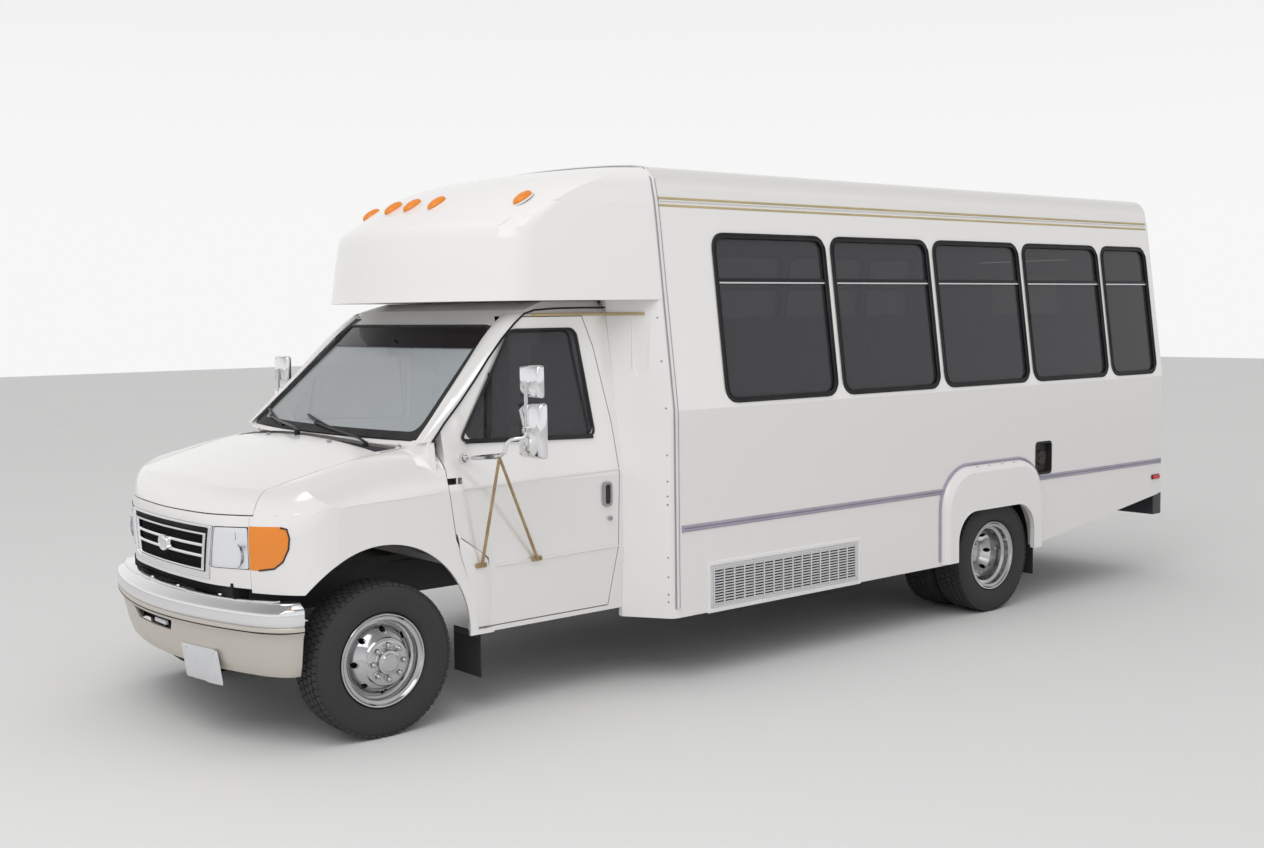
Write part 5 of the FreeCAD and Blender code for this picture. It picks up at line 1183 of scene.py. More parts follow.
class MINIBUS_OT_bumper(bpy.types.Operator):
    """Model the chrome bumper, its stepped top, the valance with its slot and the blank plate"""

    bl_idname = "minibus.bumper"
    bl_label = "Bumper"

    def execute(self, context):
        s = context.scene.minibus_front
        shell = [(-0.118, 0.7035), (-0.048, 0.7045), (-0.044, 0.703), (-0.040, 0.6975), (-0.008, 0.6745), (-0.002, 0.6695),
                 (0.001, 0.664), (0.0015, 0.650), (0.0015, 0.618), (-0.0005, 0.611), (-0.004, 0.606), (-0.010, 0.596),
                 (-0.016, 0.580), (-0.030, 0.580), (-0.016, 0.612), (-0.014, 0.655), (-0.050, 0.690), (-0.118, 0.6975)]
        bumper = trim("bumper_shell", bumper_path(), shell, angle=28)
        edit(bumper)
        chosen(bumper, lambda c, n: abs(c.y) > 0.955 and c.z > 0.66, "VERT")
        bpy.ops.transform.translate(value=(0, 0, 0.012))
        done()
        wave = [(0.0, 0.060), (0.12, 0.060), (0.26, 0.058), (0.34, 0.040), (0.46, 0.038), (0.60, 0.036), (0.70, 0.034),
                (0.78, 0.052), (0.86, 0.062)]
        front = [(bumper_x(y, back), y) for y, back in wave]
        back = [(bumper_x(y, 0.112), y) for y, _ in wave]
        whole = front + back[::-1] + [(x, -y) for x, y in back[1:]] + [(x, -y) for x, y in reversed(front[1:])]
        step = drawn("bumper_step", [(x, y, 0.7040) for x, y in whole])
        pushed(step, (0, 0, 0.007))
        soft_edges(step, 0.0025, 2)
        smooth(step, 35)
        bolts = []
        for y in (-0.52, -0.16, 0.16, 0.52):
            x = bumper_x(y, 0.082)
            bolts.append(drum("bumper_bolt", (x, y, 0.709), (x, y, 0.7165), 0.011, 6, 0.0015, 0.010))
        chrome = joined([bumper, step] + bolts, "front_bumper_chrome")
        fitted(chrome, "body", "chrome", ("front_bumper",))
        lip = trim("bumper_lip", bumper_path(0.001), [(-0.012, 0.5775), (-0.004, 0.5770), (-0.0005, 0.5805), (-0.0005, 0.5955),
                                                     (-0.003, 0.5990), (-0.012, 0.5985)], angle=30)
        skirt = [(-0.010, 0.5772), (-0.006, 0.5735), (-0.0055, 0.567), (-0.014, 0.556), (-0.020, 0.545), (-0.026, 0.520),
                 (-0.036, 0.470), (-0.050, 0.410), (-0.064, 0.368), (-0.074, 0.357), (-0.086, 0.357), (-0.064, 0.410),
                 (-0.046, 0.480), (-0.034, 0.545), (-0.028, 0.572)]
        valance = trim("front_valance_skin", bumper_path(), skirt, angle=28)
        cutter = drawn("slot_cutter", [(ahead(0.6), -0.300, 0.557), (ahead(0.6), 0.210, 0.557), (ahead(0.6), 0.170, 0.500),
                                       (ahead(0.6), -0.235, 0.500)])
        pushed(cutter, (0.3, 0, 0))
        modifier(valance, "BOOLEAN", object=cutter, operation="DIFFERENCE", solver="EXACT")
        bpy.data.objects.remove(cutter)
        smooth(valance, 28)
        fitted(joined([lip, valance], "front_valance_paint"), "body", "silver_paint", ("front_valance",))
        seam = trim("bumper_seam", bumper_path(0.010), [(0, 0.5740), (0.0085, 0.5745), (0.0085, 0.5785), (0, 0.5790)])
        # The sheet in the valance slot and the box under the grille panel are near-black painted shade and painted
        # shadow; the seam line is the dark joint between bumper and valance.
        slot_shade = box("slot_backing", (ahead(0.640), -0.32, 0.490), (ahead(0.655), 0.23, 0.566), 0.002)
        shade = box("bumper_dark_gap", (ahead(0.50), -0.60, 0.690), (ahead(0.585), 0.60, 0.770), 0.004)
        fitted(joined([seam, slot_shade, shade], "front_gaps"), "body", "dark_void", ())
        lamp = box("slot_lamp", (ahead(0.700), -0.02, 0.515), (ahead(0.716), 0.115, 0.536), 0.004, 3)
        fitted(lamp, "body", "blank_plate")
        plate = panel("front_plate", outline(oblong(0.255, 0.255 + s.plate, 0.285, 0.455), 0.012, 4, 1), "X", 3.6, 0.05)
        guide = trim("plate_guide", bumper_path(), [(-0.070, 0.20), (-0.018, 0.56), (-0.030, 0.56), (-0.082, 0.20)])
        pressed(plate, guide, "X", 0.010)
        bpy.data.objects.remove(guide)
        plated(plate, (1, 0, 0), 0.0025, 0.001)
        rivets = []
        for y in (0.30, 0.255 + s.plate - 0.045):
            x = bumper_x(y, 0.040)
            rivets.append(drum("plate_screw", (x - 0.030, y, 0.441), (x + 0.012, y, 0.441), 0.006, 16, 0.0015))
        fitted(joined([plate] + rivets, "front_plate_blank"), "body", "blank_plate")
        return {"FINISHED"}


# The cab: windshield, cowl, wipers, pillars, doors and mirrors


class MINIBUS_PG_cab(bpy.types.PropertyGroup):
    seal: length("Seal width", "Half width of the windshield's rubber", 0.007)
    louvres: IntProperty(name="Cowl louvres", description="Raised ribs across the cowl", default=92, min=10, max=140)
    arm: length("Mirror arm", "Radius of the mirror's tube", 0.0095)
    crease: length("Crease size", "Radius of the pressed line along the doors", 0.0045)


def circle(radius, sides=10):
    return [(radius * cos(2 * pi * n / sides), radius * sin(2 * pi * n / sides)) for n in range(sides)]


def ruled(name, first, second):
    """Faces between two lines with as many points."""
    a = drawn(name, first, False)
    done()
    b = drawn("second_line", second, False)
    done()
    piece = joined([a, b], name)
    edit(piece)
    bpy.ops.mesh.select_mode(type="EDGE")
    bpy.ops.mesh.bridge_edge_loops()
    done()
    return piece


def both(piece, body, finish, stands_for=(), slot=None, other=None):
    """Fit a left piece and its mirror image, on a left body and its right one."""
    twin_body = other or body.replace("left", "right")
    twin_name = piece.name.replace("left", "right")
    twin = mirrored(piece, twin_name if twin_name != piece.name else piece.name + "_right")
    fitted(twin, twin_body, finish, tuple(node.replace("left", "right") for node in stands_for))
    fitted(piece, body, finish, stands_for)


def cab_side_y(z):
    """Y of the cab's side panel."""
    return 0.9985 - eased(((0.42, 0.025), (0.75, 0.0), (1.15, 0.004), (1.385, 0.034), (2.0, 0.128), (2.074, 0.200)), z)


def side_guide():
    """The cab's left side run along the vehicle."""
    heights = [0.40 + 0.03 * step for step in range(56)]
    guide = drawn("side_guide", [(ahead(-2.0), cab_side_y(z), z) for z in heights], False)
    bpy.ops.mesh.extrude_region_move(TRANSFORM_OT_translate={"value": (2.4, 0, 0)})
    done()
    return guide


screen_corners = ((-0.882, 1.404), (0.882, 1.404), (0.733, 1.948), (-0.733, 1.948))


def screen_x(y, z):
    """X of the windshield's face."""
    return ahead(-0.162 - (z - 1.40) * 1.0851) - (3.93 - sqrt(3.93 ** 2 - y * y))


def screen_guide():
    heights = [1.36 + 0.04 * step for step in range(17)]
    places = [-0.96 + 0.06 * step for step in range(33)]
    guide = drawn("screen_guide", [(screen_x(places[0], z), places[0], z) for z in heights], False)
    for a, b in zip(places, places[1:]):
        bpy.ops.mesh.extrude_region_move(TRANSFORM_OT_translate={"value": (screen_x(b, 1.4) - screen_x(a, 1.4), b - a, 0)})
    done()
    return guide


class MINIBUS_OT_windshield(bpy.types.Operator):
    """Model the windshield's rubber, its dark top band, the pillars and the inner mirror"""

    bl_idname = "minibus.windshield"
    bl_label = "Windshield"

    def execute(self, context):
        s = context.scene.minibus_cab
        guide = screen_guide()
        outer = outline(shrunk(screen_corners, 0.0), 0.050, 6, 10)
        path = [(screen_x(y, z) + 0.003, y, z) for y, z in outer]
        seal = trim("windshield_seal", path, circle(s.seal * 1.3, 8), True, "MINIMUM")
        rim = ring("windshield_rim", upright(outline(screen_corners, 0.050, 6, 10), "X", 3.2),
                   upright(outline(shrunk(screen_corners, 0.034), 0.060, 6, 10), "X", 3.2))
        pressed(rim, guide, "X", 0.0025)
        plated(rim, (1, 0, 0), 0.002, 0)
        fitted(joined([seal, rim], "windshield_rubber"), "body", "seal_rubber")
        z_low = 1.838
        half = 0.882 - (z_low - 1.404) / 0.544 * 0.149
        band = panel("windshield_band", outline(((-half + 0.02, z_low), (half - 0.02, z_low), (0.715, 1.940), (-0.715, 1.940)),
                                                0.020, 4, 1), "X", 3.2, 0.06)
        pressed(band, guide, "X", 0.0032)
        plated(band, (1, 0, 0), 0.0012, 0)
        fitted(band, "body", "shade_band")
        sticker = panel("mirror_mount", outline(((-0.035, 1.842), (0.035, 1.842), (0.030, 1.930), (-0.030, 1.930)), 0.01, 3, 1),
                        "X", 3.2, 0.06)
        pressed(sticker, guide, "X", -0.012)
        plated(sticker, (1, 0, 0), 0.004, 0.001)
        x, z = screen_x(0, 1.83) - 0.075, 1.815
        head = box("inner_mirror", (x - 0.012, -0.125, z - 0.032), (x + 0.006, 0.125, z + 0.032), 0.010, 4)
        stalk = trim("mirror_stalk", [(x, 0, z + 0.02), (x + 0.012, 0, z + 0.04), (x + 0.028, 0, z + 0.06), (x + 0.036, 0, z + 0.072),
                                      (x + 0.045, 0, z + 0.082)], circle(0.006, 8))
        fitted(joined([sticker, head, stalk], "inner_mirror"), "body", "dark_plastic")
        rows = ((1.395, -0.235, 0.905, -0.300, 0.962), (1.485, -0.330, 0.882, -0.382, 0.950), (1.585, -0.432, 0.852, -0.486, 0.936),
                (1.685, -0.532, 0.826, -0.582, 0.920), (1.785, -0.630, 0.800, -0.672, 0.904), (1.885, -0.728, 0.772, -0.772, 0.888),
                (1.960, -0.815, 0.752, -0.860, 0.874), (2.010, -0.880, 0.740, -0.930, 0.866))
        first = [(ahead(x), y, z) for z, x, y, door_x, door_y in rows]
        middle = [(ahead(0.62 * x + 0.38 * door_x) + 0.012, 0.45 * y + 0.55 * door_y + 0.012, z)
                  for z, x, y, door_x, door_y in rows]
        last = [(ahead(door_x + 0.004), door_y - 0.001, z) for z, x, y, door_x, door_y in rows]
        front = ruled("left_pillar_skin", first, middle)
        side = ruled("left_pillar_side", middle, last)
        pillar = joined([front, side], "left_pillar_skin")
        edit(pillar)
        bpy.ops.mesh.remove_doubles(threshold=0.0005)
        bpy.ops.mesh.normals_make_consistent(inside=False)
        bpy.ops.mesh.subdivide(number_cuts=1, smoothness=0.6)
        done()
        plated(pillar, (0.5, 1, 0.4), 0.004, 0.001, 60)
        both(pillar, "body", "body_white")
        rail = trim("left_drip_rail", [(x - 0.002, y + 0.004, z) for x, y, z in last] +
                    [(ahead(-0.99), 0.872, 2.028), (ahead(-1.12), 0.874, 2.036), (ahead(-1.30), 0.874, 2.038),
                     (ahead(-1.455), 0.874, 2.038)], circle(0.0055, 8), False, "MINIMUM")
        both(rail, "body", "black_frame")
        bpy.data.objects.remove(guide)
        return {"FINISHED"}


class MINIBUS_OT_cowl(bpy.types.Operator):
    """Model the louvred cowl, its washers and the two wipers"""

    bl_idname = "minibus.cowl"
    bl_label = "Cowl"

    def execute(self, context):
        s = context.scene.minibus_cab
        nodes = ("cowl_panel", "cab_shell", "hood")
        ribs = []
        for number in range(s.louvres):
            y = -0.79 + 1.58 * (number + 0.5) / s.louvres
            if abs(abs(y) - 0.30) < 0.02 or abs(y + 0.02) < 0.05:
                continue
            places = []
            for part in range(5):
                x = screen_x(y, 1.40) + 0.022 + part * 0.0175
                found = hit(("cowl_panel",), (x, y, 1.6), (0, 0, -1))
                if found and found.z > 1.28:
                    places.append(tuple(found + Vector((0, 0, 0.001))))
            if len(places) > 2:
                while len(places) < 5:
                    places.append(tuple(Vector(places[-1]) + Vector((0.002, 0, 0))))
                ribs.append(trim("cowl_rib", places, [(-0.003, -0.003), (0.003, -0.003), (0.003, 0.0015), (0, 0.0042),
                                                      (-0.003, 0.0015)]))
        if ribs:
            fitted(joined(ribs, "cowl_louvres"), "body", "dark_plastic")
        blades = []
        for y_pivot, y_tip in ((0.585, -0.02), (-0.060, -0.660)):
            base_x = screen_x(y_pivot, 1.4) + 0.055
            base = hit(nodes, (base_x, y_pivot, 1.7), (0, 0, -1)) or Vector((base_x, y_pivot, 1.375))
            cap = drum("wiper_pivot", base + Vector((0, 0, -0.012)), base + Vector((0.004, 0, 0.026)), 0.017, 24, 0.004, 0.014)
            tip_z = 1.448
            tip = Vector((screen_x(y_tip, tip_z) + 0.016, y_tip, tip_z))
            start = base + Vector((0.002, 0, 0.024))
            arm_path = [tuple(start.lerp(tip, part)) for part in (0.0, 0.1, 0.35, 0.7, 1.0)]
            arm_path[1] = (arm_path[1][0] + 0.006, arm_path[1][1], arm_path[1][2] + 0.012)
            arm_path[2] = (arm_path[2][0] + 0.006, arm_path[2][1], arm_path[2][2] + 0.008)
            arm = trim("wiper_arm", arm_path, [(-0.008, -0.003), (0.008, -0.003), (0.006, 0.004), (-0.006, 0.004)])
            side = 1 if y_tip > y_pivot else -1
            low = Vector((screen_x(y_tip - side * 0.27, 1.412) + 0.010, y_tip - side * 0.27, 1.412 + 0.004))
            high = Vector((screen_x(y_tip + side * 0.17, 1.470) + 0.010, y_tip + side * 0.17, 1.478))
            spine = [tuple(low.lerp(high, part)) for part in (0, 0.25, 0.5, 0.75, 1)]
            blade = trim("wiper_blade", [(screen_x(y, z) + 0.007, y, z) for x, y, z in spine],
                         [(-0.0025, -0.007), (0.0025, -0.007), (0.004, 0.005), (-0.004, 0.005)])
            frame_bar = trim("wiper_frame", [(screen_x(y, z) + 0.0135 + 0.004 * (1 - abs(2 * n / 4 - 1)), y, z)
                                             for n, (x, y, z) in enumerate(spine)], circle(0.0045, 8))
            hook = box("wiper_hook", tip - Vector((0.009, 0.016, 0.010)), tip + Vector((0.006, 0.016, 0.010)), 0.003)
            blades += [cap, arm, blade, frame_bar, hook]
        fitted(joined(blades, "wipers"), "body", "black_frame")
        jets = []
        for y in (0.34, -0.34):
            base = hit(nodes, (screen_x(0.3, 1.4) + 0.095, y, 1.7), (0, 0, -1))
            if base:
                jets.append(box("washer_jet", base - Vector((0.010, 0.012, 0.004)), base + Vector((0.010, 0.012, 0.010)), 0.004, 3))
        if jets:
            fitted(joined(jets, "washer_jets"), "body", "moulding_grey")
        return {"FINISHED"}


class MINIBUS_OT_cab_sides(bpy.types.Operator):
    """Model the fenders' rear skins, the door creases, handles, locks, vent bars and window rubbers"""

    bl_idname = "minibus.cab_sides"
    bl_label = "Cab sides"

    def execute(self, context):
        s = context.scene.minibus_cab
        guide = side_guide()
        fender = [(-0.4085, 0.945), (-0.418, 0.90), (-0.428, 0.83), (-0.448, 0.775), (-0.470, 0.70), (-0.488, 0.62), (-0.494, 0.55),
                  (-0.494, 0.452)]
        door = [(-0.6030, 0.452), (-0.6005, 0.60), (-0.5985, 0.735), (-0.586, 0.787), (-0.563, 0.819), (-0.526, 0.847),
                (-0.481, 0.877), (-0.433, 0.910), (-0.4145, 0.9445)]
        skin_piece = drawn("left_fender_rear", [(ahead(x), 1.0, z) for x, z in fender + door])
        done()
        sliced(skin_piece, "Z", 0.03)
        pressed(skin_piece, guide, "Y", 0.0)
        plated(skin_piece, (0, 1, 0), 0.004, 0.0012)
        both(skin_piece, "body", "body_white")
        doors = []
        for a, b in (((-0.455, 1.1555), (-1.445, 1.176)), ((-0.640, 0.7535), (-1.440, 0.7640))):
            path = []
            for n in range(13):
                x, z = a[0] + (b[0] - a[0]) * n / 12, a[1] + (b[1] - a[1]) * n / 12
                path.append((ahead(x), cab_side_y(z) - 0.0022, z))
            doors.append(trim("left_door_crease", path, circle(s.crease, 8)))
        fitted_creases = joined(doors, "left_door_creases")
        both(fitted_creases, "left_cab_door", "body_white")
        nose = []
        for n in range(12):
            x = eased(((0, 0.470), (1, 0.272), (2, 0.052), (3, -0.210), (4, -0.398)), n * 4 / 11)
            z = eased(((-0.398, 1.154), (-0.21, 1.144), (0.052, 1.135), (0.272, 1.124), (0.482, 1.099)), x)
            found = hit(("fenders", "cab_shell"), (ahead(x), 1.6, z), (0, -1, 0))
            if found:
                nose.append((found.x, found.y - 0.0022, found.z))
        both(trim("left_fender_crease", nose, circle(s.crease, 8)), "body", "body_white")
        x, z, y = ahead(-1.360), 1.048, cab_side_y(1.048)
        pill = outline(oblong(x - 0.030, x + 0.030, z - 0.066, z + 0.066), 0.026, 6, 1)
        cup = outline(oblong(x - 0.017, x + 0.017, z - 0.052, z + 0.052), 0.016, 6, 1)
        bezel = ring("left_handle_bezel", upright(pill, "Y", y + 0.006), upright(cup, "Y", y + 0.006))
        plated(bezel, (0, 1, 0), 0.010, 0.003)
        lever = box("handle_lever", (x - 0.013, y - 0.006, z - 0.044), (x + 0.009, y + 0.003, z + 0.030), 0.005, 3)
        lock = drum("key_lock", (ahead(-1.378), y - 0.004, 0.917), (ahead(-1.378), y + 0.006, 0.917), 0.0125, 28, 0.003)
        slot = box("key_slot", (ahead(-1.3785), y + 0.004, 0.912), (ahead(-1.3775), y + 0.0068, 0.922), 0.0003, 1)
        both(joined([bezel, lock], "left_handle_bezel"), "left_cab_door", "moulding_grey")
        well = panel("left_handle_well", cup, "Y", y + 0.0015, 0.03)
        plated(well, (0, 1, 0), 0.003, 0.0005)
        both(joined([well, lever, slot], "left_handle"), "left_cab_door", "seal_rubber")
        window = ((-0.462, 1.392), (-1.303, 1.366), (-1.238, 1.928), (-0.822, 1.928))
        corners = [(ahead(a), b) for a, b in reversed(window)]
        edge = outline(corners, 0.040, 6, 10)
        path = [(px, cab_side_y(pz) - 0.0005, pz) for px, pz in edge]
        rubber = trim("left_window_rubber", path, circle(0.0075, 8), True, "MINIMUM")
        vent = [(ahead(-0.635 - 0.0115 * n), cab_side_y(1.38 + 0.083 * n) - 0.012, 1.384 + 0.083 * n) for n in range(5)]
        vent_bar = trim("left_vent_bar", vent, oblong(-0.010, 0.010, -0.008, 0.008), False, "MINIMUM")
        sill = trim("left_window_sill", [(ahead(-0.49 - 0.2 * n), cab_side_y(1.36) + 0.001, 1.3835 - 0.0065 * n) for n in range(5)],
                    [(-0.004, -0.008), (0.003, -0.008), (0.004, 0.006), (-0.004, 0.008)])
        both(joined([rubber, vent_bar, sill], "left_window_rubber"), "left_cab_door", "seal_rubber")
        bpy.data.objects.remove(guide)
        return {"FINISHED"}


def mirror_head(name, x, y, low, high, half, depth):
    """A bright shell with a creased back and a rim round the recess for its glass."""
    shell = box(name, (x - depth * 0.55, y - half, low), (x - 0.004, y + half, high), 0)
    edit(shell)
    chosen(shell, lambda c, n: n.x > 0.9)
    bpy.ops.mesh.extrude_region_move(TRANSFORM_OT_translate={"value": (depth * 0.30, 0, 0)})
    bpy.ops.transform.resize(value=(1, 0.66, 0.72), center_override=(x, y, (low + high) / 2))
    done()
    edit(shell)
    chosen(shell, lambda c, n: abs(n.x) < 0.2 and c.x < x - 0.004, "EDGE")
    done()
    soft_edges(shell, 0.030, 5, 50)
    edit(shell)
    chosen(shell, lambda c, n: n.x < -0.9)
    bpy.ops.mesh.inset(thickness=0.006)
    bpy.ops.mesh.extrude_region_move(TRANSFORM_OT_translate={"value": (0.005, 0, 0)})
    done()
    smooth(shell, 50)
    return shell


class MINIBUS_OT_mirrors(bpy.types.Operator):
    """Model the two-headed mirrors with their curved arms and braces"""

    bl_idname = "minibus.mirrors"
    bl_label = "Mirrors"

    def execute(self, context):
        s = context.scene.minibus_cab
        x, y = ahead(-0.640), 1.300
        heads = [mirror_head("left_mirror_shell", x, y, 1.314, 1.585, 0.098, 0.075),
                 mirror_head("left_small_mirror", x, y, 1.606, 1.765, 0.084, 0.062)]
        tube = [(ahead(x), y, z) for x, y, z in (
            (-0.548, 1.130, 1.322), (-0.546, 1.190, 1.330), (-0.546, 1.218, 1.345), (-0.547, 1.226, 1.368),
            (-0.552, 1.232, 1.392), (-0.564, 1.248, 1.408), (-0.585, 1.270, 1.413), (-0.606, 1.290, 1.416),
            (-0.616, 1.299, 1.430), (-0.618, 1.300, 1.460), (-0.618, 1.300, 1.560), (-0.618, 1.300, 1.690))]
        arm = trim("left_mirror_arm", tube, circle(s.arm, 14), False, "MINIMUM", 60)
        clamps = []
        for z in (1.455, 1.675):
            clamps.append(box("mirror_clamp", (x + 0.004, y - 0.020, z - 0.014), (x + 0.034, y + 0.020, z + 0.014), 0.005, 3))
            clamps.append(drum("mirror_bolt", (x + 0.030, y - 0.010, z), (x + 0.040, y - 0.010, z), 0.006, 6, 0.001))
        wedge = drawn("left_mirror_bracket", [(ahead(-0.455), cab_side_y(1.3), 1.296), (ahead(-0.455), cab_side_y(1.3), 1.316),
                                              (ahead(-0.500), 1.090, 1.322), (ahead(-0.535), 1.150, 1.334),
                                              (ahead(-0.552), 1.150, 1.334), (ahead(-0.552), 1.150, 1.306)])
        pushed(wedge, (-0.020, -0.010, 0))
        soft_edges(wedge, 0.003, 2)
        pad_y = cab_side_y(1.3)
        pad = drum("mirror_pad", (ahead(-0.470), pad_y - 0.004, 1.305), (ahead(-0.470), pad_y + 0.010, 1.305), 0.024, 28, 0.004)
        bright = joined(heads + [arm, wedge, pad] + clamps, "left_mirror_bright")
        both(bright, "left_cab_door", "chrome", ("left_mirror",), "chrome")
        glasses = []
        for low, high, half, depth in ((1.322, 1.577, 0.090, 0.075), (1.614, 1.757, 0.076, 0.062)):
            back = x - depth * 0.55 + 0.0030
            plate = panel("mirror_glass", outline(oblong(y - half, y + half, low, high), 0.026, 5, 1),
                          "X", back, 0.2)
            glasses.append(plated(plate, (-1, 0, 0), 0.002, 0.0006))
        both(joined(glasses, "left_mirror_glass"), "left_cab_door", "reflector")
        braces = []
        top = Vector((ahead(-0.548), 1.170, 1.318))
        for foot_x, foot_z in ((-0.541, 0.768), (-0.882, 0.761)):
            foot = Vector((ahead(foot_x), cab_side_y(foot_z) + 0.012, foot_z))
            braces.append(drum("mirror_brace", foot, top, 0.0085, 16, 0.001, 0.0075))
            braces.append(box("brace_foot", foot - Vector((0.032, 0.012, 0.012)), foot + Vector((0.032, 0.001, 0.012)), 0.004, 2))
            braces.append(drum("brace_bolt", foot - Vector((0.020, 0.004, 0)), foot + Vector((-0.020, 0.006, 0)), 0.006, 6, 0.001))
        both(joined(braces, "left_mirror_braces"), "left_cab_door", "aged_brace")
        return {"FINISHED"}


# The passenger body: window rubbers, rails, mouldings, doors, lamps and flares


class MINIBUS_PG_body(bpy.types.PropertyGroup):
    bead: length("Window bead", "Radius of the rubber round a side window", 0.0065)
    rail: length("Rail height", "Height of the rub rail", 0.036)
    screw: length("Screw head", "Radius of a trim screw's head", 0.006)


seam_x, rail_z = 1.294, 0.848
body_half = 1.220
window_low, window_high, divider_z = 1.508, 2.441, 2.1665
window_rows = ((0.011, 0.925), (-0.949, -0.035), (-1.909, -0.995), (-2.869, -1.955), (-3.515, -2.915))


def wall_point(x, z, side, nodes):
    """A place on the body's side."""
    found = hit(nodes, (x, 2.2 * side, z), (0, -side, 0))
    return found if found else Vector((x, body_half * side, z))


def wall_loop(low_x, high_x, low_z, high_z, radius, side, nodes):
    """A rounded oblong on the body's side."""
    points = outline(((low_x, low_z), (high_x, low_z), (high_x, high_z), (low_x, high_z)), radius, 6, 6)
    return [tuple(wall_point(x, z, side, nodes)) for x, z in points]


def screws(name, places, way, radius):
    """Flat screw heads at the places, standing out along a direction."""
    way = Vector(way).normalized()
    heads = [drum("screw", Vector(place) - way * 0.002, Vector(place) + way * 0.0022, radius, 14, 0.001, radius * 0.8)
             for place in places]
    return joined(heads, name)


class MINIBUS_OT_side_windows(bpy.types.Operator):
    """Model the rubbers and bright dividers of all side windows"""

    bl_idname = "minibus.side_windows"
    bl_label = "Side windows"

    def execute(self, context):
        s = context.scene.minibus_body
        for side, word in ((1, "left"), (-1, "right")):
            nodes = (f"{word}_wall", "window_frames", "window_glass")
            beads, bright = [], []
            for number, (x1, x2) in enumerate(window_rows):
                if side < 0 and number == 0:
                    continue
                for depth, size in ((0.004, s.bead), (0.0245, s.bead * 0.7)):
                    path = wall_loop(x1 + depth, x2 - depth, window_low + depth, window_high - depth, 0.095 - depth, side, nodes)
                    beads.append(trim("window_bead", path, circle(size, 6), True, "MINIMUM", 60))
                places = [x1 + 0.028 + (x2 - x1 - 0.056) * n / 4 for n in range(5)]
                level = max(abs(wall_point(x, divider_z, side, ("window_frames", "window_glass")).y) for x in places)
                line = [(x, side * level, divider_z) for x in places]
                bright.append(trim("window_line", line, [(-0.002, -0.004), (0.003, -0.004), (0.003, 0.004), (-0.002, 0.004)]))
            fitted(joined(beads, f"{word}_window_beads"), "body", "seal_rubber")
            fitted(joined(bright, f"{word}_window_lines"), "body", "bright_alloy")
        return {"FINISHED"}


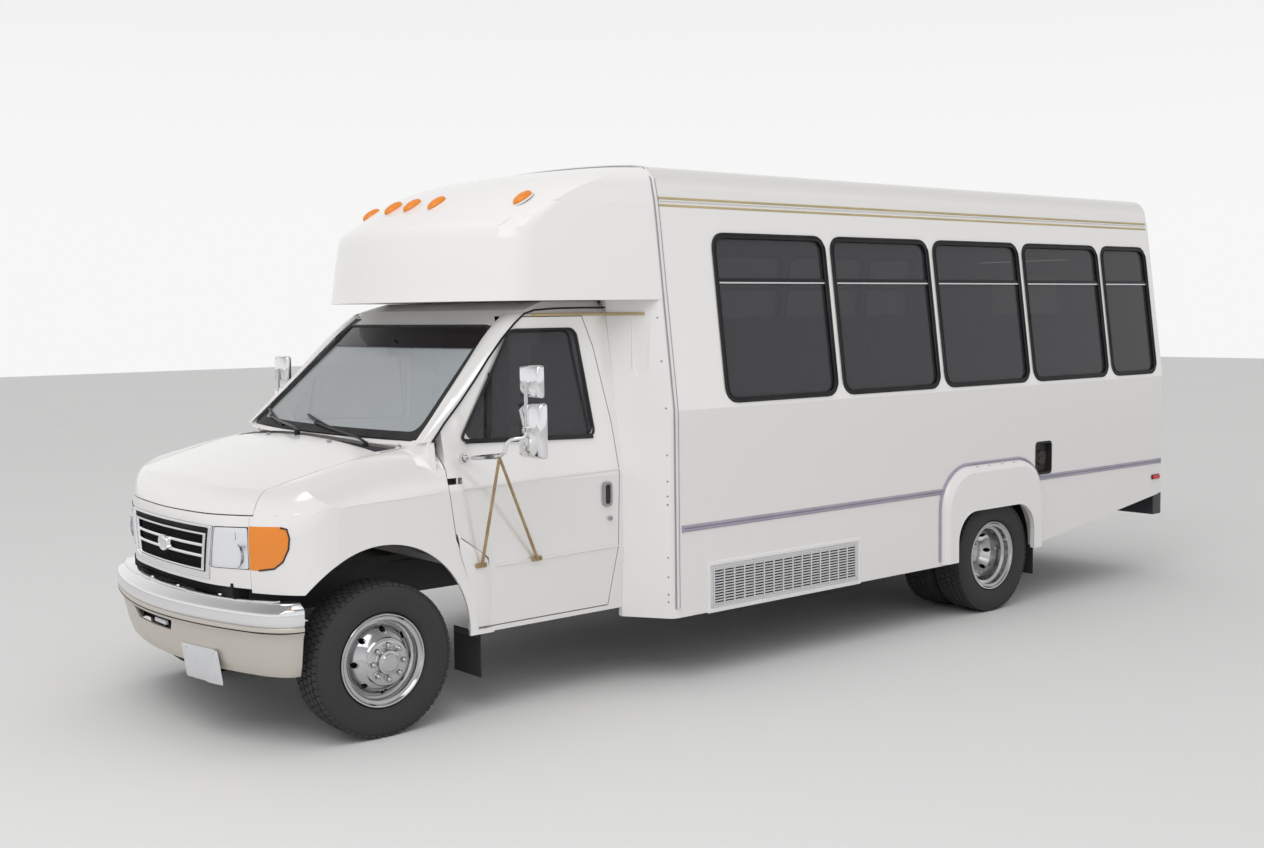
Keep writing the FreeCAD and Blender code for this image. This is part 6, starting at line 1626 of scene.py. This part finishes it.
class MINIBUS_OT_body_trim(bpy.types.Operator):
    """Model the rub rails, the gutters, the bright seam mouldings and the trim screws"""

    bl_idname = "minibus.body_trim"
    bl_label = "Body trim"

    def execute(self, context):
        s = context.scene.minibus_body
        # The rub rail's grey and its lilac edges and ends are painted shade, standing for the shading on the white
        # rail.
        rails, ridges = [], []
        half = s.rail / 2
        for side in (1, -1):
            for front, back in ((seam_x - 0.035 if side > 0 else 0.315, -0.978), (-2.027, -3.575)):
                path = [(back + (front - back) * n / 4, side * (body_half - 0.001), rail_z) for n in range(5)]
                section = ((-0.001, -half), (0.0035, -half), (0.0045, -half + 0.003), (0.0045, half - 0.003), (0.0035, half),
                           (-0.001, half))
                rails.append(trim("rub_rail", path, [(-side * a, b) for a, b in section]))
                for level in (-half * 0.52, half * 0.52):
                    ridge = [(x, y + side * 0.004, z + level) for x, y, z in path]
                    ridges.append(trim("rail_ridge", ridge, circle(0.0062, 8)))
                for x, y, z in (path[0], path[-1]):
                    low = (x - 0.006, y - 0.004, z - half - 0.002)
                    high = (x + 0.006, y + (0.008 if side > 0 else 0.004), z + half + 0.002)
                    ridges.append(box("rail_end", low, high, 0.002, 2))
        fitted(joined(rails, "rub_rails"), "body", "moulding_grey")
        fitted(joined(ridges, "rub_rail_ridges"), "body", "rail_lilac")
        nodes = ("left_wall", "right_wall", "roof", "front_cap")
        arch = []
        steps = 84
        for n in range(steps + 1):
            angle = radians(-41.5 + 263.0 * n / steps)
            way = Vector((0, cos(angle), sin(angle)))
            found = hit(nodes, Vector((seam_x + 0.004, 0, 1.5)) + way * 4.0, -way)
            if found and (abs(found.y) > 0.3 or found.z > 2.3) and found.z > 0.371:
                arch.append(tuple(found))
        moulding = trim("seam_moulding", arch, circle(0.0100, 10), False, "MINIMUM", 60)
        fitted(moulding, "body", "seam_bright")
        # The two thin grey lines beside the seam moulding are painted shadow along its edges.
        edges = [trim("seam_edge", [(x + move, y, z) for x, y, z in arch], circle(0.0042, 6), False, "MINIMUM", 60)
                 for move in (-0.0125, 0.0125)]
        fitted(joined(edges, "seam_edges"), "body", "moulding_grey")
        strips = []
        tops = [(ahead(x), y, z) for x, y, z in (
            (-0.885, 0.780, 2.002), (-0.905, 0.808, 2.003), (-1.00, 0.866, 2.004), (-1.22, 0.867, 2.004),
            (-1.44, 0.868, 2.004), (-1.47, 0.882, 2.003), (-1.53, 0.984, 2.003), (-1.575, 1.064, 2.003))]
        for side in (1, -1):
            strips.append(trim("cap_caulk", [(x, side * y, z) for x, y, z in tops], circle(0.0085, 8), False, "MINIMUM", 60))
        fitted(joined(strips, "cap_caulk"), "body", "gutter_caulk")
        gutters, caulk = [], []
        for side in (1, -1):
            y = abs(wall_point(0.0, 2.583, side, nodes).y)
            low = [(seam_x - 0.012 - (seam_x - 0.012 + 3.560) * n / 4, side * y, 2.588) for n in range(5)]
            gutter = [(-0.004, -0.004), (0.013, -0.002), (0.016, 0.006), (0.013, 0.007), (0.009, 0.002), (-0.004, 0.003)]
            strip = [(-0.003, -0.006), (0.0035, -0.006), (0.0045, 0.006), (-0.003, 0.006)]
            if side > 0:
                gutter, strip = [(-a, b) for a, b in gutter], [(-a, b) for a, b in strip]
            gutters.append(trim("roof_gutter", [(x, yy, z + 0.018) for x, yy, z in low], gutter))
            caulk.append(trim("gutter_line", [(x, yy, z - 0.010) for x, yy, z in low], strip))
            caulk.append(trim("gutter_line", [(x, yy - side * 0.004, z + 0.029) for x, yy, z in low], strip))
        fitted(joined(gutters, "roof_gutters"), "body", "cap_white")
        fitted(joined(caulk, "gutter_lines"), "body", "gutter_caulk")
        heads = []
        for side in (1, -1):
            for z in (0.46, 0.50, 0.595, 0.70, 0.985, 1.03, 1.11, 1.25, 1.50, 1.75, 1.98):
                found = hit(("front_cap",), (ahead(-1.612), side * 2.2, z), (0, -side, 0))
                if found:
                    inner, outer = found - Vector((0.001, side * 0.003, 0)), found + Vector((0.0015, side * 0.0025, 0))
                    heads.append(drum("panel_screw", inner, outer, s.screw, 12, 0.001, s.screw * 0.75))
        fitted(joined(heads, "panel_screws"), "body", "moulding_grey")
        return {"FINISHED"}


def arch_line(half_wide, top, corner, lows):
    """X and Z round a rear wheel's arch, from the front up, over and down."""
    middle = rear_axle + 0.030
    start = [(middle + half_wide, z) for z in lows] + [(middle + half_wide, top - corner)]
    turns = [radians(a) for a in range(12, 90, 12)]
    bend = [(middle + half_wide - corner + corner * cos(a), top - corner + corner * sin(a)) for a in turns]
    level = [(middle + half_wide - corner - (2 * (half_wide - corner)) * n / 4, top) for n in range(5)]
    back = [(2 * middle - x, z) for x, z in reversed(start + bend)]
    return start + bend + level + back


class MINIBUS_OT_side_details(bpy.types.Operator):
    """Model the filler door, the condenser's frame, the flare rims and the side markers"""

    bl_idname = "minibus.side_details"
    bl_label = "Side details"

    def execute(self, context):
        s = context.scene.minibus_body
        x1, x2, z1, z2 = ahead(-5.110), ahead(-4.932), 0.875, 1.090
        corners = ((x1, z1), (x2, z1), (x2, z2), (x1, z2))
        rim = ring("filler_rim", upright(outline(shrunk(corners, -0.006), 0.034, 6, 4), "Y", body_half + 0.0045),
                   upright(outline(shrunk(corners, 0.010), 0.026, 6, 4), "Y", body_half + 0.0045))
        plated(rim, (0, 1, 0), 0.006, 0.002)
        cup = panel("filler_cup", outline(shrunk(corners, 0.0015), 0.028, 6, 1), "Y", 1.190, 0.05)
        plated(cup, (0, 1, 0), 0.003, 0.001)
        wall = ring("filler_wall", upright(outline(shrunk(corners, 0.002), 0.028, 6, 4), "Y", 1.219),
                    upright(outline(shrunk(corners, 0.004), 0.028, 6, 4), "Y", 1.219))
        edit(wall)
        bpy.ops.mesh.extrude_region_move(TRANSFORM_OT_translate={"value": (0, -0.028, 0)})
        bpy.ops.mesh.select_all(action="SELECT")
        bpy.ops.mesh.normals_make_consistent(inside=False)
        done()
        middle = ((x1 + x2) / 2, (z1 + z2) / 2)
        profile = ((1.190, 0.050), (1.204, 0.050), (1.208, 0.046), (1.209, 0.020), (1.209, 0.0))
        cap = spun("filler_cap", [(middle[0], y, middle[1] + r) for y, r in profile], (middle[0], 1.19, middle[1]), (0, 1, 0),
                   32, False)
        grip = box("filler_grip", (middle[0] - 0.036, 1.206, middle[1] - 0.007),
                   (middle[0] + 0.036, 1.2175, middle[1] + 0.007), 0.004, 3)
        smooth(cap, 40)
        fitted(joined([rim], "filler_rim"), "body", "black_frame")
        fitted(joined([cup, wall, cap, grip], "filler_recess"), "body", "seal_rubber")
        gx1, gx2, gz1, gz2 = ahead(-3.108), ahead(-1.895), 0.388, 0.624
        grille = ((gx1, gz1), (gx2, gz1), (gx2, gz2), (gx1, gz2))
        edge = shrunk(grille, -0.0245)
        outer = ring("condenser_frame", upright(outline(edge, 0.006, 3, 6), "Y", body_half + 0.0035),
                     upright(outline(shrunk(grille, 0.001), 0.004, 3, 6), "Y", body_half + 0.0035))
        plated(outer, (0, 1, 0), 0.004, 0.0015)
        places = [(gx1 + (gx2 - gx1) * n / 6, body_half + 0.0035, z) for n in range(7) for z in (gz1 - 0.012, gz2 + 0.012)]
        heads = screws("condenser_screws", places, (0, 1, 0), s.screw * 0.8)
        fitted(joined([outer, heads], "condenser_frame"), "body", "cap_white")
        bars = []
        for column in range(16):
            x = gx1 + 0.024 + column * (gx2 - gx1 - 0.048) / 15
            bars.append(box("condenser_bar", (x - 0.005, body_half + 0.003, gz1 + 0.010),
                            (x + 0.005, body_half + 0.0075, gz2 - 0.010), 0.002, 1))
        for z in (gz1 + 0.010, gz2 - 0.010):
            bars.append(box("condenser_edge", (gx1 + 0.004, body_half + 0.003, z - 0.007),
                            (gx2 - 0.004, body_half + 0.0085, z + 0.007), 0.002, 1))
        fitted(joined(bars, "condenser_bars"), "body", "bright_alloy")
        core = box("condenser_core", (gx1 + 0.01, 1.168, gz1 + 0.005), (gx2 - 0.01, 1.192, gz2 - 0.005), 0.003, 1)
        edit(core)
        chosen(core, lambda c, n: n.y > 0.9)
        bpy.ops.mesh.inset(thickness=0.012)
        bpy.ops.mesh.extrude_region_move(TRANSFORM_OT_translate={"value": (0, -0.006, 0)})
        done()
        fitted(core, "body", "dark_void")
        for side, word in ((1, "left"), (-1, "right")):
            # The flare rim and its screws are lilac: painted shade along the lip round the flare's top.
            path = [(x, side * (body_half + 0.003), z) for x, z in arch_line(0.548, 1.003, 0.275, (0.40, 0.55))]
            rim = trim(f"{word}_flare_rim", path, circle(0.0085, 8), False, "MINIMUM", 60)
            places = [(rear_axle + 0.030 + a, side * 1.2485, 0.9835) for a in (-0.20, -0.07, 0.07, 0.20)]
            heads = screws("flare_screws", places, (0, side * 0.3, 1), s.screw * 1.2)
            fitted(joined([rim, heads], f"{word}_flare_rim"), "body", "rail_lilac")
            path = [(x, side * 1.2655, z) for x, z in arch_line(0.419, 0.706, 0.192, (0.386, 0.45))]
            lip = trim(f"{word}_flare_lip", path, circle(0.007, 8), False, "MINIMUM", 60)
            fitted(lip, "body", "cap_white")
            mx, mz = ahead(-6.466), 0.731
            base = box(f"{word}_side_marker_base", (mx - 0.052, side * (body_half - 0.002), mz - 0.018),
                       (mx + 0.052, side * (body_half + 0.006), mz + 0.018), 0.004, 3)
            fitted(base, "body", "seal_rubber")
            lens = box(f"{word}_side_marker", (mx - 0.046, side * (body_half + 0.004), mz - 0.0135),
                       (mx + 0.046, side * (body_half + 0.0165), mz + 0.0135), 0.006, 4)
            fitted(lens, "body", "lamp_red")
        return {"FINISHED"}


class MINIBUS_OT_lamps(bpy.types.Operator):
    """Model the cap's marker lamps, the corner lamps' rims and the tail lamps"""

    bl_idname = "minibus.lamps"
    bl_label = "Lamps"

    def execute(self, context):
        lenses, bases = [], []
        for y in (-0.774, -0.226, 0.0, 0.226, 0.774):
            found = hit(("front_cap",), (ahead(-0.812) - (1.667 - sqrt(1.667 ** 2 - y * y)), y, 4.0), (0, 0, -1))
            if not found:
                continue
            lean = hit(("front_cap",), (found.x + 0.05, y, 4.0), (0, 0, -1))
            slope = (lean - found).normalized() if lean else Vector((1, 0, 0))
            up = slope.cross(Vector((0, 1, 0)))
            up = up if up.z > 0 else -up
            turn = Matrix((slope, Vector((0, 1, 0)), up)).transposed().to_4x4()
            for name, low, high, depth, stretch, made in (("marker_base", -0.004, 0.006, 0.050, 1.40, bases),
                                                          ("marker_lens", 0.003, 0.030, 0.043, 1.45, lenses)):
                shape = [(part, high - (high - low) * drop) for part, drop in
                         ((0.0, 0.0), (0.45, 0.06), (0.80, 0.28), (0.96, 0.6), (1.0, 1.0))]
                pod = spun(name, [(depth * part, 0, z) for part, z in reversed(shape)], (0, 0, 0), (0, 0, 1), 32, False)
                edit(pod)
                bpy.ops.transform.resize(value=(stretch, 0.95, 1))
                done()
                pod.matrix_world = Matrix.Translation(found) @ turn
                settle(pod, name)
                smooth(pod, 50)
                made.append(pod)
        fitted(joined(lenses, "marker_lenses"), "body", "lamp_amber", ("marker_lamps",))
        fitted(joined(bases, "marker_bases"), "body", "cap_white")
        rim_points = ((0.700, 0.8425), (0.560, 0.8390), (0.520, 0.8430), (0.4810, 0.8560), (0.4570, 0.8900), (0.4400, 0.9500),
                      (0.4360, 1.0000), (0.4420, 1.0420), (0.4600, 1.0470), (0.5600, 1.0470), (0.7000, 1.0440))
        path = []
        for x, z in rim_points:
            found = hit(("corner_lamps", "fenders", "front_panel"), (ahead(x), 1.8, z), (0, -1, 0))
            if found and found.y > 0.70:
                path.append(tuple(found + Vector((0.001, 0.001, 0))))
        seal = trim("left_corner_lamp_seal", path, circle(0.0042, 8), False, "MINIMUM", 60)
        both(seal, "body", "seal_rubber")
        parts = {"seal_rubber": [], "lamp_red": [], "lamp_clear": [], "lamp_amber": []}
        for side in (1, -1):
            for z, finish in ((0.820, "lamp_clear"), (0.950, "lamp_amber"), (1.080, "lamp_red")):
                x, y = -3.592, side * 1.020
                profile = ((0.002, 0.064), (-0.008, 0.064), (-0.013, 0.059), (-0.012, 0.052), (-0.006, 0.050))
                rubber = spun("lamp_rubber", [(x + a, y, z + r) for a, r in profile], (x, y, z), (1, 0, 0), 40, False)
                smooth(rubber, 40)
                parts["seal_rubber"].append(rubber)
                profile = ((-0.004, 0.0505), (-0.011, 0.0495), (-0.015, 0.044), (-0.0165, 0.030), (-0.0175, 0.012), (-0.0178, 0.0))
                lens = spun("lamp_lens", [(x + a, y, z + r) for a, r in profile], (x, y, z), (1, 0, 0), 40, False)
                smooth(lens, 40)
                parts[finish].append(lens)
            marker = box("clearance_lamp", (-3.604, side * 0.93 - 0.05, 2.483), (-3.590, side * 0.93 + 0.05, 2.517), 0.006, 3)
            parts["lamp_red"].append(marker)
        for y in (-0.15, 0.0, 0.15):
            parts["lamp_red"].append(box("clearance_lamp", (-3.604, y - 0.05, 2.483), (-3.590, y + 0.05, 2.517), 0.006, 3))
        for finish, made in parts.items():
            name = "tail_lamp_rubbers" if finish == "seal_rubber" else "tail_" + finish.split("_")[-1] + "_lenses"
            red = finish == "lamp_red"
            fitted(joined(made, name), "body", finish, ("tail_lamps",) if red else ())
        return {"FINISHED"}


# Seats, interior, entrance, rear end and flaps


class MINIBUS_PG_inside(bpy.types.PropertyGroup):
    swell: length("Cushion swell", "How far a seat pad may grow as it is filled", 0.009)
    voxel: length("Pad mesh", "Mesh size of the seat pads", 0.011)


def filled(piece):
    """Blow a closed form up like a stuffed pad, no further than the swell."""
    s = bpy.context.scene.minibus_inside
    modifier(piece, "REMESH", mode="VOXEL", voxel_size=s.voxel)
    before = [vertex.co.copy() for vertex in piece.data.vertices]
    only(piece)
    bpy.ops.object.modifier_add(type="CLOTH")
    cloth = piece.modifiers[-1]
    cloth.settings.use_pressure = True
    cloth.settings.uniform_pressure_force = 4
    cloth.settings.effector_weights.gravity = 0
    cloth.settings.quality = 4
    for moment in range(1, 21):
        bpy.context.scene.frame_set(moment)
    bpy.ops.object.modifier_apply(modifier=cloth.name)
    bpy.context.scene.frame_set(1)
    for vertex, old in zip(piece.data.vertices, before):
        way = vertex.co - old
        if way.length > s.swell:
            vertex.co = old + way.normalized() * s.swell
    piece.data.update()
    return piece


def channelled(piece, axis, places, depth, width, facing):
    """Sew channels across the side of a pad that looks in the direction given."""
    facing = Vector(facing)
    number = "XYZ".index(axis)
    for vertex in piece.data.vertices:
        if vertex.normal.dot(facing) < 0.5:
            continue
        for place in places:
            off = abs(vertex.co[number] - place) / width
            if off < 1:
                vertex.co -= facing * depth * (1 - off * off) ** 2
    piece.data.update()
    smooth(piece, 60)
    return piece


def seat_pads(width):
    """One cushion and one back for a seat whose front edge is at the origin, on its floor."""
    s = bpy.context.scene.minibus_inside
    half = width / 2
    keep = s.swell + 0.001
    cushion = box("cushion", (-0.430 + keep, -half + keep, 0.338 + keep), (-keep, half - keep, 0.430 - keep), 0.026, 4)
    filled(cushion)
    channelled(cushion, "X", (-0.11, -0.32), 0.010, 0.016, (0, 0, 1))
    profile = ((-0.448, 0.436), (-0.402, 0.436), (-0.482, 1.078), (-0.536, 1.078))
    back = panel("back", outline(shrunk(profile, keep), 0.012, 4, 1), "Y", half - keep, 0.5)
    plated(back, (0, 1, 0), width - 2 * keep, 0.016)
    filled(back)
    split = (0.0,) if width > 0.6 else ()
    channelled(back, "Y", split + (-half + 0.085, half - 0.085), 0.009, 0.016, (1, 0, -0.12))
    channelled(back, "Z", (0.62, 0.86), 0.008, 0.015, (1, 0, -0.12))
    return cushion, back


class MINIBUS_OT_seats(bpy.types.Operator):
    """Model the two cab seats and the nine double seats with their pedestals"""

    bl_idname = "minibus.seats"
    bl_label = "Seats"

    def execute(self, context):
        floor_top, cab_floor, pitch = 0.900, 0.780, 0.780
        places = [(ahead(-0.930), side * 0.480, 0.500, cab_floor) for side in (1, -1)]
        places += [(seam_x - 0.420 - row * pitch, 0.670, 0.860, floor_top) for row in range(5)]
        places += [(seam_x - 1.500 - row * pitch, -0.670, 0.860, floor_top) for row in range(4)]
        pads = {width: seat_pads(width) for width in (0.500, 0.860)}
        metal, shells = [], []
        for number, (x, y, width, base) in enumerate(places):
            half = width / 2
            for word, part in zip(("cushion", "back"), pads[width]):
                pad = copied(part, f"seat_{word}_{number + 1:02d}", (x, y, base))
                coat(pad, "seat_fabric")
                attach(pad, "body")
            for side in (-1, 1):
                leg_y = y + side * width * 0.24
                for leg_x in (x - 0.30, x - 0.11):
                    metal.append(drum("seat_leg", (leg_x, leg_y, base + 0.004), (leg_x, leg_y, base + 0.322), 0.014, 12, 0))
                metal.append(box("seat_foot", (x - 0.330, leg_y - 0.022, base + 0.001), (x - 0.080, leg_y + 0.022, base + 0.008),
                                 0.002, 2))
                metal.append(drum("seat_rail", (x - 0.325, leg_y, base + 0.322), (x - 0.085, leg_y, base + 0.322), 0.012,
                                  12, 0.002))
            shells.append(box("seat_pan", (x - 0.420, y - half + 0.02, base + 0.331), (x - 0.012, y + half - 0.02, base + 0.340),
                              0.003, 2))
            corners = [(x + a, base + b) for a, b in ((-0.4415, 0.352), (-0.4370, 0.352), (-0.5335, 1.060), (-0.5385, 1.060))]
            shell = panel("seat_shell", outline(corners, 0.0012, 2, 1), "Y", y + half - 0.030, 0.5)
            shells.append(plated(shell, (0, 1, 0), width - 0.060, 0.001))
        for pair in pads.values():
            for part in pair:
                bpy.data.objects.remove(part)
        fitted(joined(metal, "seat_frames"), "body", "chassis_steel", ("seats",))
        fitted(joined(shells, "seat_shells"), "body", "dark_plastic")
        return {"FINISHED"}


class MINIBUS_OT_dash(bpy.types.Operator):
    """Model the dash with its vents and the steering wheel with its spokes and hub"""

    bl_idname = "minibus.dash"
    bl_label = "Dash and steering wheel"

    def execute(self, context):
        dash = skin("dash_panel", "dash_panel_skin", 35)
        soft_edges(dash, 0.006, 3)
        extras = []
        for y in (-0.70, -0.44, 0.18, 0.76):
            extras.append(box("dash_vent_frame", (ahead(-0.672), y - 0.055, 1.195), (ahead(-0.655), y + 0.055, 1.245), 0.005, 2))
            for n in range(4):
                z = 1.204 + 0.0105 * n
                extras.append(box("dash_slat", (ahead(-0.6755), y - 0.046, z), (ahead(-0.668), y + 0.046, z + 0.003), 0.001, 1))
        extras.append(box("glove_lid", (ahead(-0.6685), -0.72, 1.095), (ahead(-0.650), -0.36, 1.180), 0.006, 3))
        extras.append(box("radio_face", (ahead(-0.6720), -0.10, 1.105), (ahead(-0.652), 0.10, 1.165), 0.004, 2))
        for y in (-0.07, 0.07):
            extras.append(drum("radio_knob", (ahead(-0.672), y, 1.135), (ahead(-0.684), y, 1.135), 0.011, 20, 0.002, 0.009))
        fitted(dash, "body", "trim_plastic", ("dash_panel",))
        fitted(joined(extras, "dash_fittings"), "body", "dark_plastic")
        centre = Vector((ahead(-0.800), 0.480, 1.235))
        axis = Vector((-cos(radians(28)), 0, sin(radians(28))))
        across = axis.cross(Vector((0, 1, 0)))
        turns = [radians(a) for a in range(0, 360, 20)]
        ring_points = [tuple(centre + across * (0.190 + 0.0135 * cos(a)) + axis * 0.0155 * sin(a)) for a in turns]
        rim = spun("wheel_rim", ring_points + ring_points[:1], tuple(centre), tuple(axis), 72, False)
        smooth(rim, 60)
        parts = [rim]
        for angle in (90, 210, 330):
            way = Vector((0, 1, 0)) * cos(radians(angle)) + across * sin(radians(angle))
            for off in (-0.016, 0.016):
                shift = axis.cross(way) * off
                path = (centre + way * 0.030 + shift * 1.3 - axis * 0.004, centre + way * 0.110 + shift,
                        centre + way * 0.186 + shift * 0.9)
                parts.append(bar("wheel_spoke", path, 0.0085))
        profile = ((0.026, -0.225), (0.026, -0.020), (0.058, -0.014), (0.062, 0.0), (0.056, 0.008), (0.020, 0.013), (0.0, 0.014))
        hub = spun("wheel_hub", [tuple(centre + across * r + axis * h) for r, h in profile], tuple(centre), tuple(axis), 40, False)
        smooth(hub, 40)
        parts.append(hub)
        fitted(joined(parts, "steering_wheel_skin"), "steering_wheel", "dark_plastic", ("steering_wheel",))
        return {"FINISHED"}


class MINIBUS_OT_entrance(bpy.types.Operator):
    """Model the rubbers, handles and meeting strips of the entrance leaves"""

    bl_idname = "minibus.entrance"
    bl_label = "Entrance doors"

    def execute(self, context):
        for word, (x1, x2), (g1, g2) in (("front", (0.750, 1.168), (0.810, 1.108)), ("rear", (0.320, 0.738), (0.380, 0.678))):
            node, body = f"entrance_leaf_{word}", f"entrance_{word}"
            face = -1.227
            leaf = skin(node, f"{node}_skin", 30)
            soft_edges(leaf, 0.002, 2)
            fitted(leaf, body, "black_frame", (node,))
            rubbers = []
            for depth, size, y in ((-0.004, 0.006, face - 0.0015), (0.010, 0.004, face + 0.004)):
                pane = oblong(g1 + depth, g2 - depth, 0.520 + depth, 2.314 - depth)
                line = upright(outline(pane, 0.040, 6, 6), "Y", y)
                rubbers.append(trim("leaf_rubber", line, circle(size, 6), True, "MINIMUM", 60))
            edge = x1 + 0.006 if word == "front" else x2 - 0.006
            rubbers.append(bar("leaf_meeting", [(edge, face - 0.001, z) for z in (0.412, 1.4, 2.362)], 0.006, 8))
            fitted(joined(rubbers, f"{node}_rubbers"), body, "seal_rubber")
            grip_x = x1 + 0.032 if word == "front" else x2 - 0.032
            rod = ((-1.188, 1.02), (-1.168, 1.05), (-1.160, 1.12), (-1.160, 1.42), (-1.168, 1.49), (-1.188, 1.52))
            grip = bar("leaf_grip", [(grip_x, y, z) for y, z in rod], 0.011)
            pin = x2 - 0.010 if word == "front" else x1 + 0.010
            bosses = [drum("leaf_hinge", (pin, -1.218, z), (pin, -1.218, z + 0.085), 0.0105, 18, 0.001) for z in (0.55, 1.33, 2.10)]
            fitted(joined([grip] + bosses, f"{node}_grip"), body, "bright_alloy")
        head = ring("entrance_surround", upright(outline(oblong(0.296, 1.192, 0.392, 2.398), 0.02, 4, 8), "Y", -1.2235),
                    upright(outline(oblong(0.316, 1.172, 0.396, 2.378), 0.012, 4, 8), "Y", -1.2235))
        plated(head, (0, -1, 0), 0.003, 0.001)
        lamp_pod = box("entrance_lamp", (0.690, -1.2235, 2.425), (0.800, -1.2000, 2.465), 0.006, 3)
        fitted(joined([head, lamp_pod], "entrance_surround"), "body", "cap_white")
        return {"FINISHED"}


class MINIBUS_OT_rear_end(bpy.types.Operator):
    """Model the rear door, its rubbers, hinges and latch, the bumper and the mud flaps"""

    bl_idname = "minibus.rear_end"
    bl_label = "Rear end"

    def execute(self, context):
        face = -3.601
        door = skin("rear_door", "rear_door_skin", 30)
        soft_edges(door, 0.002, 2)
        fitted(door, "rear_door", "body_white", ("rear_door",))
        rubbers = []
        for half, low, high, radius, size, x in ((0.334, 1.556, 2.264, 0.060, 0.008, face - 0.0015),
                                                 (0.318, 1.572, 2.248, 0.050, 0.005, face + 0.004)):
            line = upright(outline(oblong(-half, half, low, high), radius, 6, 6), "X", x)
            rubbers.append(trim("rear_rubber", line, circle(size, 6), True, "MINIMUM", 60))
        fitted(joined(rubbers, "rear_door_rubbers"), "rear_door", "seal_rubber")
        latch = box("latch_plate", (face - 0.008, 0.335, 1.300), (face + 0.002, 0.405, 1.470), 0.006, 3)
        rod = ((0.006, 1.320), (0.034, 1.335), (0.038, 1.385), (0.034, 1.435), (0.006, 1.450))
        pull = bar("latch_pull", [(face - out, 0.370, z) for out, z in rod], 0.008)
        hinges = [drum("rear_hinge", (-3.592, -0.434, z), (-3.592, -0.434, z + 0.11), 0.0125, 18, 0.001)
                  for z in (1.02, 1.58, 2.16)]
        fitted(joined([latch, pull] + hinges, "rear_door_latch"), "rear_door", "bright_alloy")
        plate = box("rear_plate", (-3.6065, -0.86, 1.10), (-3.599, -0.56, 1.26), 0.003, 2)
        edit(plate)
        chosen(plate, lambda c, n: n.x < -0.9)
        bpy.ops.mesh.inset(thickness=0.010)
        bpy.ops.mesh.extrude_region_move(TRANSFORM_OT_translate={"value": (0.0015, 0, 0)})
        done()
        fitted(plate, "body", "blank_plate")
        bumper = skin("rear_bumper", "rear_bumper_skin", 30)
        soft_edges(bumper, 0.006, 3)
        fitted(bumper, "body", "chassis_steel", ("rear_bumper",))
        treads = [box("bumper_tread", (-3.690 + 0.022 * n, -1.10, 0.598), (-3.680 + 0.022 * n, 1.10, 0.603), 0.001, 1)
                  for n in range(4)]
        fitted(joined(treads, "bumper_treads"), "body", "rubber_flap")
        flaps, irons = [], []
        for x, low_y, high_y, low_z, high_z in ((-2.011, 0.78, 1.18, 0.18, 0.80), (2.398, 0.72, 0.96, 0.19, 0.42)):
            for side in (1, -1):
                y1, y2 = sorted((side * low_y, side * high_y))
                flap = box("flap", (x - 0.0032, y1, low_z), (x + 0.0032, y2, high_z), 0.0015, 2)
                middles = [y1 + (y2 - y1) * part for part in (0.15, 0.38, 0.62, 0.85)]
                ribs = [box("flap_rib", (x - 0.0040, y - 0.004, low_z + 0.03), (x + 0.0040, y + 0.004, high_z - 0.05), 0.001, 1)
                        for y in middles]
                flaps += [flap] + ribs
                irons.append(box("flap_iron", (x - 0.0065, y1 + 0.01, high_z - 0.032), (x + 0.0060, y2 - 0.01, high_z - 0.004),
                                 0.002, 2))
        fitted(joined(flaps, "mud_flap_sheets"), "body", "rubber_flap", ("mud_flaps",))
        fitted(joined(irons, "mud_flap_irons"), "body", "chassis_steel")
        return {"FINISHED"}


class MINIBUS_PT_pieces(bpy.types.Panel):
    """Every step of the minibus, in the order it is built"""

    bl_idname = "MINIBUS_PT_pieces"
    bl_label = "Minibus"
    bl_space_type = "VIEW_3D"
    bl_region_type = "UI"
    bl_category = "Minibus"

    def draw(self, context):
        for word in groups:
            settings = getattr(context.scene, "minibus_" + word)
            part = self.layout.box()
            part.label(text=word.title())
            for key in settings.bl_rna.properties.keys():
                if key not in ("rna_type", "name"):
                    part.prop(settings, key)
        for step in steps:
            self.layout.operator("minibus." + step)


groups = {"finishes": MINIBUS_PG_finishes, "stage": MINIBUS_PG_stage, "wheels": MINIBUS_PG_wheels, "front": MINIBUS_PG_front,
          "cab": MINIBUS_PG_cab, "body": MINIBUS_PG_body, "inside": MINIBUS_PG_inside}
operators = (MINIBUS_OT_finishes, MINIBUS_OT_stage, MINIBUS_OT_tyres, MINIBUS_OT_wheels, MINIBUS_OT_grille,
             MINIBUS_OT_headlamps, MINIBUS_OT_bumper, MINIBUS_OT_windshield, MINIBUS_OT_cowl, MINIBUS_OT_cab_sides,
             MINIBUS_OT_mirrors, MINIBUS_OT_side_windows, MINIBUS_OT_body_trim, MINIBUS_OT_side_details, MINIBUS_OT_lamps,
             MINIBUS_OT_seats, MINIBUS_OT_dash, MINIBUS_OT_entrance, MINIBUS_OT_rear_end)
classes = (*groups.values(), *operators, MINIBUS_PT_pieces)
steps = [kind.bl_idname.split(".")[1] for kind in operators]


def register():
    for made in classes:
        bpy.utils.register_class(made)
    for word, kind in groups.items():
        setattr(bpy.types.Scene, "minibus_" + word, PointerProperty(type=kind))


def unregister():
    for word in groups:
        delattr(bpy.types.Scene, "minibus_" + word)
    for made in reversed(classes):
        bpy.utils.unregister_class(made)


def main():
    register()
    for step in steps:
        getattr(bpy.ops.minibus, step)()
    deselect()


if __name__ == "__main__":
    main()
